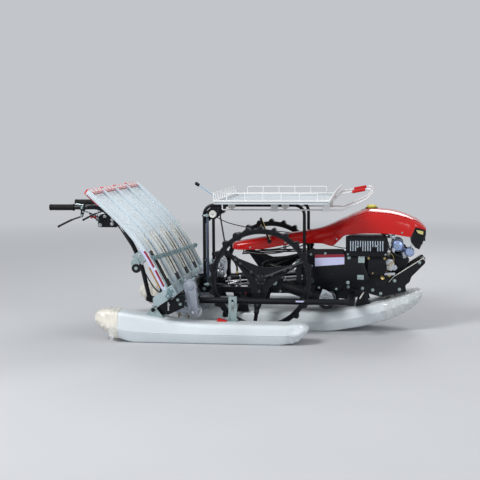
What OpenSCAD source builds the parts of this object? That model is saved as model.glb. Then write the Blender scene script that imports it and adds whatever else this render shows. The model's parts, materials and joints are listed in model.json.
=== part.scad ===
// Walk-behind rice transplanter for four rows, standing parked on its three floats.
// Millimetres. +X is forward, +Y is the machine's left, +Z is up.
// The origin lies on the ground below the middle of the machine.

/* [Rows and seedling tray] */
// Distance between neighbouring rows
row_pitch = 300; // [284:2:310]
// Width of one ridge between two seedling lanes
ridge_w = 12; // [8:1:16]
// Height of a ridge above the tray floor
ridge_h = 20; // [14:1:26]
// Thickness of the tray floor
tray_t = 6; // [4:1:8]
// Height of the tray foot above the ground
tray_foot_z = 312; // [306:1:320]
// Distance that the tray slides to either side
tray_travel = 110; // [80:5:125]
// Diameter of a seedling press rod
press_rod_d = 6; // [5:0.5:8]
// Length of the red cap along the top of one lane
cap_l = 255; // [220:5:270]

/* [Driving wheels] */
// Outside diameter over the lugs
wheel_d = 660; // [620:5:664]
// Distance of a wheel's middle plane from the machine's middle
wheel_y = 300; // [294:1:304]
// Width of the wheel's ring
ring_w = 34; // [28:1:40]
// Depth of the ring from outside to inside
ring_t = 24; // [18:1:30]
// Height of one lug above the ring
lug_h = 21; // [14:1:26]
// Width of one lug across the ring
lug_w = 62; // [44:2:70]
// Number of lugs on one wheel
lug_count = 24; // [18:3:27]
// Diameter of a spoke tube
spoke_d = 24; // [18:1:28]
// Diameter of the wheel's axle
axle_d = 25; // [20:1:30]
// Distance from the swing case's pivot to the wheel's axle
swing_l = 424; // [414:2:430]
// Height of the swing case's pivot
pivot_z = 208; // [200:2:214]
// Angle by which the raised swing case rises towards the rear
swing_rise = 19; // [17:0.5:20]
// Diameter of the swing case's round arm
swing_arm_d = 70; // [62:2:72]

/* [Floats] */
// Length of a side float
side_float_l = 1285; // [1240:5:1300]
// Width of a side float
side_float_w = 180; // [160:5:200]
// Thickness of a side float
side_float_t = 122; // [112:2:124]
// Distance of a side float's middle from the machine's middle
side_float_y = 570; // [560:5:600]
// Length of the centre float
center_float_l = 1560; // [1500:10:1580]
// Width of the centre float
center_float_w = 370; // [340:5:374]
// Thickness of the centre float
center_float_t = 122; // [112:2:124]

/* [Frame] */
// Diameter of the side rails
rail_d = 38; // [30:1:42]
// Distance of a side rail from the machine's middle
rail_y = 396; // [390:1:400]
// Height of the side rails
rail_z = 225; // [218:1:232]
// Diameter of the hoops that carry the rack
hoop_d = 20; // [16:1:24]
// Distance of a hoop from the machine's middle
hoop_y = 175; // [165:5:185]
// Height of the top of the hoops
hoop_top_z = 806; // [796:2:812]
// Radius of a hoop's bends
hoop_bend_r = 62; // [50:2:75]
// Diameter of the handle tubes
handle_d = 28; // [24:1:32]
// Diameter of a rubber grip
grip_d = 36; // [33:1:40]
// Length of a rubber grip
grip_l = 160; // [130:5:175]
// Distance of a grip from the machine's middle
grip_y = 270; // [255:5:285]

/* [Planting unit] */
// Height of the planting drive tube
drive_z = 330; // [326:1:334]
// Diameter of the planting drive tube
drive_d = 40; // [34:1:44]
// Height of the crank shafts
crank_z = 172; // [168:1:176]
// Radius of a crank
crank_r = 28; // [24:1:30]
// Thickness of a planting case
case_t = 44; // [36:2:48]
// Width of a planting arm
arm_w = 26; // [22:1:30]
// Side of the planting beam's square tube
beam_w = 56; // [48:2:60]
// Length of the gate rail that the tray slides on
gate_l = 1480; // [1470:2:1500]

/* [Engine and bonnet] */
// Width of the bonnet at the engine
bonnet_w = 350; // [320:5:370]
// Wall thickness of the bonnet
bonnet_t = 4; // [3:0.5:6]
// Width of the bonnet's rear tongue
tongue_w = 150; // [130:5:170]
// Width of the engine
engine_w = 270; // [240:5:290]
// Diameter of the headlamp strip's round ends
lamp_d = 34; // [28:1:38]
// Diameter of the fuel cap
fuel_cap_d = 64; // [54:2:72]
// Diameter of the front guard's tube
guard_d = 26; // [22:1:30]
// Diameter of the hydraulic cylinder
cylinder_d = 54; // [46:2:60]

/* [Rack] */
// Length of the rack's deck
deck_l = 690; // [650:5:720]
// Width of the rack's deck
deck_w = 930; // [880:5:960]
// Diameter of the rack's edge wires
edge_wire_d = 9; // [7:0.5:11]
// Diameter of the rack's fence wires
fence_wire_d = 6; // [5:0.5:7]
// Height of the rack's fences
fence_h = 46; // [36:2:56]
// Number of gaps along one side fence
fence_bays = 5; // [4:1:6]
// Number of bars in the rear comb
comb_bars = 12; // [9:1:14]
// Diameter of a rack roller
roller_d = 46; // [40:1:50]

/* [Hidden] */

$fn = 40;
hull_fn = 28;

// Gap between pieces that only lie against each other
touch = 0.3;
// Running clearance between a pin and its bore, on the radius
pin_gap = 0.05;
// Small overlap that joins two shapes of one solid
eps = 0.5;

// Places of the frame along the machine
rail_rear_x = -196;
rail_front_x = 705;
pivot_x = 571;
hub_x = pivot_x - swing_l * cos(swing_rise);
hub_z = pivot_z + swing_l * sin(swing_rise);
hoop_rear_x = -204;
hoop_front_x = 429;
drive_x = -236;
crank_x = -214;
beam_x = -430;
beam_z = 172;
rows = [-1.5 * row_pitch, -0.5 * row_pitch, 0.5 * row_pitch, 1.5 * row_pitch];
tray_half_w = 2 * row_pitch + ridge_w;
// Gap and thickness of the crank disc between an arm and the case beside it
arm_gap = 2;
disc_t = 7;
outer_case_y = 1.5 * row_pitch + arm_w / 2 + arm_gap + disc_t + 5 + case_t / 2;
case_rows = [-outer_case_y, 0, outer_case_y];

// A straight round bar between two points
module rod(a, b, d) {
    v = b - a;
    translate(a)
        rotate([0, acos(v[2] / norm(v)), atan2(v[1], v[0])])
            cylinder(h = norm(v), d = d);
}

function unit(v) = v / norm(v);
function polar(r, a) = [r * cos(a), r * sin(a)];

// Outline of two round ends joined by their outer tangents
module link_outline(p, p_r, q, q_r) {
    base = atan2(q[1] - p[1], q[0] - p[0]);
    a = acos((p_r - q_r) / norm(q - p));
    translate(p) circle(p_r);
    translate(q) circle(q_r);
    polygon([p + polar(p_r, base + a), q + polar(q_r, base + a),
             q + polar(q_r, base - a), p + polar(p_r, base - a)]);
}

// A flat link in the X-Z plane with its middle at y
module flat_link(p, p_r, q, q_r, y, t) {
    translate([0, y, 0]) rotate([90, 0, 0])
        linear_extrude(t, center = true) link_outline(p, p_r, q, q_r);
}

// The same path with each corner rounded, over a stretch on either side of it
function soften(path, cut) = concat(
    [path[0]],
    [for (i = [1 : len(path) - 2])
        let (p = path[i], a = p + unit(path[i - 1] - p) * cut, b = p + unit(path[i + 1] - p) * cut)
        each [for (t = [0 : 0.25 : 1]) (1 - t) * (1 - t) * a + 2 * t * (1 - t) * p + t * t * b]],
    [path[len(path) - 1]]);

// One ring round a point of a swept tube
function sweep_ring(p, t, side, d, sides) =
    let (u = unit(cross(t, side)), v = cross(t, u))
    [for (k = [0 : sides - 1]) p + d / 2 * (cos(360 * k / sides) * u + sin(360 * k / sides) * v)];

// A round bar along a path; side is a direction that no stretch of the path runs along
module bent_rod(path, d, side = [0, 1, 0], sides = 10) {
    n = len(path);
    loft([for (i = [0 : n - 1])
        sweep_ring(path[i], unit(path[min(i + 1, n - 1)] - path[max(i - 1, 0)]), side, d, sides)]);
}

// The same shape on both sides of the machine
module both_sides() {
    children();
    mirror([0, 1, 0]) children();
}

// A flat plate in the X-Z plane, given by its outline, with its middle at y
module side_plate(outline, y, t) {
    translate([0, y + t / 2, 0])
        rotate([90, 0, 0])
            linear_extrude(t) polygon(outline);
}

// Points of one ring of a loft: half an outline, mirrored to the other side
function mirrored(half, x) =
    concat([for (p = half) [x, p[0], p[1]]],
           [for (i = [len(half) - 1 : -1 : 0]) [x, -half[i][0], half[i][1]]]);

// A closed skin over rings that all have the same number of points
module loft(rings) {
    n = len(rings[0]);
    m = len(rings);
    polyhedron(
        points = [for (r = rings) for (p = r) p],
        faces = concat(
            [[for (i = [0 : n - 1]) i]],
            [for (k = [0 : m - 2]) for (i = [0 : n - 1])
                [k * n + i, (k + 1) * n + i, (k + 1) * n + (i + 1) % n]],
            [for (k = [0 : m - 2]) for (i = [0 : n - 1])
                [k * n + i, (k + 1) * n + (i + 1) % n, k * n + (i + 1) % n]],
            [[for (i = [n - 1 : -1 : 0]) (m - 1) * n + i]]));
}

// The same for an open skin with a wall, whose rings run along the outside and back along the inside
module shell_loft(rings) {
    n = len(rings[0]);
    m = len(rings);
    half = n / 2;
    polyhedron(
        points = [for (r = rings) for (p = r) p],
        faces = concat(
            [for (i = [0 : half - 2]) each [[i, i + 1, n - 2 - i], [i, n - 2 - i, n - 1 - i]]],
            [for (k = [0 : m - 2]) for (i = [0 : n - 1])
                [k * n + i, (k + 1) * n + i, (k + 1) * n + (i + 1) % n]],
            [for (k = [0 : m - 2]) for (i = [0 : n - 1])
                [k * n + i, (k + 1) * n + (i + 1) % n, k * n + (i + 1) % n]],
            [for (i = [0 : half - 2]) let (e = (m - 1) * n)
                each [[e + i, e + n - 2 - i, e + i + 1], [e + i, e + n - 1 - i, e + n - 2 - i]]]));
}

// Height of the flat keel, the chine and the deck along a float, and its width:
// share of the length from the rear, keel lift, chine height, deck rise, share of the width
side_float_table = [
    [0.000, 118, 142,  44, 0.56],
    [0.035,  78, 116,  64, 0.82],
    [0.110,  26,  84,  62, 0.95],
    [0.200,   0,  70,  50, 1.00],
    [0.420,   0,  62,   8, 1.00],
    [0.500,   0,  60,   0, 1.00],
    [0.850,   0,  60,   0, 1.00],
    [0.930,  14,  66,   0, 0.97],
    [0.975,  42,  82,  -3, 0.86],
    [1.000,  84,  98, -10, 0.60]];
center_float_table = [
    [0.000,  70,  86,  -6, 0.36],
    [0.030,  18,  62,  -4, 0.46],
    [0.070,   0,  56,  -4, 0.50],
    [0.230,   0,  56,  -4, 0.54],
    [0.290,   0,  58,   0, 1.00],
    [0.600,   0,  62,   4, 1.00],
    [0.740,  30,  92,  34, 1.00],
    [0.860,  82, 146,  78, 0.96],
    [0.940, 136, 188, 112, 0.84],
    [0.980, 180, 216, 124, 0.64],
    [1.000, 218, 232, 126, 0.40]];
side_float_rear_x = -800;
center_float_rear_x = -400;
// How far the keel and the deck draw in from the chine, and the deck's rounded edge
keel_in = 26;
deck_in = 10;
deck_edge = 14;

// Deck height of a float at a place along the machine
function deck_z(table, rear_x, length, thickness, x) =
    thickness + lookup((x - rear_x) / length, [for (r = table) [r[0], r[3]]]);
function side_deck_z(x) = deck_z(side_float_table, side_float_rear_x, side_float_l, side_float_t, x);
function center_deck_z(x) = deck_z(center_float_table, center_float_rear_x, center_float_l, center_float_t, x);

module float_body(table, rear_x, length, width, thickness) {
    loft([for (r = table)
        let (half = width / 2 * r[4], deck = thickness + r[3])
        mirrored([
            [half - keel_in, r[1]],
            [half, r[2]],
            [half - deck_in, deck - deck_edge],
            [half - deck_in - deck_edge, deck]], rear_x + r[0] * length)]);
}

module center_float() {
    color("whitesmoke")
        float_body(center_float_table, center_float_rear_x, center_float_l, center_float_w, center_float_t);
}

module side_float(side) {
    color("whitesmoke")
        translate([0, side * side_float_y, 0])
            float_body(side_float_table, side_float_rear_x, side_float_l, side_float_w, side_float_t);
}
module side_float_right() { side_float(-1); }
module side_float_left() { side_float(1); }

// Slotted guide plates on the side floats, through which a stud of the rail passes
guide_x = 24;
guide_w = 50;
guide_t = 5;
guide_y = side_float_y - side_float_w / 2 + 34;
stud_d = 14;
slot_w = stud_d + 1;
module float_front_brackets() {
    color("lightslategray") both_sides() {
        deck = side_deck_z(guide_x) + touch;
        difference() {
            translate([guide_x - guide_w / 2, guide_y - guide_t / 2, deck])
                cube([guide_w, guide_t, rail_z + 44 - deck]);
            translate([guide_x, guide_y, rail_z])
                for (z = [-46, 18])
                    translate([0, 0, z]) rotate([90, 0, 0]) cylinder(h = 3 * guide_t, d = slot_w, center = true);
            translate([guide_x - slot_w / 2, guide_y - guide_t * 1.5, rail_z - 46])
                cube([slot_w, 3 * guide_t, 64]);
        }
        translate([guide_x - guide_w / 2 - 6, guide_y - guide_t / 2, deck])
            cube([guide_w + 12, 46, guide_t]);
        for (x = [guide_x - guide_w / 2, guide_x + guide_w / 2 - 4])
            translate([x, guide_y - guide_t / 2, deck]) cube([4, 22, rail_z - 60 - deck]);
    }
}

// Triangular hinge brackets at the rear of the side floats, on stubs of the planting beam
hinge_x = beam_x - 12;
hinge_z = 196;
hinge_pin_d = 20;
hinge_t = 5;
module float_hinges() {
    foot_rear_x = hinge_x - 42;
    foot_front_x = hinge_x + 56;
    rear_z = side_deck_z(foot_rear_x) + touch;
    front_z = side_deck_z(foot_front_x) + touch;
    eye_r = hinge_pin_d / 2 + 9;
    color("lightslategray") both_sides() {
        for (y = [-30, 30])
            difference() {
                union() {
                    side_plate([
                        [foot_rear_x, rear_z],
                        [foot_front_x, front_z],
                        [foot_front_x, front_z + 6],
                        [hinge_x + eye_r * 0.8, hinge_z + eye_r * 0.6],
                        [hinge_x - eye_r * 0.8, hinge_z + eye_r * 0.6],
                        [foot_rear_x, rear_z + 6]], side_float_y + y, hinge_t);
                    translate([hinge_x, side_float_y + y, hinge_z]) rotate([90, 0, 0])
                        cylinder(h = hinge_t, r = eye_r, center = true);
                }
                translate([hinge_x, side_float_y + y, hinge_z]) rotate([90, 0, 0])
                    cylinder(h = 4 * hinge_t, d = hinge_pin_d + 2 * touch, center = true);
            }
        side_plate([
            [foot_rear_x, rear_z],
            [foot_front_x, front_z],
            [foot_front_x, front_z + 5],
            [foot_rear_x, rear_z + 5]], side_float_y, 60);
    }
}

// Links that hold the centre float below the engine bed and below the inner frame
inner_rail_w = 20;
inner_rail_h = 36;
inner_z = 262;
link_front_x = 790;
link_rear_x = 40;
link_t = 6;
bed_z = 262;
bed_h = 30;
module center_float_links() {
    color("dimgray") both_sides() {
        side_plate([
            [link_front_x - 44, center_deck_z(link_front_x - 44) + touch],
            [link_front_x + 44, center_deck_z(link_front_x + 44) + touch],
            [link_front_x + 18, bed_z - touch],
            [link_front_x - 18, bed_z - touch]], bed_half_w - link_t, link_t);
        side_plate([
            [link_rear_x - 40, center_deck_z(link_rear_x - 40) + touch],
            [link_rear_x + 40, center_deck_z(link_rear_x + 40) + touch],
            [link_rear_x + 14, inner_z - inner_rail_h / 2 - touch],
            [link_rear_x - 14, inner_z - inner_rail_h / 2 - touch]], hoop_y, link_t);
    }
}

// Inner frame: two longitudinal tubes below the hoops, cross members, tube seats and shaft posts
cross_w = 40;
frame_rear_x = -226;
gearbox_rear_x = 452;
seat_t = 8;
seat_y = hoop_y + max(inner_rail_w, hoop_d) / 2 + touch + seat_t / 2;
lift_x = 394;
lift_z = 440;
lift_d = 20;
cylinder_rear_x = -70;
cylinder_rear_z = 312;
module main_frame() {
    color([0.06, 0.06, 0.07]) {
        both_sides() {
            translate([frame_rear_x, hoop_y - inner_rail_w / 2, inner_z - inner_rail_h / 2])
                cube([gearbox_rear_x - frame_rear_x, inner_rail_w, inner_rail_h]);
            difference() {
                side_plate([
                    [frame_rear_x + 66, inner_z + inner_rail_h / 2],
                    [frame_rear_x + 56, inner_z - inner_rail_h / 2],
                    [frame_rear_x, inner_z - inner_rail_h / 2],
                    [drive_x - 30, drive_z - 16],
                    [drive_x - 30, drive_z + 14],
                    [drive_x - 12, drive_z + 32],
                    [drive_x + 20, drive_z + 32]], seat_y, seat_t);
                translate([drive_x, seat_y, drive_z]) rotate([90, 0, 0])
                    cylinder(h = 40, d = drive_d + 2 * touch, center = true);
            }
            translate([frame_rear_x + 4, hoop_y, inner_z - inner_rail_h / 2 + 4])
                cube([46, seat_y - hoop_y, inner_rail_h - 8]);
            difference() {
                translate([lift_x - 16, hoop_y - 6, inner_z + inner_rail_h / 2 - eps])
                    cube([32, 12, lift_z + 20 - inner_z - inner_rail_h / 2]);
                translate([lift_x, hoop_y, lift_z]) rotate([90, 0, 0])
                    cylinder(h = 40, d = lift_d + 2 * pin_gap, center = true);
            }
        }
        translate([gearbox_rear_x - 24, -hoop_y, inner_z - inner_rail_h / 2])
            cube([24, 2 * hoop_y, inner_rail_h]);
        translate([cylinder_rear_x - 50, -hoop_y, inner_z - inner_rail_h / 2])
            cube([30, 2 * hoop_y, inner_rail_h]);
        for (y = [-20, 20])
            difference() {
                side_plate([
                    [cylinder_rear_x - 50, inner_z],
                    [cylinder_rear_x - 20, inner_z],
                    [cylinder_rear_x + 14, cylinder_rear_z - 6],
                    [cylinder_rear_x + 10, cylinder_rear_z + 14],
                    [cylinder_rear_x - 12, cylinder_rear_z + 14]], y, 8);
                translate([cylinder_rear_x, y, cylinder_rear_z]) rotate([90, 0, 0])
                    cylinder(h = 20, d = 12 + 2 * pin_gap, center = true);
            }
    }
}

// Outer rails beside the wheels, with the studs that guide the side floats
module side_rails() {
    color([0.06, 0.06, 0.07]) both_sides() {
        translate([rail_rear_x, rail_y, rail_z]) rotate([0, 90, 0])
            cylinder(h = rail_front_x - rail_rear_x, d = rail_d);
        translate([guide_x, rail_y, rail_z]) rotate([-90, 0, 0])
            cylinder(h = guide_y + guide_t / 2 + 9 - rail_y, d = stud_d);
        translate([guide_x, guide_y + guide_t / 2 + 0.5, rail_z]) rotate([-90, 0, 0])
            cylinder(h = 8, d = 24);
    }
}

// Two inverted U hoops that carry the rack
roller_axle_d = 16;
module rack_hoops() {
    color([0.06, 0.06, 0.07]) both_sides() {
        z0 = inner_z + inner_rail_h / 2;
        zc = hoop_top_z - hoop_d / 2;
        r = hoop_bend_r;
        for (x = [hoop_rear_x, hoop_front_x])
            translate([x, hoop_y, z0]) cylinder(h = zc - r - z0, d = hoop_d);
        translate([hoop_rear_x + r, hoop_y, zc]) rotate([0, 90, 0])
            cylinder(h = hoop_front_x - hoop_rear_x - 2 * r, d = hoop_d);
        translate([hoop_rear_x + r, hoop_y, zc - r]) rotate([90, 0, 0])
            rotate([0, 0, 90]) rotate_extrude(angle = 90) translate([r, 0]) circle(d = hoop_d);
        translate([hoop_front_x - r, hoop_y, zc - r]) rotate([90, 0, 0])
            rotate_extrude(angle = 90) translate([r, 0]) circle(d = hoop_d);
        side_plate([
            [hoop_rear_x, low_roller_z - 60],
            [hoop_rear_x + hoop_d / 2 + 4, low_roller_z - 60],
            [low_roller_x + 16, low_roller_z - 10],
            [low_roller_x + 44, zc],
            [low_roller_x, zc],
            [hoop_rear_x + 8, zc - 45]], hoop_y, corner_t);
    }
}

// Nylon rollers on the hoops: two that carry the deck and one below the runner at the rear
corner_t = 6;
roller_w = 16;
roller_y = hoop_y + hoop_d / 2 + 3;
roller_z = hoop_top_z - hoop_d / 2;
low_roller_x = -145;
low_roller_z = roller_z - roller_d - 2 * touch - edge_wire_d;
// Place, height and inner end of the axle
roller_table = [
    [-24, roller_z, hoop_y + hoop_d / 2 + touch],
    [312, roller_z, hoop_y + hoop_d / 2 + touch],
    [low_roller_x, low_roller_z, hoop_y + corner_t / 2 + touch]];
module rack_rollers() {
    color("ivory") both_sides()
        for (r = roller_table) {
            translate([r[0], r[2], r[1]]) rotate([-90, 0, 0])
                cylinder(h = roller_y + 1 - r[2], d = roller_axle_d);
            translate([r[0], roller_y, r[1]]) rotate([-90, 0, 0]) cylinder(h = roller_w, d = roller_d);
        }
}

// Transmission between the engine and the wheels
gearbox_front_x = 662;
gearbox_half_w = 112;
gearbox_low_z = 172;
gearbox_top_z = 448;
module gearbox() {
    color([0.12, 0.12, 0.13]) {
        translate([0, gearbox_half_w, 0]) rotate([90, 0, 0])
            linear_extrude(2 * gearbox_half_w) polygon([
                [gearbox_rear_x + touch, 240],
                [gearbox_rear_x + touch, 400],
                [gearbox_rear_x + 40, gearbox_top_z],
                [gearbox_front_x - 50, gearbox_top_z],
                [gearbox_front_x, 400],
                [gearbox_front_x, 262],
                [pivot_x + 62, gearbox_low_z],
                [pivot_x - 62, gearbox_low_z]]);
        for (y = [-80, 80])
            side_plate([
                [gearbox_rear_x + 40, gearbox_top_z - eps],
                [gearbox_rear_x + 60, gearbox_top_z + 10],
                [gearbox_front_x - 70, gearbox_top_z + 10],
                [gearbox_front_x - 50, gearbox_top_z - eps]], y, 8);
    }
}

// Half-round axle housings with the pins on which the swing cases turn
pivot_pin_d = 40;
swing_y = wheel_y - lug_w / 2 - 7 - swing_arm_d / 2;
housing_end_y = swing_y - swing_arm_d / 2 - 4;
module axle_housings() {
    color("darkgray") both_sides() {
        translate([pivot_x, gearbox_half_w + touch, pivot_z]) rotate([-90, 0, 0])
            cylinder(h = housing_end_y - gearbox_half_w - touch, d = 84);
        translate([pivot_x, gearbox_half_w + touch, pivot_z]) rotate([-90, 0, 0])
            cylinder(h = 10, d = 92);
        translate([pivot_x, housing_end_y - 1, pivot_z]) rotate([-90, 0, 0])
            cylinder(h = swing_arm_d + 12, d = pivot_pin_d);
        translate([pivot_x, swing_y + swing_arm_d / 2 + 2, pivot_z]) rotate([-90, 0, 0])
            cylinder(h = 5, d = pivot_pin_d + 14);
    }
}

// Cover over the drive belt on the right
cover_in_y = -gearbox_half_w - touch;
cover_out_y = -184;
module belt_cover() {
    color([0.1, 0.1, 0.11])
        difference() {
            translate([0, cover_in_y, 0]) rotate([90, 0, 0])
                linear_extrude(cover_in_y - cover_out_y)
                    offset(r = 14) offset(delta = -14) polygon([
                        [446, 500], [462, 517], [668, 519], [684, 500],
                        [684, 300], [640, 258], [506, 258], [446, 300]]);
            translate([0, cover_in_y + 1, 0]) rotate([90, 0, 0])
                linear_extrude(1 + cover_in_y - cover_out_y - 4)
                    offset(r = 10) offset(delta = -18) polygon([
                        [446, 500], [462, 517], [668, 519], [684, 500],
                        [684, 300], [640, 258], [506, 258], [446, 300]]);
        }
}

// Cylinder that lifts the machine on its wheels, opened at its rod's eye
module hydraulic_cylinder() {
    a = [cylinder_rear_x, 0, cylinder_rear_z];
    b = [lift_x - 26, 0, lift_z - 78];
    v = (b - a) / norm(b - a);
    color([0.08, 0.08, 0.09]) {
        difference() {
            union() {
                rod(a + v * 16, a + v * 250, cylinder_d);
                rod(a + v * 244, a + v * 256, cylinder_d + 8);
                rod(a, a + v * 30, 22);
                rod(a + v * 250, b, 20);
                translate(a) rotate([90, 0, 0]) cylinder(h = 24, d = 26, center = true);
            }
            translate(a) rotate([90, 0, 0]) cylinder(h = 60, d = 12 + 2 * pin_gap, center = true);
        }
        translate(a) rotate([90, 0, 0]) cylinder(h = 52, d = 12, center = true);
        translate(b) rotate([90, 0, 0]) cylinder(h = 14, d = 30, center = true);
    }
}

// Cross shaft with levers that pull the swing cases up
lever_t = 8;
lug_along = 112;
lug_up = swing_arm_d / 2 + 22;
lug_x = pivot_x - lug_along * cos(swing_rise) + lug_up * sin(swing_rise);
lug_z = pivot_z + lug_along * sin(swing_rise) + lug_up * cos(swing_rise);
module lift_linkage() {
    color([0.1, 0.1, 0.11]) {
        translate([lift_x, 0, lift_z]) rotate([90, 0, 0])
            cylinder(h = 2 * swing_y + lever_t, d = lift_d, center = true);
        both_sides() {
            flat_link([lift_x, lift_z], 17, [lug_x - 12, lift_z - 26], 12, swing_y, lever_t);
            rod([lug_x - 12, swing_y, lift_z - 26], [lug_x, swing_y, lug_z + 20], 12);
            translate([lug_x, swing_y, lug_z + 20]) sphere(d = 17);
        }
        flat_link([lift_x, lift_z], 17, [lift_x - 22, lift_z - 48], 11, 0, 2 * lever_t);
    }
}

// Engine: a plain block with its finned cylinder, guard, air cleaner and carburettor
engine_rear_x = 706;
engine_front_x = 962;
engine_top_z = 474;
bed_half_w = 116;
cross_z = rail_z;
module engine_block() {
    half = engine_w / 2;
    color([0.1, 0.1, 0.1]) {
        translate([0, half, 0]) rotate([90, 0, 0])
            linear_extrude(2 * half) polygon([
                [engine_rear_x, bed_z + bed_h + touch],
                [engine_rear_x, engine_top_z],
                [engine_front_x, engine_top_z],
                [engine_front_x, bed_z + bed_h + 50],
                [engine_front_x - 40, bed_z + bed_h + touch]]);
        translate([engine_front_x - eps, 0, 440]) rotate([0, 90, 0]) cylinder(h = 52, d = 176);
        translate([engine_front_x + 50, 0, 440]) rotate([0, 90, 0]) cylinder(h = 14, d = 120);
    }
}

fin_pitch = 13;
fin_t = 4;
fin_count = 9;
fin_half_w = 160;
fin_rear_x = 694;
fin_front_x = 936;
module engine_fins() {
    color("gray") {
        translate([fin_rear_x + 20, -fin_half_w + 16, engine_top_z + touch])
            cube([fin_front_x - fin_rear_x - 40, 2 * fin_half_w - 60, fin_count * fin_pitch]);
        for (k = [0 : fin_count - 1])
            translate([fin_rear_x, -fin_half_w, engine_top_z + touch + 6 + k * fin_pitch])
                cube([fin_front_x - fin_rear_x, 2 * fin_half_w - 30, fin_t]);
    }
}

guard_slots = 14;
guard_out_y = -200;
guard_low_z = engine_top_z + touch + 6 + fin_t / 2;
guard_top_z = 606;
module engine_guard() {
    pitch = (fin_front_x - fin_rear_x - 30) / guard_slots;
    color([0.08, 0.08, 0.08])
        difference() {
            translate([fin_rear_x - 6, guard_out_y, guard_low_z])
                cube([fin_front_x - fin_rear_x + 12, -fin_half_w - touch - guard_out_y, guard_top_z - guard_low_z]);
            translate([fin_rear_x - 2, guard_out_y + 3, guard_low_z + 4])
                cube([fin_front_x - fin_rear_x + 4, 60, guard_top_z - guard_low_z - 8]);
            for (k = [0 : guard_slots - 1])
                translate([fin_rear_x + 15 + (k + 0.3) * pitch, guard_out_y - 5, guard_low_z + 34])
                    cube([pitch * 0.4, 12, 54]);
        }
}

module air_cleaner() {
    color("lightsteelblue") {
        translate([990, -150, 570]) rotate([-90, 0, 0]) cylinder(h = 200, d = 66);
        translate([970, -30, 528 + touch]) cube([40, 60, 30]);
    }
}

module carburettor() {
    color("slategray") {
        translate([1056, -128, 520]) rotate([-90, 0, 0]) cylinder(h = 90, d = 58);
        translate([1026 + touch, -60, 470]) cube([36, 40, 40]);
    }
}

module engine_bed() {
    color([0.06, 0.06, 0.07]) {
        translate([rail_front_x + touch, -rail_y - rail_d / 2, cross_z - cross_w / 2])
            cube([cross_w, 2 * rail_y + rail_d, cross_w]);
        both_sides() {
            translate([gearbox_front_x + touch, bed_half_w - 30, bed_z])
                cube([270, 26, bed_h]);
            translate([rail_front_x + touch, bed_half_w - 30, cross_z + cross_w / 2 - eps])
                cube([cross_w, 26, bed_z - cross_z - cross_w / 2 + 1]);
        }
        for (x = [rail_front_x + touch, 860])
            translate([x, -bed_half_w + 6, bed_z + 4])
                cube([40, 2 * bed_half_w - 12, bed_h - 8]);
    }
}

// Bow guard: a bent tube in front of the engine, with a skirt plate on either side
guard_rear_x = gearbox_front_x + 270 + touch * 2;
guard_tip_x = 1180;
guard_tip_z = 448;
guard_half_w = 92;
module front_guard() {
    low = bed_z + bed_h / 2;
    nose = guard_tip_x - guard_d / 2 - 26;
    color([0.07, 0.07, 0.08]) {
        both_sides() {
            bent_rod(soften([
                [guard_rear_x, guard_half_w, low],
                [guard_rear_x + 22, guard_half_w, low],
                [nose, guard_half_w - 20, guard_tip_z - 20],
                [guard_tip_x - guard_d / 2, guard_half_w - 50, guard_tip_z],
                [guard_tip_x - guard_d / 2, -1, guard_tip_z]], 18), guard_d, [0, 0, 1], 12);
            side_plate([
                [guard_rear_x, low - 13],
                [guard_rear_x + 6, low + 10],
                [guard_rear_x + 46, low + 20],
                [nose - 40, guard_tip_z - 60],
                [nose - 70, low + 26],
                [guard_rear_x + 60, low - 50],
                [guard_rear_x, low - 48]], guard_half_w - 8, 5);
        }
        translate([guard_rear_x + 8, -guard_half_w + 8, low - 10])
            cube([28, 2 * guard_half_w - 16, 20]);
    }
}

// Bonnet sections: place, top height, lower edge height, half width
bonnet_table = [
    [ -48, 536, 516, 0.24, 0],
    [ -36, 548, 507, 0.70, 0],
    [   0, 556, 503, 0.92, 0],
    [ 135, 581, 508, 1.00, 0],
    [ 300, 606, 536, 1.00, 0],
    [ 432, 627, 549, 1.04, 0.02],
    [ 528, 648, 551, 1.00, 0.22],
    [ 596, 674, 538, 1.00, 0.52],
    [ 640, 695, 573, 1.00, 0.78],
    [ 682, 713, 609, 1.00, 0.94],
    [ 762, 749, 619, 1.00, 1.00],
    [ 838, 770, 622, 1.00, 1.00],
    [ 963, 760, 619, 1.00, 0.98],
    [1040, 740, 606, 1.00, 0.90],
    [1080, 725, 600, 1.00, 0.84],
    [1112, 706, 658, 1.00, 0.76],
    [1150, 680, 648, 1.00, 0.56],
    [1178, 654, 638, 1.00, 0.34]];
arch_steps = 8;
arch_power = 0.55;
function arch(half, low, top) = [for (i = [0 : 2 * arch_steps])
    let (a = 180 - 90 * i / arch_steps)
    [sign(cos(a)) * half * pow(abs(cos(a)), arch_power), low + (top - low) * pow(abs(sin(a)), arch_power)]];
function bonnet_half(r) = tongue_w / 2 * r[3] * (1 - r[4]) + bonnet_w / 2 * r[4];
function bonnet_ring(r) =
    let (half = bonnet_half(r), outer = arch(half, r[2], r[1]),
         inner = arch(half - bonnet_t, r[2], r[1] - bonnet_t), n = len(outer))
    concat([for (p = outer) [r[0], -p[0], p[1]]], [for (i = [n - 1 : -1 : 0]) [r[0], -inner[i][0], inner[i][1]]]);
module bonnet() {
    color("red") shell_loft([for (r = bonnet_table) bonnet_ring(r)]);
}

// Height of the bonnet's lower edge and of its crown at a place along the machine
function bonnet_low_z(x) = lookup(x, [for (r = bonnet_table) [r[0], r[2]]]);
function bonnet_top_z(x) = lookup(x, [for (r = bonnet_table) [r[0], r[1]]]);
function bonnet_half_at(x) = lookup(x, [for (r = bonnet_table) [r[0], bonnet_half(r)]]);

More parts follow.
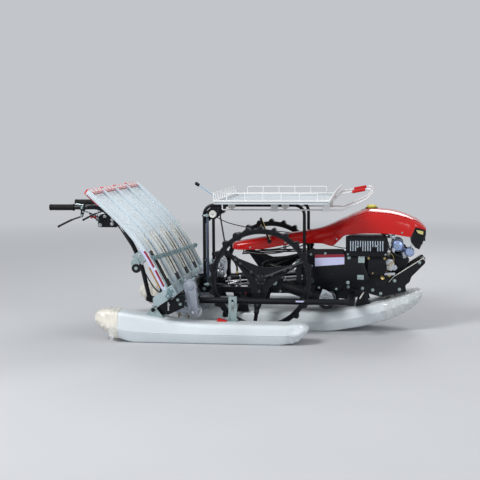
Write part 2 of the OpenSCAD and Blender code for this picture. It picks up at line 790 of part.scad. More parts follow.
// Stays that hold the bonnet's tongue above the lift shaft and its sides above the engine bed
stay_d = 10;
module bonnet_stays() {
    stay_y = tongue_w / 2 - 18;
    color([0.07, 0.07, 0.08]) {
        both_sides() {
            bent_rod(soften([
                [20, stay_y, 478],
                [250, stay_y, 492],
                [gearbox_rear_x + 30, stay_y, 500],
                [gearbox_rear_x + 70, stay_y, gearbox_top_z + 6]], 20), stay_d);
            translate([gearbox_rear_x + 70, stay_y, gearbox_top_z + touch])
                cylinder(h = 8, d = stay_d + 14);
            for (x = [30, 290])
                rod([x, stay_y, x < 100 ? 478 : 494], [x, stay_y, bonnet_low_z(x) + 20], stay_d - 2);
        }
        for (x = [30, 290])
            translate([x, 0, bonnet_low_z(x) + 14]) rotate([90, 0, 0])
                cylinder(h = 2 * (bonnet_half_at(x) - bonnet_t - 0.7), d = stay_d - 2, center = true);
    }
}

// Grille below the nose, whose sides are flat, and the lamps on them
grille_rear_x = 1086;
grille_front_x = 1178;
function grille_half(x) = lookup(x, [
    [grille_rear_x, bonnet_half_at(grille_rear_x) - 1],
    [grille_front_x, bonnet_half_at(grille_front_x) - 1]]);
// Place and height of the lower edge
grille_table = [[grille_rear_x, 566], [1112, 532], [1138, 519], [1158, 560], [grille_front_x, 606]];
module nose_grille() {
    color([0.08, 0.08, 0.08])
        loft([for (r = grille_table)
            let (half = grille_half(r[0]), top = bonnet_low_z(r[0]) - touch)
            mirrored([[half - 8, r[1]], [half, r[1] + 12], [half, top], [half - 6, top]], r[0])]);
}

lamp_x = 1137;
lamp_z = 616;
module headlamps() {
    turn = atan2(grille_half(grille_rear_x) - grille_half(grille_front_x), grille_front_x - grille_rear_x);
    color("khaki") both_sides()
        translate([lamp_x, grille_half(lamp_x), lamp_z]) rotate([0, 0, -turn])
            translate([0, touch, 0]) rotate([-90, 0, 0])
                linear_extrude(5) link_outline([-14, 0], lamp_d / 2 - 4, [14, 0], lamp_d / 2 - 4);
}

module fuel_cap() {
    x = 842;
    color("gold") {
        translate([x, 0, bonnet_top_z(x) + touch]) cylinder(h = 14, d = fuel_cap_d);
        translate([x, 0, bonnet_top_z(x) + 14]) cylinder(h = 6, d = fuel_cap_d - 24);
    }
}

// Drive tube across the machine, with plates that carry the rear ends of the side rails
module drive_tube() {
    inner_y = case_t / 2 + touch;
    outer_y = case_rows[2] - case_t / 2 - touch;
    color([0.06, 0.06, 0.07]) both_sides() {
        translate([drive_x, inner_y, drive_z]) rotate([-90, 0, 0])
            cylinder(h = outer_y - inner_y, d = drive_d);
        side_plate([
            [rail_rear_x - touch, rail_z - rail_d / 2],
            [rail_rear_x - touch, rail_z + rail_d / 2],
            [drive_x + drive_d / 2 - 2, drive_z + 4],
            [drive_x - 10, drive_z - drive_d / 2 + 4],
            [rail_rear_x - touch - 16, rail_z - rail_d / 2]], rail_y, 10);
    }
}

// Square tube behind the cases, with stubs for the float hinges and posts for the gate rail
beam_half_l = side_float_y - side_float_w / 2 - 8;
gate_low_z = 240;
post_t = 10;
module planting_beam() {
    color([0.06, 0.06, 0.07]) {
        translate([beam_x - beam_w / 2, -beam_half_l, beam_z - beam_w / 2])
            cube([beam_w, 2 * beam_half_l, beam_w]);
        both_sides() {
            translate([hinge_x, beam_half_l - 1, hinge_z]) rotate([-90, 0, 0])
                cylinder(h = side_float_y + 42 - beam_half_l, d = hinge_pin_d);
            for (y = [60, row_pitch, 1.5 * row_pitch])
                translate([beam_x + beam_w / 2 - 12, y - 20, beam_z + beam_w / 2 - eps])
                    cube([post_t, 40, gate_low_z - touch - beam_z - beam_w / 2 + eps]);
        }
    }
}

// Chain cases: one in the middle and one outside the outer rows
case_top_r = 38;
case_low_r = 27;
boss_out = 2.5;
// Outline of the web behind a case: the middle one ends at the beam, the outer ones round the stub
function case_web(outer) = concat(
    outer ? [[hinge_x - 18, hinge_z - 16], [hinge_x - 18, hinge_z + 12], [hinge_x - 6, hinge_z + 20]]
          : [[beam_x + beam_w / 2 + touch, beam_z - 12], [beam_x + beam_w / 2 + touch, beam_z + 20]],
    [[drive_x - 30, beam_z + 34], [crank_x - 16, crank_z + 10], [crank_x - 16, crank_z - 12]]);
module planting_cases() {
    color("darkgray")
        for (y = case_rows)
            difference() {
                union() {
                    flat_link([drive_x, drive_z], case_top_r, [crank_x, crank_z], case_low_r, y, case_t);
                    for (p = [[drive_x, drive_z, 24], [crank_x, crank_z, 20]])
                        translate([p[0], y + sign(y) * boss_out, p[1]]) rotate([90, 0, 0])
                            cylinder(h = case_t + (y == 0 ? 0 : 2 * boss_out), r = p[2], center = true);
                    side_plate(case_web(y != 0), y, 16);
                }
                translate([crank_x, y, crank_z]) rotate([90, 0, 0])
                    cylinder(h = case_t + 20, d = crank_shaft_d + 2 * pin_gap, center = true);
                if (y != 0)
                    translate([hinge_x, y, hinge_z]) rotate([90, 0, 0])
                        cylinder(h = 40, d = hinge_pin_d + 2 * touch, center = true);
            }
}

// Crank shafts: discs and pins on either side of the arms, all on one axis
crank_shaft_d = 18;
crank_disc_d = 2 * crank_r + 34;
crank_pin_d = 14;
// Row, side of the arm on which its crank disc lies, and angle of its crank
crank_table = [[0, -1, 90], [1, 1, 270], [2, -1, 90], [3, 1, 270]];
function pin_place(c) = [crank_x + crank_r * cos(c[2]), rows[c[0]], crank_z + crank_r * sin(c[2])];
module planting_cranks() {
    reach = arm_w / 2 + arm_gap;
    color("silver") {
        for (c = crank_table) {
            pin = pin_place(c);
            translate([crank_x, pin[1] + c[1] * (reach + disc_t / 2), crank_z]) rotate([90, 0, 0])
                cylinder(h = disc_t, d = crank_disc_d, center = true);
            translate(pin - [0, c[1], 0]) rotate([90, 0, 0])
                cylinder(h = 2 * reach + 10, d = crank_pin_d, center = true);
            translate(pin - [0, c[1] * (reach + 2), 0]) rotate([90, 0, 0])
                cylinder(h = 3, d = crank_pin_d + 8, center = true);
        }
        both_sides()
            translate([crank_x, 1.5 * row_pitch + reach + disc_t - 1, crank_z]) rotate([-90, 0, 0])
                cylinder(h = case_t + 24, d = crank_shaft_d);
        translate([crank_x, 0, crank_z]) rotate([90, 0, 0])
            cylinder(h = row_pitch - 2 * reach - 2 * disc_t + 2, d = crank_shaft_d, center = true);
    }
}

// One planting arm: its housing on the crank pin and its two-pronged claw
module planting_arm(i) {
    translate(pin_place(crank_table[i])) {
        color("silver") difference() {
            rotate([90, 0, 0]) linear_extrude(arm_w, center = true)
                polygon([
                    [14, -12], [14, 8], [4, 15], [-30, 17], [-86, 18], [-98, 12],
                    [-100, -4], [-84, -12], [-30, -15], [0, -16]]);
            rotate([90, 0, 0]) cylinder(h = arm_w + 10, d = crank_pin_d + 2 * pin_gap, center = true);
        }
        color("khaki") {
            for (s = [-1, 1])
                translate([0, s * 5, 0]) rotate([90, 0, 0]) linear_extrude(3, center = true)
                    polygon([[-86, -4], [-98, -2], [-108, -50], [-106, -82], [-101, -82], [-100, -50]]);
            translate([-98, -7, -24]) cube([8, 14, 10]);
        }
    }
}
module planting_arms_a() { planting_arm(0); planting_arm(2); }
module planting_arms_b() { planting_arm(1); planting_arm(3); }

// Rail below the tray foot, with a gate in its front lip at each row
gate_w = 44;
module gate_rail() {
    foot_seat = tray_foot_z - touch - tray_t * 0.5;
    color("darkgray") difference() {
        translate([0, gate_l / 2, 0]) rotate([90, 0, 0])
            linear_extrude(gate_l) polygon([
                [-414, gate_low_z], [-414, foot_seat - 30], [-404, foot_seat],
                [-352, foot_seat], [-350, tray_foot_z + 30], [-326, tray_foot_z + 58],
                [-312, tray_foot_z + 58], [-316, tray_foot_z - 12], [-330, gate_low_z]]);
        for (y = rows)
            translate([-348, y - gate_w / 2, gate_low_z - 5])
                cube([60, gate_w, 200]);
    }
}

// Tray profile: a straight foot, a bend and a straight top, from the foot upwards
slope_low = 62.5;
slope_up = 42.5;
tray_foot_x = -376;
tray_low_l = 150;
tray_bend_r = 1100;
tray_up_l = 220;
bend_steps = 8;
function tray_slope(k) = slope_low - (slope_low - slope_up) * k / bend_steps;
function tray_bend(k) =
    [tray_foot_x - tray_low_l * cos(slope_low) - tray_bend_r * (sin(slope_low) - sin(tray_slope(k))),
     tray_foot_z + tray_low_l * sin(slope_low) + tray_bend_r * (cos(tray_slope(k)) - cos(slope_low))];
tray_top = tray_bend(bend_steps) + tray_up_l * [-cos(slope_up), sin(slope_up)];
// Points of the tray's line at a height above its floor: place, then slope angle there
tray_line = concat(
    [[[tray_foot_x, tray_foot_z], slope_low]],
    [for (k = [0 : bend_steps]) [tray_bend(k), tray_slope(k)]],
    [[tray_top, slope_up]]);
function above(p, h) = p[0] + h * [sin(p[1]), cos(p[1])];
function tray_strip(low, high, from, to) = concat(
    [for (i = [from : to]) above(tray_line[i], low)],
    [for (i = [to : -1 : from]) above(tray_line[i], high)]);

module across(y, w) {
    translate([0, y + w / 2, 0]) rotate([90, 0, 0]) linear_extrude(w) children();
}

rib_h = 3;
module tray_deck() {
    last = len(tray_line) - 1;
    color("gainsboro") {
        across(0, 2 * tray_half_w) polygon(tray_strip(-tray_t, 0, 0, last));
        for (k = [-2 : 2])
            across(k * row_pitch, abs(k) == 2 ? 2 * ridge_w : ridge_w)
                polygon(tray_strip(-1, ridge_h, 0, last));
        for (k = [-2 : 1])
            for (s = [0.27, 0.73])
                across((k + s) * row_pitch, 10) polygon(tray_strip(-1, rib_h, 0, last));
    }
}

module tray_caps() {
    e = [-cos(slope_up), sin(slope_up)];
    n = [sin(slope_up), cos(slope_up)];
    color("red") for (k = [-1.5 : 1.5])
        across(k * row_pitch, cap_l) polygon([
            tray_top + e * touch - n * tray_t,
            tray_top + e * touch + n * (rib_h + touch),
            tray_top - e * 26 + n * (rib_h + touch),
            tray_top - e * 20 + n * 13,
            tray_top + e * 8 + n * 16,
            tray_top + e * 16 + n * 4,
            tray_top + e * 12 - n * (tray_t + 14),
            tray_top + e * 4 - n * (tray_t + 16)]);
}

// Rods that hold the seedling mats down, on a bar across the tray
press_h = ridge_h + 18;
press_top = 6;
module press_rods() {
    color("lightslategray") {
        for (k = [-2 : 1])
            for (s = [0.22, 0.5, 0.78])
                bent_rod_in_tray((k + s) * row_pitch);
        p = above(tray_line[1], press_h + press_rod_d);
        translate([p[0], 0, p[1]]) rotate([90, 0, 0])
            cylinder(h = 2 * tray_half_w, d = press_rod_d + 4, center = true);
        both_sides() {
            q = above(tray_line[1], ridge_h + touch);
            hull() {
                translate([p[0], tray_half_w - 8, p[1]]) rotate([90, 0, 0])
                    cylinder(h = 4, d = 22, center = true, $fn = hull_fn);
                translate([q[0], tray_half_w - 8, q[1]]) rotate([0, slope_low, 0])
                    translate([-8, -2, 0]) cube([16, 4, 4]);
            }
        }
    }
}
module bent_rod_in_tray(y) {
    foot = above(tray_line[0], press_h) + 60 * [-cos(slope_low), sin(slope_low)];
    pts = concat([[foot[0], y, foot[1]]],
                 [for (i = [1 : press_top]) let (p = above(tray_line[i], press_h)) [p[0], y, p[1]]]);
    tip = above(tray_line[press_top], press_h + 16);
    bent_rod(concat(pts, [[tip[0] - 10, y, tip[1]]]), press_rod_d, sides = 8);
}

// Lugged belts that feed the mats down, one for each lane
belt_w = 26;
belt_top = 5;
module feed_belts() {
    color([0.08, 0.08, 0.08])
        for (k = [-1.5 : 1.5])
            across(k * row_pitch + 14, belt_w) polygon(tray_strip(touch, 3, 0, belt_top));
}

// Handle: two tubes from the planting beam below the tray to the grips, and the tray's guide channel
handle_y = 200;
handle_path = [[-470, 190], [-560, 205], [-604, 400], [-646, 508], [-720, 655], [-800, 742], [-880, 786]];
grip_end_x = -1180;
grip_z = 786;
handle_bend_x = grip_end_x + 240;
handle_bar_x = -760;
guide_line = 3;
// Gap below the tray in the middle of the channel; the tray bends there
guide_gap = 0.75;
guide_h = 34;
module handle_frame() {
    g = tray_line[guide_line];
    top = above(g, -tray_t - guide_gap);
    color([0.05, 0.05, 0.05]) {
        both_sides() {
            bent_rod(soften(concat(
                [for (i = [0 : 5]) [handle_path[i][0], handle_y, handle_path[i][1]]],
                [[handle_path[6][0], grip_y - 20, handle_path[6][1]],
                 [handle_bend_x, grip_y, grip_z]]), 26), handle_d, sides = 14);
            translate([grip_end_x + 6, grip_y, grip_z]) rotate([0, 90, 0])
                cylinder(h = handle_bend_x - grip_end_x + 2, d = handle_d);
            side_plate([
                [beam_x - beam_w / 2 - touch, beam_z - 24],
                [beam_x - beam_w / 2 - touch, beam_z + 24],
                [-520, beam_z + 44],
                [-580, beam_z + 40],
                [-580, beam_z + 14]], handle_y, 12);
            side_plate([
                above(g, -tray_t - guide_h + 4) + [12, 10],
                above(g, -tray_t - guide_h + 4) + [-16, -34],
                [-612, 410],
                [-640, 480]], handle_y, 8);
        }
        translate([handle_bar_x, 0, 699]) rotate([90, 0, 0])
            cylinder(h = 2 * handle_y, d = handle_d - 6, center = true);
        translate([handle_bend_x + 14, 0, grip_z]) rotate([90, 0, 0])
            cylinder(h = 2 * grip_y - 12, d = handle_d - 4, center = true);
        translate([top[0], 0, top[1]]) rotate([0, g[1], 0])
            translate([-20, -560, -guide_h]) cube([40, 1120, guide_h]);
    }
}

// Brackets and rollers at the ends of the guide channel
module tray_guides() {
    g = tray_line[guide_line];
    top = above(g, -tray_t - guide_gap);
    both_sides() {
        translate([top[0], 560 + touch, top[1]]) rotate([0, g[1], 0]) {
            color("cadetblue") translate([-34, 0, -guide_h - 40]) cube([70, 6, guide_h + 34]);
            color([0.1, 0.1, 0.1]) translate([14, 5, -guide_h - 40]) rotate([-90, 0, 0])
                cylinder(h = 20, d = 52);
        }
    }
}

module handle_grips() {
    color([0.1, 0.1, 0.1]) both_sides()
        difference() {
            translate([grip_end_x, grip_y, grip_z]) rotate([0, 90, 0]) {
                cylinder(h = grip_l, d = grip_d);
                translate([0, 0, grip_l - 8]) cylinder(h = 8, d = grip_d + 8);
            }
            translate([grip_end_x + 6 - touch, grip_y, grip_z]) rotate([0, 90, 0])
                cylinder(h = grip_l + 20, d = handle_d + 2 * pin_gap);
        }
}

// Hand levers below the grips
module clutch_levers() {
    color([0.12, 0.12, 0.12]) both_sides() {
        x = grip_end_x + grip_l + 44;
        difference() {
            translate([x, grip_y, grip_z]) rotate([0, 90, 0]) cylinder(h = 24, d = handle_d + 14);
            translate([x - 5, grip_y, grip_z]) rotate([0, 90, 0]) cylinder(h = 40, d = handle_d + 2 * pin_gap);
        }
        side_plate([
            [x, grip_z - handle_d / 2 - 3], [x + 24, grip_z - handle_d / 2 - 3],
            [x + 10, grip_z - 62], [x - 6, grip_z - 62]], grip_y, 10);
        bent_rod(soften([
            [x + 6, grip_y, grip_z - 56],
            [x - 60, grip_y, grip_z - 78],
            [x - 150, grip_y, grip_z - 122]], 30), 10);
    }
}

box_rear_x = -872;
box_half_w = 178;
module control_box() {
    color([0.08, 0.08, 0.08])
        translate([box_rear_x, -box_half_w, 664])
            cube([handle_bar_x - handle_d / 2 + 3 - touch - box_rear_x, 2 * box_half_w, 56]);
}

// Link rod beside the right hoop, between an eye on the hoop and one on the drive tube's seat
module control_rods() {
    rod_y = hoop_y + 32;
    eyes = [[hoop_rear_x + 2, 732, hoop_y + hoop_d / 2 + touch],
            [hoop_rear_x + 2, inner_z + 34, seat_y + seat_t / 2 + touch]];
    color("steelblue")
        rod([eyes[0][0], -rod_y, eyes[0][1]], [eyes[1][0], -rod_y, eyes[1][1]], 10);
    color([0.1, 0.1, 0.1])
        for (e = eyes)
            translate([e[0], -e[2], e[1]]) rotate([90, 0, 0]) cylinder(h = rod_y + 7 - e[2], d = 18);
}

// Swing case: drum on the pivot pin, round arm, flange and final drive case with the axle
drum_r = 50;
flange_at = 296;
axle_boss_r = 30;
module swing_case(side) {
    color([0.08, 0.08, 0.09])
        translate([pivot_x, side * swing_y, pivot_z]) rotate([0, 180 + swing_rise, 0]) {
            half = swing_arm_d / 2;
            difference() {
                union() {
                    rotate([90, 0, 0]) cylinder(h = swing_arm_d, r = drum_r, center = true);
                    rotate([0, 90, 0]) cylinder(h = flange_at, d = swing_arm_d);
                    translate([flange_at - 4, -half, -46]) cube([14, 2 * half, 92]);
                    rotate([90, 0, 0]) linear_extrude(swing_arm_d - 16, center = true) {
                        polygon([[flange_at - 2, -38], [swing_l - 20, -axle_boss_r], [swing_l, -axle_boss_r],
                                 [swing_l, axle_boss_r], [swing_l - 20, axle_boss_r], [flange_at - 2, 38]]);
                        translate([swing_l, 0]) circle(axle_boss_r);
                    }
                    translate([swing_l, 0, 0]) rotate([-side * 90, 0, 0]) cylinder(h = half + 3, r = axle_boss_r - 4);
                    translate([lug_along - 16, -7, -lug_up - 2]) cube([32, 14, lug_up]);
                }
                rotate([90, 0, 0]) cylinder(h = swing_arm_d + 4, d = pivot_pin_d + 2 * pin_gap, center = true);
                translate([lug_along, 0, -lug_up + 10]) rotate([90, 0, 0]) cylinder(h = 40, d = 12, center = true);
            }
            translate([swing_l, 0, 0]) rotate([-side * 90, 0, 0])
                cylinder(h = wheel_y - swing_y + hub_l / 2 + 9, d = axle_d);
            translate([swing_l, side * (wheel_y - swing_y + hub_l / 2 + 1), 0]) rotate([-side * 90, 0, 0])
                cylinder(h = 5, d = axle_d + 16);
        }
}
module swing_case_right() { swing_case(-1); }
module swing_case_left() { swing_case(1); }

// Wheel: a ring with lugs, three tube spokes and a three-armed hub plate
hub_l = 52;
hub_d = 62;
spoke_phase = 22;
spoke_sleeve_d = 32;
plate_t = 8;
plate_arm_r = 196;
plate_web_r = 74;
module wheel(side) {
    out_r = wheel_d / 2 - lug_h;
    in_r = out_r - ring_t;
    color([0.06, 0.06, 0.06])
        translate([hub_x, side * wheel_y, hub_z]) rotate([90, 0, 0]) {
            difference() {
                union() {
                    linear_extrude(ring_w, center = true) difference() {
                        circle(out_r, $fn = 96);
                        circle(in_r, $fn = 96);
                    }
                    linear_extrude(lug_w, center = true)
                        for (k = [0 : lug_count - 1])
                            rotate(k * 360 / lug_count)
                                polygon([
                                    [out_r - 7, -23], [out_r + 2, -21], [out_r + lug_h - 2, -8],
                                    [out_r + lug_h, 0], [out_r + lug_h - 3, 8], [out_r + 2, 19], [out_r - 7, 23]]);
                    cylinder(h = hub_l, d = hub_d, center = true);
                    linear_extrude(plate_t, center = true)
                        polygon([for (k = [0 : 2]) each [
                            polar(plate_arm_r, spoke_phase + 120 * k - 4),
                            polar(plate_arm_r, spoke_phase + 120 * k + 4),
                            polar(plate_web_r + 16, spoke_phase + 120 * k + 34),
                            polar(plate_web_r, spoke_phase + 120 * k + 60),
                            polar(plate_web_r + 16, spoke_phase + 120 * k + 86)]]);
                    for (k = [0 : 2])
                        rotate([0, 0, spoke_phase + 120 * k]) rotate([0, 90, 0]) {
                            translate([0, 0, hub_d / 2 - 8]) cylinder(h = in_r - hub_d / 2 + 12, d = spoke_d);
                            translate([0, 0, hub_d / 2 - 6]) cylinder(h = plate_arm_r - hub_d / 2 + 16, d = spoke_sleeve_d);
                        }
                }
                cylinder(h = hub_l + 10, d = axle_d + 2 * pin_gap, center = true);
            }
        }
}
module wheel_right() { wheel(-1); }
module wheel_left() { wheel(1); }

// Rack on the rollers: sheet deck, wire fences and runners below it
deck_rear_x = -92;
deck_z = roller_z + roller_d / 2 + touch;
deck_t = 3;
module rack_deck() {
    color("white") {
        translate([deck_rear_x, -deck_w / 2, deck_z]) cube([deck_l, deck_w, deck_t]);
        for (x = [deck_rear_x, deck_rear_x + deck_l - deck_t])
            translate([x, -deck_w / 2, deck_z]) cube([deck_t, deck_w, 14]);
        both_sides() translate([deck_rear_x, deck_w / 2 - deck_t, deck_z]) cube([deck_l, deck_t, 14]);
    }
}

fence_pitch = 109;
fence_rear_x = deck_rear_x + 79;
post_wire_d = fence_wire_d - 0.6;
// Foot place, top place and height above the edge wires of the rear and front combs
comb_table = [
    [deck_rear_x, deck_rear_x - 6, fence_h],
    [deck_rear_x + deck_l, deck_rear_x + deck_l + 36, fence_h + 12]];
module rack_fences() {
    wz = deck_z + 14 + edge_wire_d / 2 + touch;
    fy = deck_w / 2 + 4;
    comb_half = fy - 14;
    fence_front_x = fence_rear_x + fence_bays * fence_pitch;
    color("white") {
        both_sides() {
            translate([deck_rear_x + 1, fy, wz]) rotate([0, 90, 0]) cylinder(h = deck_l - 2, d = edge_wire_d);
            bent_rod(soften([
                [fence_rear_x, fy, wz],
                [fence_rear_x, fy, wz + fence_h],
                [fence_front_x, fy, wz + fence_h],
                [fence_front_x, fy, wz]], 14), fence_wire_d, sides = 8);
            for (k = [1 : fence_bays - 1])
                translate([fence_rear_x + k * fence_pitch, fy, wz]) cylinder(h = fence_h, d = post_wire_d);
        }
        for (c = comb_table) {
            translate([c[0], 0, wz]) rotate([90, 0, 0])
                cylinder(h = 2 * fy + edge_wire_d + 3, d = edge_wire_d + 0.6, center = true);
            translate([c[1], 0, wz + c[2]]) rotate([90, 0, 0])
                cylinder(h = 2 * comb_half + 8, d = fence_wire_d, center = true);
            for (k = [0 : comb_bars - 1])
                let (y = comb_half * (2 * k / (comb_bars - 1) - 1))
                rod([c[0], y, wz], [c[1], y, wz + c[2]], post_wire_d);
        }
    }
}

runner_y = roller_y + roller_w / 2;
runner_z = roller_z - roller_d / 2 - touch - edge_wire_d / 2;
hanger_y = roller_y + roller_w + 8;
hanger_places = [246, 566];
runner_d = edge_wire_d;
loop_rear_x = deck_rear_x + deck_l;
loop_tip_x = loop_rear_x + 256;
module rack_runners() {
    fz = deck_z - touch;
    color("white") both_sides() {
        bent_rod(soften([
            [deck_rear_x + 8, runner_y, fz],
            [deck_rear_x + 8, runner_y, runner_z],
            [loop_rear_x + 70, runner_y, runner_z],
            [loop_tip_x - 46, runner_y, runner_z + 66],
            [loop_tip_x, runner_y, runner_z + 112],
            [loop_tip_x - 26, runner_y, runner_z + 132],
            [loop_rear_x + 50, runner_y, runner_z + 98],
            [loop_rear_x + 16, runner_y, deck_z + 7],
            [loop_rear_x + touch, runner_y, deck_z + 7]], 10), runner_d);
        for (x = hanger_places) {
            translate([x - 22, hanger_y, runner_z - runner_d / 2 - 4]) cube([44, 3, fz - runner_z + runner_d / 2 + 4]);
            translate([x - 22, runner_y - 6, runner_z - runner_d / 2 - 4]) cube([44, hanger_y - runner_y + 7, 4.6]);
        }
    }
}

rack_grip_l = 80;
module rack_grips() {
    b = [loop_tip_x - 26, runner_y, runner_z + 132];
    v = unit(b - [loop_rear_x + 50, runner_y, runner_z + 98]);
    color("red") both_sides() difference() {
        rod(b - v * (24 + rack_grip_l), b - v * 24, runner_d + 11);
        rod(b - v * (34 + rack_grip_l), b - v * 14, runner_d + 2 * pin_gap);
    }
}

// Lever below the rear of the deck, for the rack's latch
module rack_lever() {
    color("lightslategray")
        bent_rod(soften([[deck_rear_x + 60, 0, deck_z - 9], [deck_rear_x - 20, 0, deck_z - 9], [-287, 0, 926]], 16), 9);
    color([0.1, 0.1, 0.1]) {
        translate([-287, 0, 926]) sphere(d = 26);
    }
    color("white") translate([deck_rear_x + 20, -14, deck_z - 5 - touch]) cube([40, 28, 5]);
}

center_float();
side_float_right();
side_float_left();
float_front_brackets();
float_hinges();
center_float_links();
main_frame();
side_rails();
rack_hoops();
rack_rollers();
gearbox();
axle_housings();
belt_cover();
hydraulic_cylinder();
lift_linkage();
engine_block();
engine_fins();
engine_guard();
air_cleaner();
carburettor();
engine_bed();
front_guard();
bonnet();
bonnet_stays();
nose_grille();
headlamps();
fuel_cap();
drive_tube();
planting_beam();
planting_cases();
gate_rail();
tray_guides();
handle_frame();
handle_grips();
clutch_levers();
control_box();
control_rods();
swing_case_right();
swing_case_left();
wheel_right();
wheel_left();
planting_cranks();
planting_arms_a();
planting_arms_b();
tray_deck();
tray_caps();
press_rods();
feed_belts();
rack_deck();
rack_fences();
rack_runners();
rack_grips();
rack_lever();
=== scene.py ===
"""Looks of the walk-behind rice transplanter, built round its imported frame.

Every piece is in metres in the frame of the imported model: +X is forward, +Y is the machine's left and +Z is up.
"""

import bisect
import json
import logging
import math
from dataclasses import dataclass, field
from enum import Enum
from typing import Iterable, Sequence

import bmesh
import bpy
from mathutils import Matrix, Vector, noise

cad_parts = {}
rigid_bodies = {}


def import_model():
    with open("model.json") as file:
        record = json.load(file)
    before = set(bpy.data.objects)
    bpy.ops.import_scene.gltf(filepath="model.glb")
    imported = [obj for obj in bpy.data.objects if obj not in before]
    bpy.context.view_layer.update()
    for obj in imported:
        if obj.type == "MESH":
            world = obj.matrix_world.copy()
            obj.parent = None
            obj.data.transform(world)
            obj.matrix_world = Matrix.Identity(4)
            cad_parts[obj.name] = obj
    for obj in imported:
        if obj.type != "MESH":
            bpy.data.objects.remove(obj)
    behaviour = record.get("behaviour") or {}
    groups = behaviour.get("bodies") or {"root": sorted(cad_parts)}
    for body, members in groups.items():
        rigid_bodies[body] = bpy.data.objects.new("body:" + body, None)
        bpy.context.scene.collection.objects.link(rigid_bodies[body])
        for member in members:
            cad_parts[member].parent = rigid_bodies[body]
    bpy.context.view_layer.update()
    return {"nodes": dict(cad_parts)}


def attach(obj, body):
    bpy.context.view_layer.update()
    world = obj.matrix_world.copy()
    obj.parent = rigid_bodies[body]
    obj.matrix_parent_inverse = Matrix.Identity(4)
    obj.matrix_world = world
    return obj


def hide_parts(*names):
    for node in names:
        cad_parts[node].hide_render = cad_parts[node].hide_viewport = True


LOG = logging.getLogger("transplanter")
Point = Sequence[float]
CORNER_SHARE = 0.48  # most that a rounded corner takes of each leg
MACHINE_HALF = 0.7395  # half width that nothing stands out of
FORWARD, BACKWARD, LEFT, RIGHT, UP = (1, 0, 0), (-1, 0, 0), (0, 1, 0), (0, -1, 0), (0, 0, 1)
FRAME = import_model()


class Body(str, Enum):
    """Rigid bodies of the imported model."""

    CHASSIS = "chassis"
    SWING_RIGHT = "swing_right"
    SWING_LEFT = "swing_left"
    WHEEL_RIGHT = "wheel_r"
    WHEEL_LEFT = "wheel_l"
    CRANKS = "cranks"
    ARMS_A = "arms_a"
    ARMS_B = "arms_b"
    TRAY = "tray"
    RACK = "rack"


# Meshes.


def unit(v: Point) -> Vector:
    """The vector at length 1."""
    return Vector(v).normalized()


def across_to(direction: Point, hint: Point = (0.0, 1.0, 0.0)) -> tuple[Vector, Vector]:
    """Two axes square to a direction.

    Args:
        direction: The direction.
        hint: A direction that the first axis keeps away from.

    Returns:
        Two unit vectors that make a right-handed set with the direction.
    """
    d = unit(direction)
    side = Vector(hint)
    if abs(d.dot(side.normalized())) > 0.95:
        side = Vector((0.0, 0.0, 1.0)) if abs(d.z) < 0.9 else Vector((1.0, 0.0, 0.0))
    u = d.cross(side).normalized()
    return u, d.cross(u).normalized()


def rounded(points: Sequence[Point], bend: float, steps: int = 6) -> list[Vector]:
    """A path with its corners rounded.

    Args:
        points: Corners of the path.
        bend: Length of path used up on either side of a corner, in metres.
        steps: Points on each rounded corner.

    Returns:
        The points of the rounded path.
    """
    path = [Vector(p) for p in points]
    out = [path[0]]
    for before, corner, after in zip(path, path[1:], path[2:]):
        cut_in = min(bend, (before - corner).length * CORNER_SHARE)
        cut_out = min(bend, (after - corner).length * CORNER_SHARE)
        a = corner + (before - corner).normalized() * cut_in
        b = corner + (after - corner).normalized() * cut_out
        for k in range(steps + 1):
            t = k / steps
            out.append((1 - t) ** 2 * a + 2 * t * (1 - t) * corner + t * t * b)
    out.append(path[-1])
    return out


def rounded_outline(corners: Sequence[tuple[float, float]], bend: float, steps: int = 6) -> list[tuple[float, float]]:
    """An outline of x and z with rounded corners, from corners that end where they start."""
    path = rounded([(x, 0, z) for x, z in corners], bend, steps)
    return [(p.x, p.z) for p in path[:-1]]


def circle(center: Point, radius: float, angles: Iterable[float]) -> list[Point]:
    """Points at some angles on a circle that is square to Y."""
    x, y, z = center
    return [(x + radius * math.cos(t), y, z + radius * math.sin(t)) for t in angles]


def spoke(u: Vector, v: Vector, angle: float) -> Vector:
    """The unit vector at an angle between two axes."""
    return u * math.cos(angle) + v * math.sin(angle)


def sagging(a: Point, b: Point, sag: float, steps: int = 14) -> list[Vector]:
    """Points of a cable that hangs between two points.

    Args:
        a: First end.
        b: Last end.
        sag: How far its middle hangs below the straight line.
        steps: Number of stretches.

    Returns:
        The points from a to b.
    """
    pa, pb = Vector(a), Vector(b)
    return [pa.lerp(pb, k / steps) - Vector((0, 0, 4 * sag * (k / steps) * (1 - k / steps))) for k in range(steps + 1)]


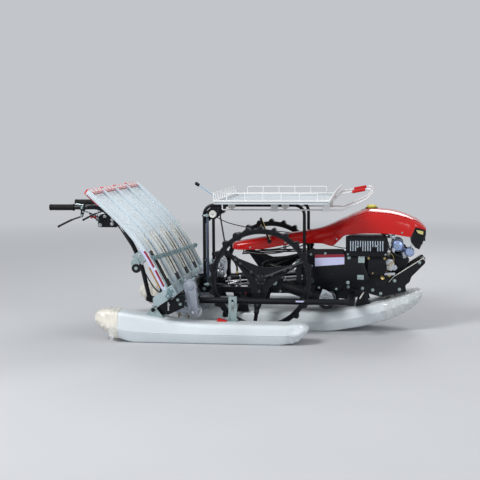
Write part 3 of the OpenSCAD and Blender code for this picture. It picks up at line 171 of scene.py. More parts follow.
class MeshKit:
    """Collects the surfaces of one piece and turns them into a Blender object."""

    # A bolt's washer and head as shares of its width across flats.
    WASHER_HIGH, WASHER_RADIUS, HEAD_HIGH = 0.12, 0.85, 0.6
    # Shares of a head's height and radius where its top is cut back.
    CUT_FROM, CUT_TO = 0.8, 0.82

    def __init__(self) -> None:
        """Starts an empty piece."""
        self.bm = bmesh.new()

    def rings(self, rings: Sequence[Sequence[Point]], caps: bool = True, loop: bool = False) -> None:
        """Skins rings that have the same number of points.

        Args:
            rings: The rings in order.
            caps: Whether the first and last ring are closed by a face.
            loop: Whether the last ring joins the first.
        """
        made = [[self.bm.verts.new(p) for p in ring] for ring in rings]
        pairs = list(zip(made, made[1:])) + ([(made[-1], made[0])] if loop else [])
        for low, high in pairs:
            count = len(low)
            for i in range(count):
                j = (i + 1) % count
                self.bm.faces.new((low[i], low[j], high[j], high[i]))
        if caps and not loop:
            self.bm.faces.new(list(reversed(made[0])))
            self.bm.faces.new(made[-1])

    def grid(self, rows: Sequence[Sequence[Point]]) -> None:
        """Skins an open sheet given by rows of points.

        Args:
            rows: Rows with the same number of points.
        """
        made = [[self.bm.verts.new(p) for p in row] for row in rows]
        for low, high in zip(made, made[1:]):
            for i in range(len(low) - 1):
                self.bm.faces.new((low[i], low[i + 1], high[i + 1], high[i]))

    def rod(self, a: Point, b: Point, radius: float, radius_b: float | None = None, sides: int = 20) -> None:
        """Adds a round bar or cone between two points.

        Args:
            a: First end.
            b: Last end.
            radius: Radius at the first end.
            radius_b: Radius at the last end, the same if left out.
            sides: Number of sides.
        """
        pa, pb = Vector(a), Vector(b)
        u, v = across_to(pb - pa)
        ends = ((pa, radius), (pb, radius if radius_b is None else radius_b))
        self.rings([[p + spoke(u, v, t) * r for t in turns(sides)] for p, r in ends])

    def lathe(self, origin: Point, axis: Point, profile: Sequence[tuple[float, float]], sides: int = 32) -> None:
        """Adds a turned shape.

        Args:
            origin: Point on the axis where the profile's distances start.
            axis: Direction of the axis.
            profile: Pairs of distance along the axis and radius.
            sides: Number of sides.
        """
        o, d = Vector(origin), unit(axis)
        u, v = across_to(d)
        self.rings(
            [[o + d * h + spoke(u, v, t) * max(r, 1e-5) for t in turns(sides)] for h, r in profile]
        )

    def collar(self, origin: Point, axis: Point, section: Sequence[tuple[float, float]], sides: int = 48) -> None:
        """Adds a ring whose closed section is turned round an axis.

        Args:
            origin: Point on the axis.
            axis: Direction of the axis.
            section: Closed section as pairs of distance along the axis and radius.
            sides: Number of sides.
        """
        o, d = Vector(origin), unit(axis)
        u, v = across_to(d)
        self.rings([[o + d * h + spoke(u, v, t) * r for h, r in section] for t in turns(sides)], loop=True)

    def solid(self, origin: Point, axis: Point, profile: Sequence[tuple[float, float]], sides: int = 32) -> None:
        """Adds a turned shape whose profile is closed by flat ends."""
        self.lathe(origin, axis, ((profile[0][0], 0.0), *profile, (profile[-1][0], 0.0)), sides)

    def band(
        self,
        origin: Point,
        axis: Point,
        span: tuple[float, float],
        radii: tuple[float, float],
        sides: int = 48,
        chamfer: float = 0.0,
    ) -> None:
        """Adds a ring with a rectangular section.

        Args:
            origin: Point on the axis.
            axis: Direction of the axis.
            span: Where it starts and ends along the axis.
            radii: Radius of its first and of its second face.
            sides: Number of sides.
            chamfer: How far the ends of the second face are cut back.
        """
        (low, high), (near, far) = span, radii
        self.collar(origin, axis, [(low, near), (high, near), (high - chamfer, far), (low + chamfer, far)], sides)

    def tube(
        self, path: Sequence[Point], radius: float, sides: int = 12, flat: float = 1.0, hint: Point = LEFT
    ) -> None:
        """Adds a round bar along a path.

        Args:
            path: Points of its centreline.
            radius: Radius of the bar.
            sides: Number of sides.
            flat: Share of the radius across the second axis, for an oval or flat bar.
            hint: Direction that the first section's axes are set by.
        """
        pts = [Vector(p) for p in path]
        ways = [(pts[min(i + 1, len(pts) - 1)] - pts[max(i - 1, 0)]).normalized() for i in range(len(pts))]
        u, _ = across_to(ways[0], hint)
        out = []
        for p, d in zip(pts, ways):
            u = (u - d * u.dot(d)).normalized()
            v = d.cross(u)
            out.append([p + u * (math.cos(t) * radius) + v * (math.sin(t) * radius * flat) for t in turns(sides)])
        self.rings(out)

    def pipe(self, path: Sequence[Point], bend: float, radius: float, sides: int = 12, steps: int = 6) -> None:
        """Adds a round bar along a path whose corners are rounded.

        Args:
            path: Corners of its centreline.
            bend: Length of path used up on either side of a corner.
            radius: Radius of the bar.
            sides: Number of sides.
            steps: Points on each rounded corner.
        """
        self.tube(rounded(path, bend, steps), radius, sides)

    def slab(self, outline: Sequence[Point], thickness: Point) -> None:
        """Adds a plate.

        Args:
            outline: Points of one face in order.
            thickness: Vector from that face to the other.
        """
        t = Vector(thickness)
        self.rings([[Vector(p) for p in outline], [Vector(p) + t for p in outline]])

    def side_slab(self, outline: Sequence[tuple[float, float]], y: float, thickness: float) -> None:
        """Adds a plate in the X-Z plane.

        Args:
            outline: Pairs of x and z.
            y: Place of its right face.
            thickness: Its thickness towards the left.
        """
        self.slab([(x, y, z) for x, z in outline], (0, thickness, 0))

    def block(self, low: Point, high: Point) -> None:
        """Adds a box between two corners."""
        (a, b, c), (d, e, f) = low, high
        self.slab([(a, b, c), (d, b, c), (d, e, c), (a, e, c)], (0, 0, f - c))

    def ball(self, center: Point, radius: float, sides: int = 20, squeeze: float = 1.0, axis: Point = UP) -> None:
        """Adds a ball, or a rounded button where it is squeezed along its axis.

        Args:
            center: Its middle.
            radius: Its radius.
            sides: Number of sides.
            squeeze: Share of the radius along the axis.
            axis: The axis.
        """
        steps = max(6, sides // 2)
        profile = [
            (-math.cos(math.pi * k / steps) * radius * squeeze, math.sin(math.pi * k / steps) * radius)
            for k in range(steps + 1)
        ]
        self.lathe(center, axis, profile, sides)

    def bolt(self, place: Point, axis: Point, across: float, height: float | None = None, washer: bool = True) -> None:
        """Adds a hexagon head on a washer.

        Args:
            place: Point on the surface below the washer.
            axis: Direction in which the head stands out.
            across: Width of the head.
            height: Height of the head, six tenths of its width if left out.
            washer: Whether there is a washer.
        """
        p, d = Vector(place), unit(axis)
        r, h = across / math.sqrt(3), height or across * self.HEAD_HIGH
        base = self.WASHER_HIGH * across if washer else 0.0
        if washer:
            self.rod(p - d * 0.001, p + d * base, across * self.WASHER_RADIUS, sides=20)
        u, v = across_to(d)
        profile = ((base - 0.0005, r), (base + h * self.CUT_FROM, r), (base + h, r * self.CUT_TO))
        self.rings([[p + d * k + spoke(u, v, t) * q for t in turns(6)] for k, q in profile])

    def bolts(self, places: Iterable[Point], axis: Point, across: float) -> None:
        """Adds hexagon heads at several places."""
        for place in places:
            self.bolt(place, axis, across)

    def spring(self, a: Point, b: Point, radius: float, wire: float, coils: int) -> None:
        """Adds a coil spring between two points."""
        pa, pb = Vector(a), Vector(b)
        u, v = across_to(pb - pa)
        steps = coils * 12
        path = [
            pa.lerp(pb, k / steps) + spoke(u, v, k * math.pi / 6) * radius
            for k in range(steps + 1)
        ]
        self.tube(path, wire, 6)

    def both_sides(self) -> "MeshKit":
        made = bmesh.ops.duplicate(self.bm, geom=self.bm.verts[:] + self.bm.edges[:] + self.bm.faces[:])["geom"]
        verts = [g for g in made if isinstance(g, bmesh.types.BMVert)]
        faces = [g for g in made if isinstance(g, bmesh.types.BMFace)]
        for v in verts:
            v.co.y = -v.co.y
        bmesh.ops.reverse_faces(self.bm, faces=faces)
        return self

    def moved(self, matrix: Matrix) -> "MeshKit":
        bmesh.ops.transform(self.bm, matrix=matrix, verts=self.bm.verts[:])
        return self

    def build(
        self,
        name: str,
        finish: "Finish",
        body: Body = Body.CHASSIS,
        replaces: Sequence[str] = (),
        bevel: float = 0.0,
        smooth: float = 35.0,
        slot: str = "",
    ) -> bpy.types.Object:
        """Args:
            name: Name of the piece.
            finish: Its finish.
            body: Body that it rides on.
            replaces: CAD nodes that it stands for.
            bevel: Width by which sharp edges are rounded.
            smooth: Angle in degrees from which an edge is sharp.
            slot: Not used.

        Returns:
            The new object.
        """
        bm = self.bm
        bmesh.ops.recalc_face_normals(bm, faces=bm.faces[:])
        if bevel > 0:
            sharp = [e for e in bm.edges if len(e.link_faces) == 2 and e.calc_face_angle(0) > math.radians(smooth)]
            shape = {"offset_type": "OFFSET", "segments": 2, "profile": 0.6, "affect": "EDGES"}
            bmesh.ops.bevel(bm, geom=sharp, offset=bevel, clamp_overlap=True, **shape)
        for face in bm.faces:
            face.smooth = True
        for edge in bm.edges:
            edge.smooth = not (len(edge.link_faces) == 2 and edge.calc_face_angle(0) > math.radians(smooth))
        mesh = bpy.data.meshes.new(name)
        bm.to_mesh(mesh)
        bm.free()
        obj = bpy.data.objects.new(name, mesh)
        bpy.context.scene.collection.objects.link(obj)
        obj.data.materials.append(finish.material())
        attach(obj, body.value)
        if replaces:
            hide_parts(*replaces)
        LOG.info("%s: %d faces on %s", name, len(obj.data.polygons), body.value)
        return obj


def kits(count: int) -> list[MeshKit]:
    """Starts several empty pieces."""
    return [MeshKit() for _ in range(count)]


def turns(count: int) -> list[float]:
    """Angles that share a full turn among a number of sides."""
    return [2 * math.pi * k / count for k in range(count)]


# Finishes.


class NodeBook:
    """Writes nodes into a shader tree or a node group."""

    def __init__(self, tree: bpy.types.NodeTree) -> None:
        """Keeps the tree and clears it."""
        self.tree = tree
        tree.nodes.clear()

    def add(self, kind: str, inputs: dict[str | int, object] | None = None, **settings: object) -> bpy.types.Node:
        """Adds one node.

        Args:
            kind: Its type without the leading "ShaderNode".
            inputs: Values or output sockets for its inputs.
            **settings: Its own properties.

        Returns:
            The node.
        """
        node = self.tree.nodes.new(kind if kind.startswith("Node") else "ShaderNode" + kind)
        for key, value in settings.items():
            setattr(node, key, value)
        for key, value in (inputs or {}).items():
            if isinstance(value, bpy.types.NodeSocket):
                self.tree.links.new(value, node.inputs[key])
            else:
                node.inputs[key].default_value = value
        return node

    def math(self, operation: str, a: object, b: object = 0.0, clamp: bool = False) -> bpy.types.NodeSocket:
        """Adds a Math node and returns its result."""
        return self.add("Math", {0: a, 1: b}, operation=operation, use_clamp=clamp).outputs[0]

    def mix(self, factor: object, a: object, b: object) -> bpy.types.NodeSocket:
        """Mixes two colours and returns the result."""
        node = self.add("Mix", {0: factor, 6: a, 7: b}, data_type="RGBA")
        return node.outputs[2]

    def spread(self, value: object, low: float, high: float) -> bpy.types.NodeSocket:
        """Maps a value from low..high to 0..1, clamped, and returns it."""
        node = self.add("MapRange", {0: value, 1: low, 2: high, 3: 0.0, 4: 1.0}, clamp=True)
        return node.outputs[0]

    def seen(self) -> bpy.types.NodeSocket:
        """1 for the camera's rays and the ones that mirror or pass through, and 0 for those that only light."""
        path = self.add("LightPath")
        seen = self.math("MAXIMUM", path.outputs["Is Camera Ray"], path.outputs["Is Glossy Ray"])
        return self.math("MAXIMUM", seen, path.outputs["Is Transmission Ray"])

    def noise(
        self, scale: object, detail: float = 3.0, rough: float = 0.5, stretch: Point = (1, 1, 1)
    ) -> bpy.types.NodeSocket:
        """Adds noise over the piece's own metres and returns its value.

        Args:
            scale: Scale of the noise per metre.
            detail: Number of octaves.
            rough: Strength of the finer octaves.
            stretch: Scale along each axis.

        Returns:
            The noise value.
        """
        where = self.add("TexCoord").outputs["Object"]
        placed = self.add("Mapping", {0: where, 3: stretch}).outputs[0]
        return self.add("TexNoise", {"Vector": placed, "Scale": scale, "Detail": detail, "Roughness": rough}).outputs[0]


def shader_group(
    name: str, inputs: dict[str, object], outputs: dict[str, str]
) -> tuple[NodeBook, bpy.types.Node, bpy.types.Node]:
    """Starts a shader node group.

    Args:
        name: Its name.
        inputs: Default value of each input; a number or a colour.
        outputs: Socket type of each output.

    Returns:
        The book that writes into it, its input node and its output node.
    """
    tree = bpy.data.node_groups.new(name, "ShaderNodeTree")
    book = NodeBook(tree)
    for key, value in inputs.items():
        kind = "NodeSocketColor" if isinstance(value, tuple) else "NodeSocketFloat"
        tree.interface.new_socket(key, in_out="INPUT", socket_type=kind).default_value = value
    for key, kind in outputs.items():
        tree.interface.new_socket(key, in_out="OUTPUT", socket_type=kind)
    return book, tree.nodes.new("NodeGroupInput"), tree.nodes.new("NodeGroupOutput")


class Effects:
    """Shader node groups that several finishes share, each built once."""

    _made: dict[str, bpy.types.NodeTree] = {}

    @classmethod
    def get(cls, name: str) -> bpy.types.NodeTree:
        """Returns the group of that name and builds it at its first use."""
        if name not in cls._made:
            cls._made[name] = getattr(cls, "_" + name)()
        return cls._made[name]

    @staticmethod
    def _tint() -> bpy.types.NodeTree:
        """Slow change of colour over a moulding or a sheet."""
        book, start, end = shader_group(
            "slow tint", {"Base": (0.5, 0.5, 0.5, 1), "Amount": 0.2, "Scale": 6.0}, {"Color": "NodeSocketColor"}
        )
        wave = book.noise(start.outputs["Scale"], 4.0, 0.55)
        share = book.math("MULTIPLY", book.spread(wave, 0.35, 0.7), start.outputs["Amount"])
        darker = book.mix(1.0, start.outputs["Base"], (0.0, 0.0, 0.0, 1))
        shaded = book.mix(0.45, start.outputs["Base"], darker)
        book.tree.links.new(book.mix(share, start.outputs["Base"], shaded), end.inputs["Color"])
        return book.tree

    @staticmethod
    def _wear() -> bpy.types.NodeTree:
        """Edges where the colour is rubbed thin."""
        book, start, end = shader_group(
            "edge wear",
            {"Base": (0.5, 0.5, 0.5, 1), "Bare": (0.4, 0.4, 0.4, 1), "Amount": 0.3},
            {"Color": "NodeSocketColor", "Mask": "NodeSocketFloat"},
        )
        plain = book.add("NewGeometry").outputs["Normal"]
        soft = book.add("Bevel", {"Radius": 0.0025}, samples=4).outputs[0]
        turn = book.add("VectorMath", {0: plain, 1: soft}, operation="DOT_PRODUCT").outputs["Value"]
        edge = book.spread(turn, 0.985, 0.9)
        broken = book.spread(book.noise(90.0, 4.0, 0.7), 0.42, 0.62)
        mask = book.math("MULTIPLY", book.math("MULTIPLY", edge, broken), start.outputs["Amount"], True)
        book.tree.links.new(book.mix(mask, start.outputs["Base"], start.outputs["Bare"]), end.inputs["Color"])
        book.tree.links.new(mask, end.inputs["Mask"])
        return book.tree

    @staticmethod
    def _dust() -> bpy.types.NodeTree:
        """Thin dust on faces that look up, thicker in patches."""
        book, start, end = shader_group(
            "road dust",
            {"Base": (0.5, 0.5, 0.5, 1), "Dust": (0.42, 0.38, 0.32, 1), "Amount": 0.2},
            {"Color": "NodeSocketColor", "Mask": "NodeSocketFloat"},
        )
        normal = book.add("NewGeometry").outputs["Normal"]
        up = book.spread(book.add("SeparateXYZ", {0: normal}).outputs[2], 0.0, 0.9)
        patch = book.spread(book.noise(14.0, 6.0, 0.65), 0.35, 0.75)
        fine = book.math("ADD", book.math("MULTIPLY", book.noise(260.0, 2.0), 0.5), 0.5)
        mask = book.math(
            "MULTIPLY", book.math("MULTIPLY", book.math("MULTIPLY", up, patch), fine), start.outputs["Amount"], True
        )
        book.tree.links.new(book.mix(mask, start.outputs["Base"], start.outputs["Dust"]), end.inputs["Color"])
        book.tree.links.new(mask, end.inputs["Mask"])
        return book.tree

    @staticmethod
    def _relief() -> bpy.types.NodeTree:
        """Fine relief: grain of a moulding, orange peel of paint, or skin of a casting."""
        book, start, end = shader_group(
            "fine relief", {"Scale": 300.0, "Coarse": 0.3}, {"Height": "NodeSocketFloat"}
        )
        fine = book.noise(start.outputs["Scale"], 2.0, 0.5)
        coarse = book.noise(book.math("MULTIPLY", start.outputs["Scale"], 0.12), 3.0, 0.6)
        weighted = book.math("MULTIPLY", coarse, start.outputs["Coarse"])
        book.tree.links.new(book.math("ADD", fine, weighted), end.inputs["Height"])
        return book.tree

    @staticmethod
    def _streaks() -> bpy.types.NodeTree:
        """Fine drawn lines along the machine, as on rolled and brushed steel."""
        book, start, end = shader_group("drawn streaks", {"Amount": 0.2}, {"Value": "NodeSocketFloat"})
        lines = book.noise(60.0, 5.0, 0.7, (0.3, 6.0, 6.0))
        book.tree.links.new(book.math("MULTIPLY", lines, start.outputs["Amount"]), end.inputs["Value"])
        return book.tree


@dataclass(frozen=True)
class Finish:
    """One surface finish, with its colour in linear light."""

    name: str
    slot: str
    color: tuple[float, float, float]
    rough: float = 0.5
    metal: float = 0.0
    relief_scale: float = 400.0
    relief: float = 0.15
    coarse: float = 0.3
    tint: float = 0.25
    tint_scale: float = 6.0
    wear: float = 0.0
    bare: tuple[float, float, float] = (0.35, 0.35, 0.36)
    dust: float = 0.15
    streaks: float = 0.0
    coat: float = 0.0
    coat_rough: float = 0.12
    rounding: float = 0.0006
    wrinkles: float = 0.0
    alpha: float = 1.0
    specular: float = 0.5

    def material(self) -> bpy.types.Material:
        """Returns the material and builds it at its first use."""
        found = bpy.data.materials.get(self.name)
        return found or self._build()

    def _build(self) -> bpy.types.Material:
        """Builds the material's nodes."""
        material = bpy.data.materials.new(self.name)
        material.use_nodes = True
        book = NodeBook(material.node_tree)
        base = (*self.color, 1.0)
        tint = book.add("Group", node_tree=Effects.get("tint"))
        for key, value in (("Base", base), ("Amount", self.tint), ("Scale", self.tint_scale)):
            tint.inputs[key].default_value = value
        color, rough = tint.outputs["Color"], None
        if self.wear:
            worn = book.add("Group", node_tree=Effects.get("wear"))
            book.tree.links.new(color, worn.inputs["Base"])
            worn.inputs["Bare"].default_value = (*self.bare, 1.0)
            worn.inputs["Amount"].default_value = self.wear
            color = worn.outputs["Color"]
        rough = book.math("ADD", book.math("MULTIPLY", book.noise(25.0, 4.0, 0.6), 0.16), self.rough - 0.08)
        if self.streaks:
            lines = book.add("Group", node_tree=Effects.get("streaks"))
            lines.inputs["Amount"].default_value = self.streaks
            rough = book.math("ADD", rough, lines.outputs["Value"])
        if self.dust:
            dusty = book.add("Group", node_tree=Effects.get("dust"))
            book.tree.links.new(color, dusty.inputs["Base"])
            dusty.inputs["Amount"].default_value = self.dust
            color = dusty.outputs["Color"]
            rough = book.math("ADD", rough, book.math("MULTIPLY", dusty.outputs["Mask"], 0.5), True)
        relief = book.add("Group", node_tree=Effects.get("relief"))
        relief.inputs["Scale"].default_value = self.relief_scale
        relief.inputs["Coarse"].default_value = self.coarse
        height = relief.outputs["Height"]
        if self.wrinkles:
            folds = book.noise(9.0, 8.0, 0.55)
            crease = book.math("ABSOLUTE", book.math("SUBTRACT", folds, 0.5))
            height = book.math("ADD", height, book.math("MULTIPLY", crease, self.wrinkles))
        bump_inputs: dict[str | int, object] = {"Height": height, "Strength": self.relief, "Distance": 0.001}
        if self.rounding:
            bump_inputs["Normal"] = book.add("Bevel", {"Radius": self.rounding}, samples=4).outputs[0]
        bump = book.add("Bump", bump_inputs)
        shader = book.add(
            "BsdfPrincipled",
            {
                "Base Color": color,
                "Roughness": rough,
                "Metallic": self.metal,
                "Alpha": self.alpha,
                "Specular IOR Level": self.specular,
                "Coat Weight": self.coat,
                "Coat Roughness": self.coat_rough,
                "Normal": bump.outputs[0],
            },
        )
        out = book.add("OutputMaterial", {"Surface": shader.outputs[0]})
        out.is_active_output = True
        return material


FLOAT_PLASTIC = Finish(
    "float plastic", "float_plastic", (0.66, 0.72, 0.75), 0.42, relief_scale=260, relief=0.1, tint=0.3, tint_scale=3.0,
    dust=0.35
)
TRAY_PLASTIC = Finish(
    "tray plastic", "tray_plastic", (0.6, 0.68, 0.73), 0.36, relief_scale=500, relief=0.06, tint=0.2, tint_scale=4.0,
    dust=0.12
)
RED_PLASTIC = Finish(
    "red plastic", "red_plastic", (0.52, 0.004, 0.003), 0.24, relief_scale=500, relief=0.03, tint=0.12, coat=0.5,
    coat_rough=0.07, dust=0.02, specular=0.25
)
CAP_PLASTIC = Finish(
    "cap red", "red_plastic", (0.66, 0.01, 0.01), 0.35, relief_scale=500, relief=0.05, tint=0.1, dust=0.06
)
BLACK_PAINT = Finish(
    "black paint", "black_paint", (0.005, 0.006, 0.009), 0.34, relief_scale=350, relief=0.12, tint=0.2, wear=0.3,
    dust=0.02, coat=0.05, specular=0.22
)
BLACK_CAST = Finish(
    "black casting", "black_cast", (0.006, 0.007, 0.009), 0.48, relief_scale=420, relief=0.4, coarse=0.8, wear=0.3,
    dust=0.03, specular=0.22
)
BLACK_PLASTIC = Finish(
    "black plastic", "black_plastic", (0.005, 0.006, 0.009), 0.4, relief_scale=900, relief=0.25, tint=0.15, dust=0.02,
    specular=0.22
)
GREY_CAST = Finish(
    "grey casting", "grey_cast", (0.36, 0.39, 0.43), 0.42, 0.75, relief_scale=420, relief=0.5, coarse=0.9, tint=0.35,
    tint_scale=14, dust=0.12
)
BRIGHT_CAST = Finish(
    "bright casting", "grey_cast", (0.62, 0.65, 0.7), 0.28, 0.9, relief_scale=300, relief=0.35, coarse=1.0, tint=0.4,
    tint_scale=22, dust=0.05
)
ZINC = Finish(
    "plated steel", "zinc", (0.42, 0.52, 0.53), 0.34, 0.8, relief_scale=300, relief=0.1, tint=0.35, tint_scale=18,
    streaks=0.14, dust=0.1
)
BRIGHT_STEEL = Finish(
    "bright steel", "bright_steel", (0.62, 0.63, 0.65), 0.26, 0.95, relief_scale=300, relief=0.08, streaks=0.18,
    dust=0.06
)
YELLOW_ZINC = Finish(
    "yellow plating", "yellow_metal", (0.62, 0.47, 0.2), 0.32, 0.85, relief_scale=300, relief=0.08, tint=0.4,
    tint_scale=20, dust=0.08
)
WHITE_PAINT = Finish(
    "white paint", "white_paint", (0.78, 0.79, 0.79), 0.32, relief_scale=400, relief=0.08, tint=0.1, dust=0.12, coat=0.3
)
NYLON = Finish("white nylon", "nylon", (0.74, 0.73, 0.68), 0.38, relief_scale=500, relief=0.06, tint=0.15, dust=0.1)
RUBBER = Finish(
    "black rubber", "black_rubber", (0.007, 0.007, 0.008), 0.64, relief_scale=700, relief=0.35, tint=0.15, dust=0.05,
    specular=0.25
)
BLUE_PAINT = Finish(
    "pale blue paint", "zinc", (0.36, 0.5, 0.62), 0.3, relief_scale=350, relief=0.08, tint=0.15, coat=0.3, dust=0.08
)
CABLE = Finish(
    "cable sheath", "black_rubber", (0.014, 0.014, 0.015), 0.4, relief_scale=800, relief=0.1, tint=0.1, dust=0.1
)
LAMP_GLASS = Finish(
    "lamp lens", "lamp_lens", (0.72, 0.66, 0.26), 0.15, relief_scale=250, relief=0.1, tint=0.2, tint_scale=60, coat=0.8,
    dust=0.03
)
LABEL_PALE = Finish(
    "pale label film", "white_paint", (0.55, 0.56, 0.8), 0.3, relief_scale=600, relief=0.03, tint=0.1, tint_scale=40,
    dust=0.05, coat=0.4
)
LABEL_RED = Finish(
    "dark red label film", "red_plastic", (0.25, 0.004, 0.02), 0.3, relief_scale=600, relief=0.03, tint=0.1, dust=0.05,
    coat=0.4
)
WOOD_BROWN = Finish(
    "brown edge strip", "yellow_metal", (0.36, 0.19, 0.06), 0.5, relief_scale=300, relief=0.2, tint=0.35, tint_scale=20
)
LAVENDER_CAST = Finish(
    "lavender grey casting", "grey_cast", (0.37, 0.4, 0.47), 0.42, 0.45, relief_scale=420, relief=0.35, coarse=0.8,
    tint=0.35, tint_scale=14, wear=0.25, dust=0.1
)
TEAL_STEEL = Finish(
    "teal plated steel", "zinc", (0.16, 0.25, 0.27), 0.4, 0.6, relief_scale=300, relief=0.1, tint=0.35, tint_scale=18,
    streaks=0.14, dust=0.1
)
DARK_STEEL = Finish(
    "dark steel", "bright_steel", (0.1, 0.1, 0.11), 0.36, 0.85, relief_scale=300, relief=0.1, tint=0.3, tint_scale=30,
    dust=0.12
)
# Painted shade: the rack's white paint made darker and bluer for the deck, its ribs and the front board, standing for
# the shade they lie in.
DECK_WHITE_PAINTED_SHADE = Finish(
    "deck white", "white_paint", (0.56, 0.61, 0.64), 0.36, relief_scale=400, relief=0.08, tint=0.15, dust=0.1, coat=0.2
)
CREAM_STEEL = Finish(
    "cream coated steel", "zinc", (0.7, 0.7, 0.64), 0.36, relief_scale=350, relief=0.08, tint=0.3, tint_scale=9,
    dust=0.08, coat=0.2
)
SLATE_STEEL = Finish(
    "slate blue steel", "blue_paint", (0.05, 0.07, 0.12), 0.24, 0.5, relief_scale=300, relief=0.06, tint=0.3,
    tint_scale=12, dust=0.04, coat=0.5
)
CAP_YELLOW = Finish(
    "yellow cap", "yellow_metal", (0.66, 0.6, 0.08), 0.34, 0.2, relief_scale=400, relief=0.08, tint=0.2, tint_scale=30,
    dust=0.05
)
BLUE_ALLOY = Finish(
    "blue anodised alloy", "blue_paint", (0.34, 0.44, 0.72), 0.26, 0.55, relief_scale=300, relief=0.12, tint=0.3,
    tint_scale=24, dust=0.04
)
FILM_CREAM = Finish(
    "milky film", "float_plastic", (0.8, 0.77, 0.68), 0.3, relief_scale=180, relief=0.5, tint=0.4, tint_scale=18,
    dust=0.2, coat=0.4, wrinkles=0.9
)
FILM_CLEAR = Finish(
    "clear film", "float_plastic", (0.78, 0.8, 0.8), 0.2, relief_scale=180, relief=0.6, tint=0.3, tint_scale=18,
    coat=0.6, wrinkles=0.9, alpha=0.45
)
LABEL_ROSE = Finish(
    "rose white label film", "white_paint", (0.78, 0.6, 0.6), 0.3, relief_scale=600, relief=0.03, tint=0.35,
    tint_scale=60, dust=0.05, coat=0.4
)
GATE_SILVER = Finish(
    "silver green plating", "grey_cast", (0.42, 0.52, 0.55), 0.34, 0.45, relief_scale=300, relief=0.15, coarse=0.5,
    tint=0.4, tint_scale=18, streaks=0.14, dust=0.08
)
VANE_SILVER = Finish(
    "pale alloy vanes", "bright_steel", (0.5, 0.58, 0.66), 0.34, 0.2, relief_scale=300, relief=0.08, tint=0.3,
    tint_scale=40, dust=0.03
)
# Painted shade: a dark colour for thin plates that stand in for the shade inside the tray floor's open slots.
SLOT_SHADE_PAINT = Finish(
    "slot shadow plastic", "black_rubber", (0.035, 0.045, 0.052), 0.5, relief_scale=500, relief=0.1, tint=0.2,
    tint_scale=20, dust=0.04, specular=0.3
)


def eased(rows: Sequence[Sequence[float]], x: float) -> list[float]:
    """Values of a table at one place, on a smooth curve that doesn't overshoot its rows.

    Args:
        rows: The rows, each with its place first, in rising order.
        x: The place.

    Returns:
        The other columns at that place.
    """
    places = [row[0] for row in rows]
    i = max(0, min(len(places) - 2, bisect.bisect_right(places, x) - 1))
    span = places[i + 1] - places[i]
    t = min(1.0, max(0.0, (x - places[i]) / span))
    out = []
    for c in range(1, len(rows[0])):
        secants = [(b[c] - a[c]) / (b[0] - a[0]) for a, b in zip(rows, rows[1:])]
        slopes = []
        for k in (i, i + 1):
            if k in (0, len(rows) - 1):
                slopes.append(secants[min(k, len(secants) - 1)])
                continue
            a, b = secants[k - 1], secants[k]
            slopes.append(0.0 if a * b <= 0 else 2 * a * b / (a + b))
        p, q = rows[i][c], rows[i + 1][c]
        out.append(
            (2 * t**3 - 3 * t**2 + 1) * p
            + (t**3 - 2 * t**2 + t) * span * slopes[0]
            + (3 * t**2 - 2 * t**3) * q
            + (t**3 - t**2) * span * slopes[1]
        )
    return out


# Floats.


@dataclass
class FloatShape:
    """Sizes of one float."""

    name: str
    rows: tuple[tuple[float, ...], ...]
    rear: float
    length: float
    width: float
    thickness: float
    middle: float
    film_rear: float
    film_front: float


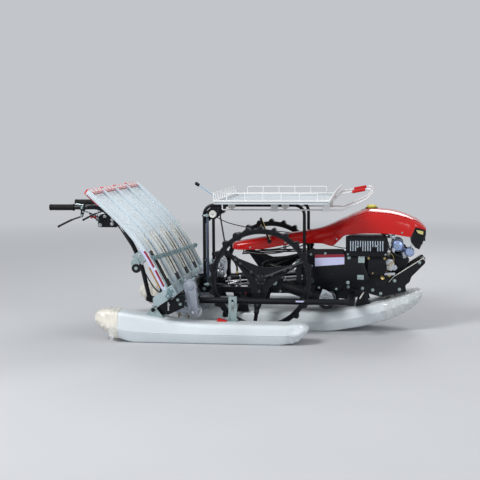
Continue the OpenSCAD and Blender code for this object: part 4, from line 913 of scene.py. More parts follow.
@dataclass
class Floats:
    """Three moulded floats whose ends are still wrapped in thin film."""

    keel_in: float = 0.026
    deck_in: float = 0.01
    deck_edge: float = 0.014
    stations: int = 150
    fold_scales: tuple[float, float] = (19.0, 47.0)
    fold_depth: float = 0.022
    fold_out: float = 0.0065
    fold_in: float = 0.008
    shapes: list[FloatShape] = field(default_factory=list)

    def __post_init__(self) -> None:
        """Fills in the floats."""
        side = (
            (0.0, 0.118, 0.142, 0.044, 0.56), (0.035, 0.078, 0.116, 0.064, 0.82), (0.11, 0.026, 0.084, 0.062, 0.95),
            (0.2, 0.0, 0.07, 0.05, 1.0), (0.42, 0.0, 0.062, 0.008, 1.0), (0.5, 0.0, 0.06, 0.0, 1.0),
            (0.85, 0.0, 0.06, 0.0, 1.0), (0.93, 0.014, 0.066, 0.0, 0.97), (0.975, 0.042, 0.082, -0.003, 0.86),
            (1.0, 0.084, 0.098, -0.01, 0.6),
        )
        center = (
            (0.0, 0.07, 0.086, -0.006, 0.36), (0.03, 0.018, 0.062, -0.004, 0.46), (0.07, 0.0, 0.056, -0.004, 0.5),
            (0.23, 0.0, 0.056, -0.004, 0.54), (0.29, 0.0, 0.058, 0.0, 1.0), (0.6, 0.0, 0.062, 0.004, 1.0),
            (0.74, 0.03, 0.092, 0.034, 1.0), (0.86, 0.082, 0.146, 0.078, 0.96), (0.94, 0.136, 0.188, 0.112, 0.84),
            (0.98, 0.18, 0.216, 0.124, 0.64), (1.0, 0.218, 0.232, 0.126, 0.4),
        )
        self.shapes = [
            FloatShape("side_float_right", side, -0.8, 1.285, 0.18, 0.122, -0.57, 0.2, 0.16),
            FloatShape("side_float_left", side, -0.8, 1.285, 0.18, 0.122, 0.57, 0.2, 0.16),
            FloatShape("center_float", center, -0.4, 1.56, 0.37, 0.122, 0.0, 0.06, 0.42),
        ]

    def ring(self, shape: FloatShape, share: float, shrink: float) -> list[Vector]:
        """One section of a float.

        Args:
            shape: The float.
            share: Place along its length from 0 to 1.
            shrink: Share of its half width and height that is left.

        Returns:
            The points of the section, from the keel up the left side and down the right.
        """
        keel, chine, rise, wide = eased(shape.rows, share)
        half, deck = shape.width / 2 * wide, shape.thickness + rise
        corners = [
            (0, 0.0, keel), (0, half - self.keel_in, keel), (0, half, chine),
            (0, half - self.deck_in, deck - self.deck_edge), (0, half - self.deck_in - self.deck_edge, deck),
            (0, 0.0, deck),
        ]
        side = rounded(corners, 0.013, 4)
        ring = side + [Vector((0, -p.y, p.z)) for p in reversed(side[1:-1])]
        mid = (keel + deck) / 2
        x = shape.rear + share * shape.length
        return [Vector((x, p.y * shrink, mid + (p.z - mid) * shrink)) for p in ring]

    def crumple(self, shape: FloatShape, point: Vector, out: Vector) -> Vector:
        """Moves a point of the skin where film is wrapped round it.

        Args:
            shape: The float.
            point: The point, in the float's own middle plane.
            out: Direction out of the skin.

        Returns:
            The moved point.
        """
        front = shape.rear + shape.length
        wrap = max(0.0, 1 - (point.x - shape.rear) / shape.film_rear, 1 - (front - point.x) / shape.film_front)
        wrap = min(1.0, wrap * 1.5) + 0.08
        seed = Vector((shape.middle * 7.0, 3.1, 0.4))
        coarse, fine = self.fold_scales
        fold = abs(noise.noise(point * coarse + seed)) + 0.55 * abs(noise.noise(point * fine + seed)) - 0.42
        depth = min(self.fold_out, max(-self.fold_in, fold * self.fold_depth)) * wrap
        if point.z < 0.012:
            depth = min(depth, 0.0)
        return point - out * depth if depth > 0 else point - out * depth * 0.6

    def build(self) -> None:
        """Builds the floats, their seam beads, markers and packing film."""
        for shape in self.shapes:
            kit = MeshKit()
            shares = [
                0.5 - 0.5 * math.cos(math.pi * (0.12 + 0.76 * k / self.stations)) for k in range(self.stations + 1)
            ]
            low, high = shares[0], shares[-1]
            shares = [(s - low) / (high - low) for s in shares]
            edge = 0.01 / shape.length
            rings = [self.ring(shape, edge * f, s) for f, s in ((0.0, 0.72), (0.25, 0.9))]
            rings += [self.ring(shape, edge + (1 - 2 * edge) * s, 1.0) for s in shares]
            rings += [self.ring(shape, 1 - edge * f, s) for f, s in ((0.25, 0.9), (0.0, 0.72))]
            skin = []
            for ring in rings:
                mid = sum((p.z for p in ring)) / len(ring)
                row = []
                for p in ring:
                    out = Vector((0, p.y, (p.z - mid) * 1.5)).normalized()
                    q = self.crumple(shape, p, out)
                    row.append(Vector((q.x, q.y + shape.middle, max(q.z, 0.0))))
                skin.append(row)
            kit.rings(skin)
            kit.build(shape.name + "_skin", FLOAT_PLASTIC, replaces=(shape.name,), smooth=60)
            self.seam(shape)
        self.wedges()
        self.film()

    def seam(self, shape: FloatShape) -> None:
        """Adds the bead along a float's chine where its two mouldings meet."""
        kit = MeshKit()
        for side in (-1, 1):
            path = []
            for k in range(61):
                share = 0.02 + 0.96 * k / 60
                _, chine, _, wide = eased(shape.rows, share)
                path.append((
                    shape.rear + share * shape.length, shape.middle + side * (shape.width / 2 * wide - 0.0022),
                    chine + 0.002
                ))
            kit.tube(path, 0.0028, 8)
        kit.build(shape.name + "_seam", FLOAT_PLASTIC)

    def film(self) -> None:
        """Adds the crumpled packing film on the floats' ends, with two loose flaps."""
        for shape in self.shapes:
            middle = shape.middle
            spans = ((0.0, 0.115),) if middle else ((0.845, 1.0),)
            kit = MeshKit()
            for low, high in spans:
                rows = []
                steps = 40
                for k in range(steps + 1):
                    share = low + (high - low) * k / steps
                    edge = min(1.0, max(share, 0.004) / 0.01, (1 - share) / 0.006 + 0.72)
                    ring = self.ring(
                        shape, min(max(share, 0.001), 0.999),
                        1.0 if 0.01 < share < 0.994 else 0.8 + 0.18 * min(edge, 1.0)
                    )
                    mid = sum(p.z for p in ring) / len(ring)
                    row = []
                    for p in ring:
                        out = Vector((0, p.y, (p.z - mid) * 1.5)).normalized()
                        at = Vector((p.x * 30, (p.y + middle) * 34, p.z * 34))
                        octaves = ((1.0, 1.0), (0.6, 2.3), (0.3, 5.1))
                        fold = sum(share * abs(noise.noise(at * scale)) for share, scale in octaves)
                        fade = min(1.0, abs(share - (high if middle else low)) / 0.014)
                        q = p + out * (0.0003 + (0.001 + 0.012 * fold) * fade)
                        row.append((q.x, max(-MACHINE_HALF, min(MACHINE_HALF, q.y + middle)), max(q.z, 0.0)))
                    rows.append(row)
                kit.rings(rows, caps=bool(middle))
            kit.build(shape.name + "_film", FILM_CREAM if middle else FILM_CLEAR, smooth=70)
        flap = MeshKit()
        for side in (-1, 1):
            rows = []
            for i in range(15):
                u = i / 14
                row = []
                for j in range(12):
                    v = j / 11
                    x = -0.712 + 0.045 * u + 0.02 * v * (1 - u)
                    z = 0.1 - (0.085 - 0.03 * abs(u - 0.35)) * v
                    wave = noise.noise(Vector((x * 60, z * 50, side * 3.0)))
                    row.append((x + 0.004 * wave, side * (0.6665 + 0.007 * wave + 0.006 * v), z))
                rows.append(row)
            flap.grid(rows)
        flap.build("float_film_flaps", FILM_CLEAR, smooth=70)

    def wedges(self) -> None:
        """Adds the red markers on the side floats beside the guide plates."""
        kit = MeshKit()
        outline = [(-0.066, 0.1225), (-0.004, 0.1225), (-0.004, 0.129), (-0.03, 0.134), (-0.062, 0.141)]
        kit.side_slab(outline, -0.56, 0.034)
        kit.both_sides()
        kit.build("float_markers", RED_PLASTIC, bevel=0.0025)


# Bonnet and lamps.


@dataclass
class Bonnet:
    """Red moulded bonnet with its tongue, nose panel, lamps and fuel cap."""

    rows: tuple[tuple[float, ...], ...] = (
        (-0.048, 0.536, 0.516, 0.24, 0.0), (-0.036, 0.548, 0.507, 0.7, 0.0), (0.0, 0.556, 0.503, 0.92, 0.0),
        (0.135, 0.581, 0.508, 1.0, 0.0), (0.3, 0.606, 0.536, 1.0, 0.0), (0.432, 0.627, 0.549, 1.04, 0.02),
        (0.528, 0.648, 0.551, 1.0, 0.22), (0.596, 0.674, 0.538, 1.0, 0.52), (0.64, 0.695, 0.573, 1.0, 0.78),
        (0.682, 0.713, 0.609, 1.0, 0.94), (0.762, 0.749, 0.619, 1.0, 1.0), (0.838, 0.77, 0.622, 1.0, 1.0),
        (0.963, 0.76, 0.619, 1.0, 0.98), (1.04, 0.74, 0.606, 1.0, 0.9), (1.08, 0.725, 0.6, 1.0, 0.84),
        (1.112, 0.706, 0.658, 1.0, 0.76), (1.15, 0.68, 0.648, 1.0, 0.56), (1.178, 0.654, 0.638, 1.0, 0.34),
    )
    tongue: float = 0.15
    width: float = 0.35
    wall: float = 0.004
    power: float = 0.55
    steps: int = 30
    cap_x: float = 0.842
    cap_top: float = 0.7704
    nose_rear: float = 1.086
    nose_front: float = 1.178

    def section(self, x: float) -> tuple[float, float, float]:
        """Crown height, lower edge height and half width at a place along the machine."""
        top, low, wide, share = eased(self.rows, x)
        return top, low, self.tongue / 2 * wide * (1 - share) + self.width / 2 * share

    def arch(self, x: float, inset: float, low_cut: float = 0.0) -> list[Vector]:
        """Points of one arch from the left edge over the crown to the right edge.

        Args:
            x: Place along the machine.
            inset: Distance inside the outer skin.
            low_cut: How far above the lower edge it ends.

        Returns:
            The points.
        """
        top, low, half = self.section(x)
        top, half, low = top - inset, half - inset, low + low_cut
        out = []
        for i in range(2 * self.steps + 1):
            a = math.pi * (1 - i / (2 * self.steps))
            c, s = math.cos(a), math.sin(a)
            y = math.copysign(abs(c) ** self.power, c) * half
            z = low + (top - low) * max(s, 0.0) ** self.power
            out.append(Vector((x, -y, z)))
        return out

    def build(self) -> None:
        """Builds the bonnet and everything on it."""
        self.skin()
        self.trim()
        self.cap()
        self.nose()
        self.lamps()

    def places(self) -> list[float]:
        """Places along the machine of the skin's sections."""
        rear, front = self.rows[0][0], self.rows[-1][0]
        inner = [rear + (front - rear) * k / 150 for k in range(1, 150)]
        ends = [rear + 0.002, rear + 0.005, front - 0.005, front - 0.002]
        return sorted([rear, front, *inner, *ends])

    def skin(self) -> None:
        """Builds the moulded skin with its wall."""
        kit = MeshKit()
        rings = []
        for x in self.places():
            rings.append(self.arch(x, 0.0) + list(reversed(self.arch(x, self.wall))))
        made = [[kit.bm.verts.new(p) for p in ring] for ring in rings]
        count = len(rings[0])
        for low, high in zip(made, made[1:]):
            for i in range(count):
                j = (i + 1) % count
                kit.bm.faces.new((low[i], low[j], high[j], high[i]))
        for ring in (made[0], made[-1]):
            for i in range(count // 2 - 1):
                kit.bm.faces.new((ring[i], ring[i + 1], ring[count - 2 - i], ring[count - 1 - i]))
        kit.build("bonnet_skin", RED_PLASTIC, replaces=("bonnet",), smooth=50)

    def trim(self) -> None:
        """Adds the rolled lower edge, the rear end of the tongue, the crown ridge and the fixing screws."""
        edge = MeshKit()
        for side in (-1, 1):
            path = []
            for x in self.places()[3:-3]:
                _, low, half = self.section(x)
                path.append((x, side * (half - 0.002), low + 0.003))
            edge.tube(path, 0.0032, 8)
        edge.build("bonnet_rim", RED_PLASTIC)
        back = MeshKit()
        ring = self.arch(-0.047, 0.0005)
        ring_in = [Vector((-0.0462, p.y * 0.94, p.z)) for p in ring]
        back.rings([[Vector((-0.038, p.y, p.z)) for p in self.arch(-0.038, 0.0045)], ring_in])
        back.build("tongue_end", RED_PLASTIC, bevel=0.001)
        ridge = MeshKit()
        for side in (-1, 1):
            path = []
            for k in range(60):
                x = 0.66 + (1.165 - 0.66) * k / 59
                fade = min(1.0, k / 10, (59 - k) / 6)
                arch = self.arch(x, 0.004 - 0.0045 * fade)
                p = arch[self.steps + side * 13]
                path.append(p)
            ridge.tube(path, 0.0042, 10)
        ridge.build("bonnet_shoulder_ridges", RED_PLASTIC)
        bolts = MeshKit()
        for x in (0.075, 0.3, 0.63, 1.03):
            _, low, half = self.section(x)
            z = low + (0.014 if x < 0.5 else 0.02)
            for side in (-1, 1):
                bolts.bolt((x, side * (half - 0.001), z), (0, side, 0), 0.008, 0.003)
        bolts.build("bonnet_screws", ZINC)

    def cap(self) -> None:
        """Adds the fuel neck's seal and the fuel cap's grips and chain."""
        x, top = self.cap_x, self.cap_top
        kit = MeshKit()
        kit.solid((x, 0, top - 0.001), UP, ((0, 0.039), (0.003, 0.039), (0.0045, 0.036)), 48)
        kit.build("fuel_neck_seal", RUBBER)
        kit = MeshKit()
        for t in turns(28):
            c, s = math.cos(t), math.sin(t)
            kit.rod(
                (x + c * 0.0312, s * 0.0312, top + 0.003), (x + c * 0.0312, s * 0.0312, top + 0.0135), 0.0016, sides=8
            )
        kit.solid((x, 0, top + 0.0139), UP, ((0, 0.03), (0.002, 0.029), (0.0026, 0.024)), 48)
        kit.block((x - 0.017, -0.004, top + 0.0165), (x + 0.017, 0.004, top + 0.019))
        kit.build("fuel_cap_grips", CAP_YELLOW, bevel=0.0005)
        kit = MeshKit()
        spots = [(x - 0.03 - 0.0045 * k, 0.012 + 0.003 * math.sin(k * 1.1)) for k in range(9)]
        for a, y in spots:
            z = self.section(a)[0]
            kit.band((a, y, z + 0.0012), (0, 0.3, 1), (-0.0006, 0.0006), (0.0026, 0.0016), 12)
        kit.build("fuel_cap_chain", BLACK_PAINT)

    def nose(self) -> None:
        """Adds the louvres and the bars of the nose panel."""
        kit = MeshKit()
        for side in (-1, 1):
            for k in range(5):
                z = 0.556 + 0.013 * k
                a, b = 1.1 + 0.002 * k, 1.158 + 0.003 * k
                ya, yb = self.grille_half(a), self.grille_half(b)
                kit.slab(
                    [
                        (a, side * (ya - 0.001), z), (b, side * (yb - 0.001), z), (b, side * (yb + 0.0035), z - 0.003),
                        (a, side * (ya + 0.0035), z - 0.003)
                    ],
                    (0, 0, 0.004),
                )
        kit.build("nose_louvres", BLACK_PLASTIC, bevel=0.0008)
        kit = MeshKit()
        for k in range(6):
            y = -0.05 + 0.02 * k
            kit.block((1.15, y - 0.003, 0.566), (1.1768, y + 0.003, 0.626))
        kit.build("nose_bars", BLACK_PLASTIC, bevel=0.001)

    def grille_half(self, x: float) -> float:
        """Half width of the nose panel at a place along the machine."""
        a, b = (self.section(end)[2] - 0.001 for end in (self.nose_rear, self.nose_front))
        return a + (b - a) * (x - self.nose_rear) / (self.nose_front - self.nose_rear)

    def lamps(self) -> None:
        """Adds the lamps' bezels, reflector ribs and rims."""
        a, b = self.grille_half(self.nose_rear), self.grille_half(self.nose_front)
        turn = math.atan2(a - b, self.nose_front - self.nose_rear)
        lens, bezel, ribs = kits(3)
        wedge = [(-0.029, 0.019), (-0.015, -0.003), (0.024, -0.018), (0.029, 0.008), (-0.029, 0.019)]
        outline = rounded_outline(wedge, 0.006, 4)
        mid = (0.004, 0.002)
        grown = [(mid[0] + (x - mid[0]) * 1.1, mid[1] + (z - mid[1]) * 1.14) for x, z in outline]
        inner = [(mid[0] + (x - mid[0]) * 0.9, mid[1] + (z - mid[1]) * 0.86) for x, z in outline]
        bezel.rings([
            [(x, high, z) for x, z in ring]
            for ring, high in ((grown, 0.0005), (grown, 0.0066), (inner, 0.0066), (inner, 0.0048))
        ], caps=False)
        lens.rings([
            [(x, 0.0004, z) for x, z in outline], [(x, 0.0046, z) for x, z in outline],
            [(x, 0.0058, z) for x, z in inner]
        ])
        for k in range(-4, 5):
            low, high = -0.006 - 0.0024 * k, 0.01 - 0.0014 * k
            ribs.tube([(0.004 + k * 0.0048, 0.006, low), (0.004 + k * 0.0048, 0.006, high)], 0.0009, 6)
        place = Matrix.Translation((1.136, self.grille_half(1.136), 0.626)) @ Matrix.Rotation(-turn, 4, "Z")
        lens.moved(place).both_sides().build("lamp_lenses", LAMP_GLASS, replaces=("headlamps",))
        bezel.moved(place).both_sides().build("lamp_bezels", BLACK_PLASTIC, bevel=0.0006)
        ribs.moved(place).both_sides().build("lamp_ribs", LAMP_GLASS)


# Engine.


@dataclass
class Engine:
    """Small engine under the bonnet, with its guard, fuel parts, silencer and starter."""

    guard_y: float = -0.2
    slot_rear: float = 0.709
    slot_pitch: float = 0.015143
    slots: int = 14
    cover_y: float = -0.184

    def build(self) -> None:
        """Builds everything on the engine and its belt cover."""
        self.guard()
        self.cover()
        self.right_side()
        self.intake()
        self.front()
        self.left_side()
        self.plumbing()

    def guard(self) -> None:
        """Adds ribs between the guard's slots, bright vanes behind them, a row of vents and two bolts."""
        ribs, vanes, vents = kits(3)
        for k in range(self.slots + 1):
            x = self.slot_rear + k * self.slot_pitch
            ribs.tube([
                (x, self.guard_y - 0.0005, 0.508), (x, self.guard_y - 0.0024, 0.515), (x, self.guard_y - 0.0024, 0.58),
                (x, self.guard_y - 0.0005, 0.586)
            ], 0.0038, 8, 0.8)
        for k in range(self.slots):
            x = self.slot_rear + (k + 0.5) * self.slot_pitch
            short = 0.026 if k in (3, 4, 9, 10) else 0.0
            vanes.tube([
                (x, self.guard_y + 0.0006, 0.5155 + short), (x, self.guard_y - 0.0004, 0.5185 + short),
                (x, self.guard_y - 0.0004, 0.574), (x, self.guard_y + 0.001, 0.5775)
            ], 0.0042, 8, 0.5, LEFT)
        for k in range(17):
            x = self.slot_rear - 0.002 + k * 0.01325
            vents.ball((x, self.guard_y, 0.5905), 0.0034, 12, 0.35, LEFT)
        outline = rounded([(0.69, 0, 0.486), (0.69, 0, 0.603), (0.94, 0, 0.603), (0.94, 0, 0.486)], 0.01, 4)
        ribs.tube(
            [(p.x, self.guard_y - 0.0004, p.z) for p in outline] + [(0.69, self.guard_y - 0.0004, 0.486)], 0.0028, 8
        )
        ribs.build("guard_ribs", BLACK_PLASTIC)
        vanes.build("guard_vanes", VANE_SILVER)
        vents.build("guard_vents", BLACK_PAINT)
        bolts = MeshKit()
        bolts.bolts([(0.758, self.guard_y - 0.002, 0.543), (0.876, self.guard_y - 0.002, 0.547)], RIGHT, 0.01)
        bolts.bolts([(0.7, self.guard_y, 0.494), (0.93, self.guard_y, 0.494)], RIGHT, 0.007)
        bolts.build("guard_bolts", ZINC)

    def cover(self) -> None:
        """Builds the belt cover's shell and adds its pressed ring, screws and blank plates."""
        y = self.cover_y
        shell = MeshKit()
        line = (
            (0.446, 0.5), (0.462, 0.517), (0.668, 0.519), (0.684, 0.5), (0.69, 0.4845), (0.776, 0.4845), (0.8, 0.44),
            (0.834, 0.336), (0.8, 0.318), (0.69, 0.3), (0.64, 0.258), (0.506, 0.258), (0.446, 0.3)
        )
        path = rounded([(x, 0, z) for x, z in ((0.446, 0.4), *line, (0.446, 0.4))], 0.01, 4)[:-1]
        mid = Vector((0.6, 0, 0.395))
        rows = [
            (self.cover_y + 0.0485, 0.0), (self.cover_y + 0.006, 0.0), (self.cover_y + 0.0018, 0.0014),
            (self.cover_y, 0.0052)
        ]
        shell.rings([[p + (mid - p).normalized() * cut + Vector((0, at, 0)) for p in path] for at, cut in rows])
        inner = (
            (0.446, 0.5), (0.462, 0.517), (0.668, 0.519), (0.684, 0.5), (0.684, 0.3), (0.64, 0.258), (0.506, 0.258),
            (0.446, 0.3)
        )
        shell.slab([(x, self.cover_y + 0.0486, z) for x, z in inner], (0, 0.0225, 0))
        shell.build("cover_shell", BLACK_PLASTIC, replaces=("belt_cover",), smooth=40)
        kit = MeshKit()
        kit.collar((0.59, y + 0.0015, 0.389), RIGHT, [
            (0, 0.022), (0.0035, 0.0235), (0.0045, 0.0265), (0.0035, 0.0295), (0, 0.031)
        ], 40)
        kit.lathe((0.59, y + 0.001, 0.389), RIGHT, (
            (0, 0.0), (0, 0.0215), (0.0015, 0.021), (0.002, 0.01), (0.003, 0.0)
        ), 32)
        kit.build("cover_pressing", BLACK_PLASTIC)
        kit = MeshKit()
        kit.bolts([
            (0.47, y, 0.49), (0.47, y, 0.33), (0.52, y, 0.282), (0.628, y, 0.275), (0.56, y, 0.497)
        ], RIGHT, 0.009)
        kit.build("cover_screws", ZINC)
        pale, red = kits(2)
        pale.side_slab([(0.4955, 0.415), (0.678, 0.43), (0.678, 0.475), (0.4955, 0.468)], y, -0.0009)
        red.side_slab([(0.4955, 0.469), (0.678, 0.476), (0.678, 0.493), (0.4955, 0.489)], y, -0.0009)
        pale.build("cover_blank_plate", LABEL_PALE)
        red.build("cover_blank_stripe", LABEL_RED)

    def right_side(self) -> None:
        """Adds plates, the shroud, ribs, governor castings, throttle wires and bolts on the right side."""
        plate = MeshKit()
        plate.block((0.763, -0.1875, 0.44), (0.803, -0.1836, 0.484))
        plate.build("breather_plate", ZINC, bevel=0.0015)
        rivets = MeshKit()
        rivets.bolts([(x, -0.1875, z) for x in (0.769, 0.797) for z in (0.446, 0.478)], RIGHT, 0.0055)
        rivets.build("breather_rivets", BRIGHT_STEEL)
        box = MeshKit()
        box.side_slab([
            (0.82, 0.368), (0.826, 0.476), (0.932, 0.474), (0.934, 0.378), (0.9, 0.362), (0.85, 0.36)
        ], -0.172, 0.04)
        box.side_slab([(0.838, 0.392), (0.84, 0.458), (0.914, 0.457), (0.916, 0.392)], -0.176, 0.006)
        box.side_slab([(0.848, 0.404), (0.849, 0.446), (0.872, 0.446), (0.872, 0.404)], -0.179, 0.005)
        box.build("side_shroud", BLACK_PLASTIC, bevel=0.004)
        bolts = MeshKit()
        bolts.bolts([(0.853, -0.17, 0.361 + 0.014), (0.925, -0.1725, 0.468), (0.827, -0.1725, 0.468)], RIGHT, 0.009)
        bolts.bolts([(0.955, -0.136, 0.36)], RIGHT, 0.014)
        plated = MeshKit()
        plated.bolts([
            (0.768, -0.184, 0.352), (0.788, -0.184, 0.345), (0.7, -0.184, 0.316), (0.706, -0.184, 0.472)
        ], RIGHT, 0.013)
        plated.block((0.758, -0.1852, 0.336), (0.798, -0.1838, 0.364))
        plated.build("cover_edge_bolts", ZINC)
        bolts.build("engine_bolts", YELLOW_ZINC)
        ribs = MeshKit()
        for k in range(6):
            x = 0.716 + 0.017 * k
            ribs.side_slab([
                (x, 0.305), (x + 0.004, 0.305), (x + 0.004 + 0.004 * k, 0.432), (x + 0.004 * k, 0.432)
            ], -0.1385, 0.006)
        ribs.block((0.712, -0.14, 0.3), (0.816, -0.134, 0.306))
        ribs.build("crankcase_ribs", BLACK_CAST, bevel=0.001)
        lumps = MeshKit()
        lumps.solid((0.952, -0.125, 0.44), RIGHT, (
            (0, 0.024), (0.022, 0.024), (0.026, 0.02), (0.026, 0.01), (0.034, 0.01)
        ), 28)
        lumps.solid((0.985, -0.1, 0.405), RIGHT, ((0, 0.02), (0.03, 0.018), (0.034, 0.014)), 28)
        lumps.rod((0.952, -0.14, 0.44), (0.99, -0.115, 0.404), 0.008)
        lumps.side_slab([(0.936, 0.396), (0.968, 0.386), (0.99, 0.412), (0.975, 0.458), (0.94, 0.462)], -0.146, 0.01)
        lumps.block((0.925, -0.15, 0.36), (0.99, -0.128, 0.376))
        lumps.build("governor_castings", BRIGHT_CAST, bevel=0.002)
        wires = MeshKit()
        loop = [
            (0.938, -0.152, 0.478), (0.946, -0.158, 0.497), (0.962, -0.16, 0.5), (0.978, -0.158, 0.482),
            (0.984, -0.156, 0.452), (0.972, -0.156, 0.428), (0.95, -0.154, 0.402)
        ]
        wires.pipe(loop, 0.012, 0.0017, 8)
        wires.pipe([
            (0.986, -0.154, 0.44), (0.96, -0.158, 0.418), (0.944, -0.156, 0.392), (0.925, -0.152, 0.372)
        ], 0.012, 0.0014, 8)
        wires.spring((0.944, -0.158, 0.424), (0.972, -0.158, 0.446), 0.0042, 0.0008, 12)
        wires.build("throttle_wires", YELLOW_ZINC)

    def intake(self) -> None:
        """Builds the bowls of the air cleaner and the carburettor and adds clamps, castings and elbows."""
        steel, cast, bowls = kits(3)
        bowls.lathe((1.004, 0.05, 0.545), RIGHT, (
            (0, 0.0), (0, 0.031), (0.01, 0.036), (0.15, 0.0375), (0.182, 0.037), (0.196, 0.03), (0.202, 0.016),
            (0.203, 0.0)
        ), 48)
        bowls.build("air_cleaner_bowl", BLUE_ALLOY, replaces=("air_cleaner",))
        bowls = MeshKit()
        bowls.solid((1.079, -0.04, 0.503), RIGHT, (
            (0, 0.027), (0.062, 0.0295), (0.084, 0.029), (0.094, 0.023), (0.098, 0.01)
        ), 40)
        bowls.rod((1.079, -0.085, 0.503), (1.04, -0.06, 0.515), 0.022)
        bowls.build("carburettor_bowl", BLUE_ALLOY, replaces=("carburettor",), slot="grey_cast")
        for y in (-0.118, -0.03, 0.03):
            steel.band((1.004, y, 0.545), LEFT, (-0.005, 0.005), (0.0368, 0.039), 48)
        steel.bolt((0.972, -0.118, 0.52), (-0.6, 0, -0.6), 0.011, 0.01)
        steel.bolt((1.004, -0.1528, 0.545), RIGHT, 0.01, 0.005)
        for place in circle((1.079, -0.1345, 0.503), 0.02, (0.4, 2.5, 4.6)):
            steel.bolt(place, RIGHT, 0.006, 0.003)
        steel.tube([(1.081, -0.136, 0.503), (1.089, -0.141, 0.528), (1.089, -0.141, 0.543)], 0.0028, 8)
        steel.ball((1.089, -0.141, 0.546), 0.006, 12)
        steel.build("intake_clamps", ZINC)
        cast.solid((1.044, -0.075, 0.5), (0, 0, -1), (
            (0, 0.021), (0.034, 0.021), (0.04, 0.017), (0.043, 0.006), (0.048, 0.006)
        ), 28)
        cast.rod((1.048, -0.09, 0.53), (1.01, -0.07, 0.545), 0.017)
        cast.block((0.958, -0.15, 0.588), (0.99, -0.118, 0.611))
        cast.solid((0.974, -0.15, 0.6), RIGHT, ((0, 0.01), (0.006, 0.009), (0.008, 0.004)), 20)
        cast.side_slab([(0.966, 0.512), (0.984, 0.5), (0.99, 0.52), (0.974, 0.534)], -0.15, 0.03)
        cast.build("intake_castings", BRIGHT_CAST, bevel=0.001)
        pipe = MeshKit()
        pipe.pipe([(0.948, -0.11, 0.596), (0.968, -0.128, 0.604), (0.985, -0.125, 0.604)], 0.01, 0.009, 16)
        pipe.pipe([(0.958, -0.132, 0.56), (0.948, -0.14, 0.545), (0.948, -0.13, 0.515)], 0.01, 0.007, 12)
        pipe.build("intake_elbows", BRIGHT_CAST)

    def front(self) -> None:
        """Adds the starter's ribbed cover, its bolts and pull grip, and the shroud below the intake."""
        kit = MeshKit()
        kit.solid((1.0262, 0, 0.44), FORWARD, (
            (0, 0.058), (0.004, 0.058), (0.01, 0.05), (0.012, 0.03), (0.01, 0.018)
        ), 48)
        for t in turns(12):
            c, s = math.cos(t), math.sin(t)
            kit.rod((1.0342, c * 0.034, 0.44 + s * 0.034), (1.0305, c * 0.054, 0.44 + s * 0.054), 0.003, sides=8)
        for t in turns(16):
            c, s = math.cos(t), math.sin(t)
            kit.rod((1.0142, c * 0.064, 0.44 + s * 0.064), (1.0142, c * 0.083, 0.44 + s * 0.083), 0.003, sides=8)
        kit.build("starter_cover", BLACK_PLASTIC)
        shroud = MeshKit()
        shroud.side_slab([
            (0.966, 0.372), (0.972, 0.488), (1.03, 0.497), (1.066, 0.47), (1.08, 0.448), (1.046, 0.392), (1.01, 0.372)
        ], -0.082, 0.07)
        shroud.build("intake_shroud", BLACK_PLASTIC, bevel=0.006)
        bolts = MeshKit()
        bolts.bolts([
            (1.0142, 0.083 * math.cos(t), 0.44 + 0.083 * math.sin(t)) for t in (0.5, 2.6, 3.7, 5.7)
        ], FORWARD, 0.008)
        bolts.build("starter_bolts", ZINC)
        grip = MeshKit()
        grip.tube([(1.02, 0.088, 0.505), (1.02, 0.1, 0.52), (1.02, 0.112, 0.527)], 0.0022, 8)
        grip.tube([(1.008, 0.12, 0.531), (1.02, 0.124, 0.534), (1.034, 0.12, 0.531)], 0.0075, 12)
        grip.build("starter_grip", RUBBER)

    def left_side(self) -> None:
        """Adds the silencer with its heat shield and the side cover's ribs and bolts on the left."""
        kit = MeshKit()
        kit.side_slab(rounded_outline([
            (0.72, 0.49), (0.72, 0.585), (0.925, 0.585), (0.925, 0.49), (0.72, 0.49)
        ], 0.018), 0.132, 0.04)
        kit.rod((0.905, 0.15, 0.5), (0.945, 0.15, 0.478), 0.011)
        kit.build("silencer", ZINC, bevel=0.006)
        shield = MeshKit()
        for k in range(9):
            z = 0.5 + 0.0095 * k
            shield.tube([(0.735, 0.1735, z), (0.745, 0.1775, z), (0.9, 0.1775, z), (0.91, 0.1735, z)], 0.0032, 8)
        shield.tube([(0.735, 0.174, 0.495), (0.735, 0.174, 0.581)], 0.004, 8)
        shield.tube([(0.91, 0.174, 0.495), (0.91, 0.174, 0.581)], 0.004, 8)
        shield.build("silencer_shield", BLACK_PAINT)
        ribs = MeshKit()
        for k in range(10):
            x = 0.73 + 0.02 * k
            ribs.block((x, 0.1345, 0.31), (x + 0.005, 0.139, 0.44))
        ribs.block((0.726, 0.1345, 0.306), (0.924, 0.139, 0.312))
        ribs.block((0.726, 0.1345, 0.438), (0.924, 0.139, 0.444))
        ribs.build("left_case_ribs", BLACK_CAST, bevel=0.001)
        bolts = MeshKit()
        bolts.bolts([
            (x, 0.135, z) for x, z in ((0.716, 0.32), (0.716, 0.455), (0.938, 0.36), (0.938, 0.455))
        ], LEFT, 0.01)
        bolts.build("left_case_bolts", ZINC)

    def plumbing(self) -> None:
        """Adds the hoses and the dipstick."""
        hose = MeshKit()
        hose.pipe([
            (0.905, -0.09, 0.618), (0.935, -0.15, 0.6), (0.955, -0.165, 0.52), (1.0, -0.13, 0.48), (1.04, -0.09, 0.47)
        ], 0.03, 0.0045, 10)
        hose.pipe([(0.9, 0.06, 0.6), (0.958, 0.06, 0.596), (0.985, 0.03, 0.54), (0.99, 0.02, 0.5)], 0.03, 0.0038, 10)
        hose.build("engine_hoses", CABLE)
        stick = MeshKit()
        stick.solid((0.905, -0.125, 0.335), (0.5, -0.8, 0.6), (
            (0, 0.01), (0.012, 0.01), (0.013, 0.015), (0.02, 0.016), (0.022, 0.012)
        ), 20)
        stick.build("oil_dipstick", YELLOW_ZINC)


# Seedling tray.


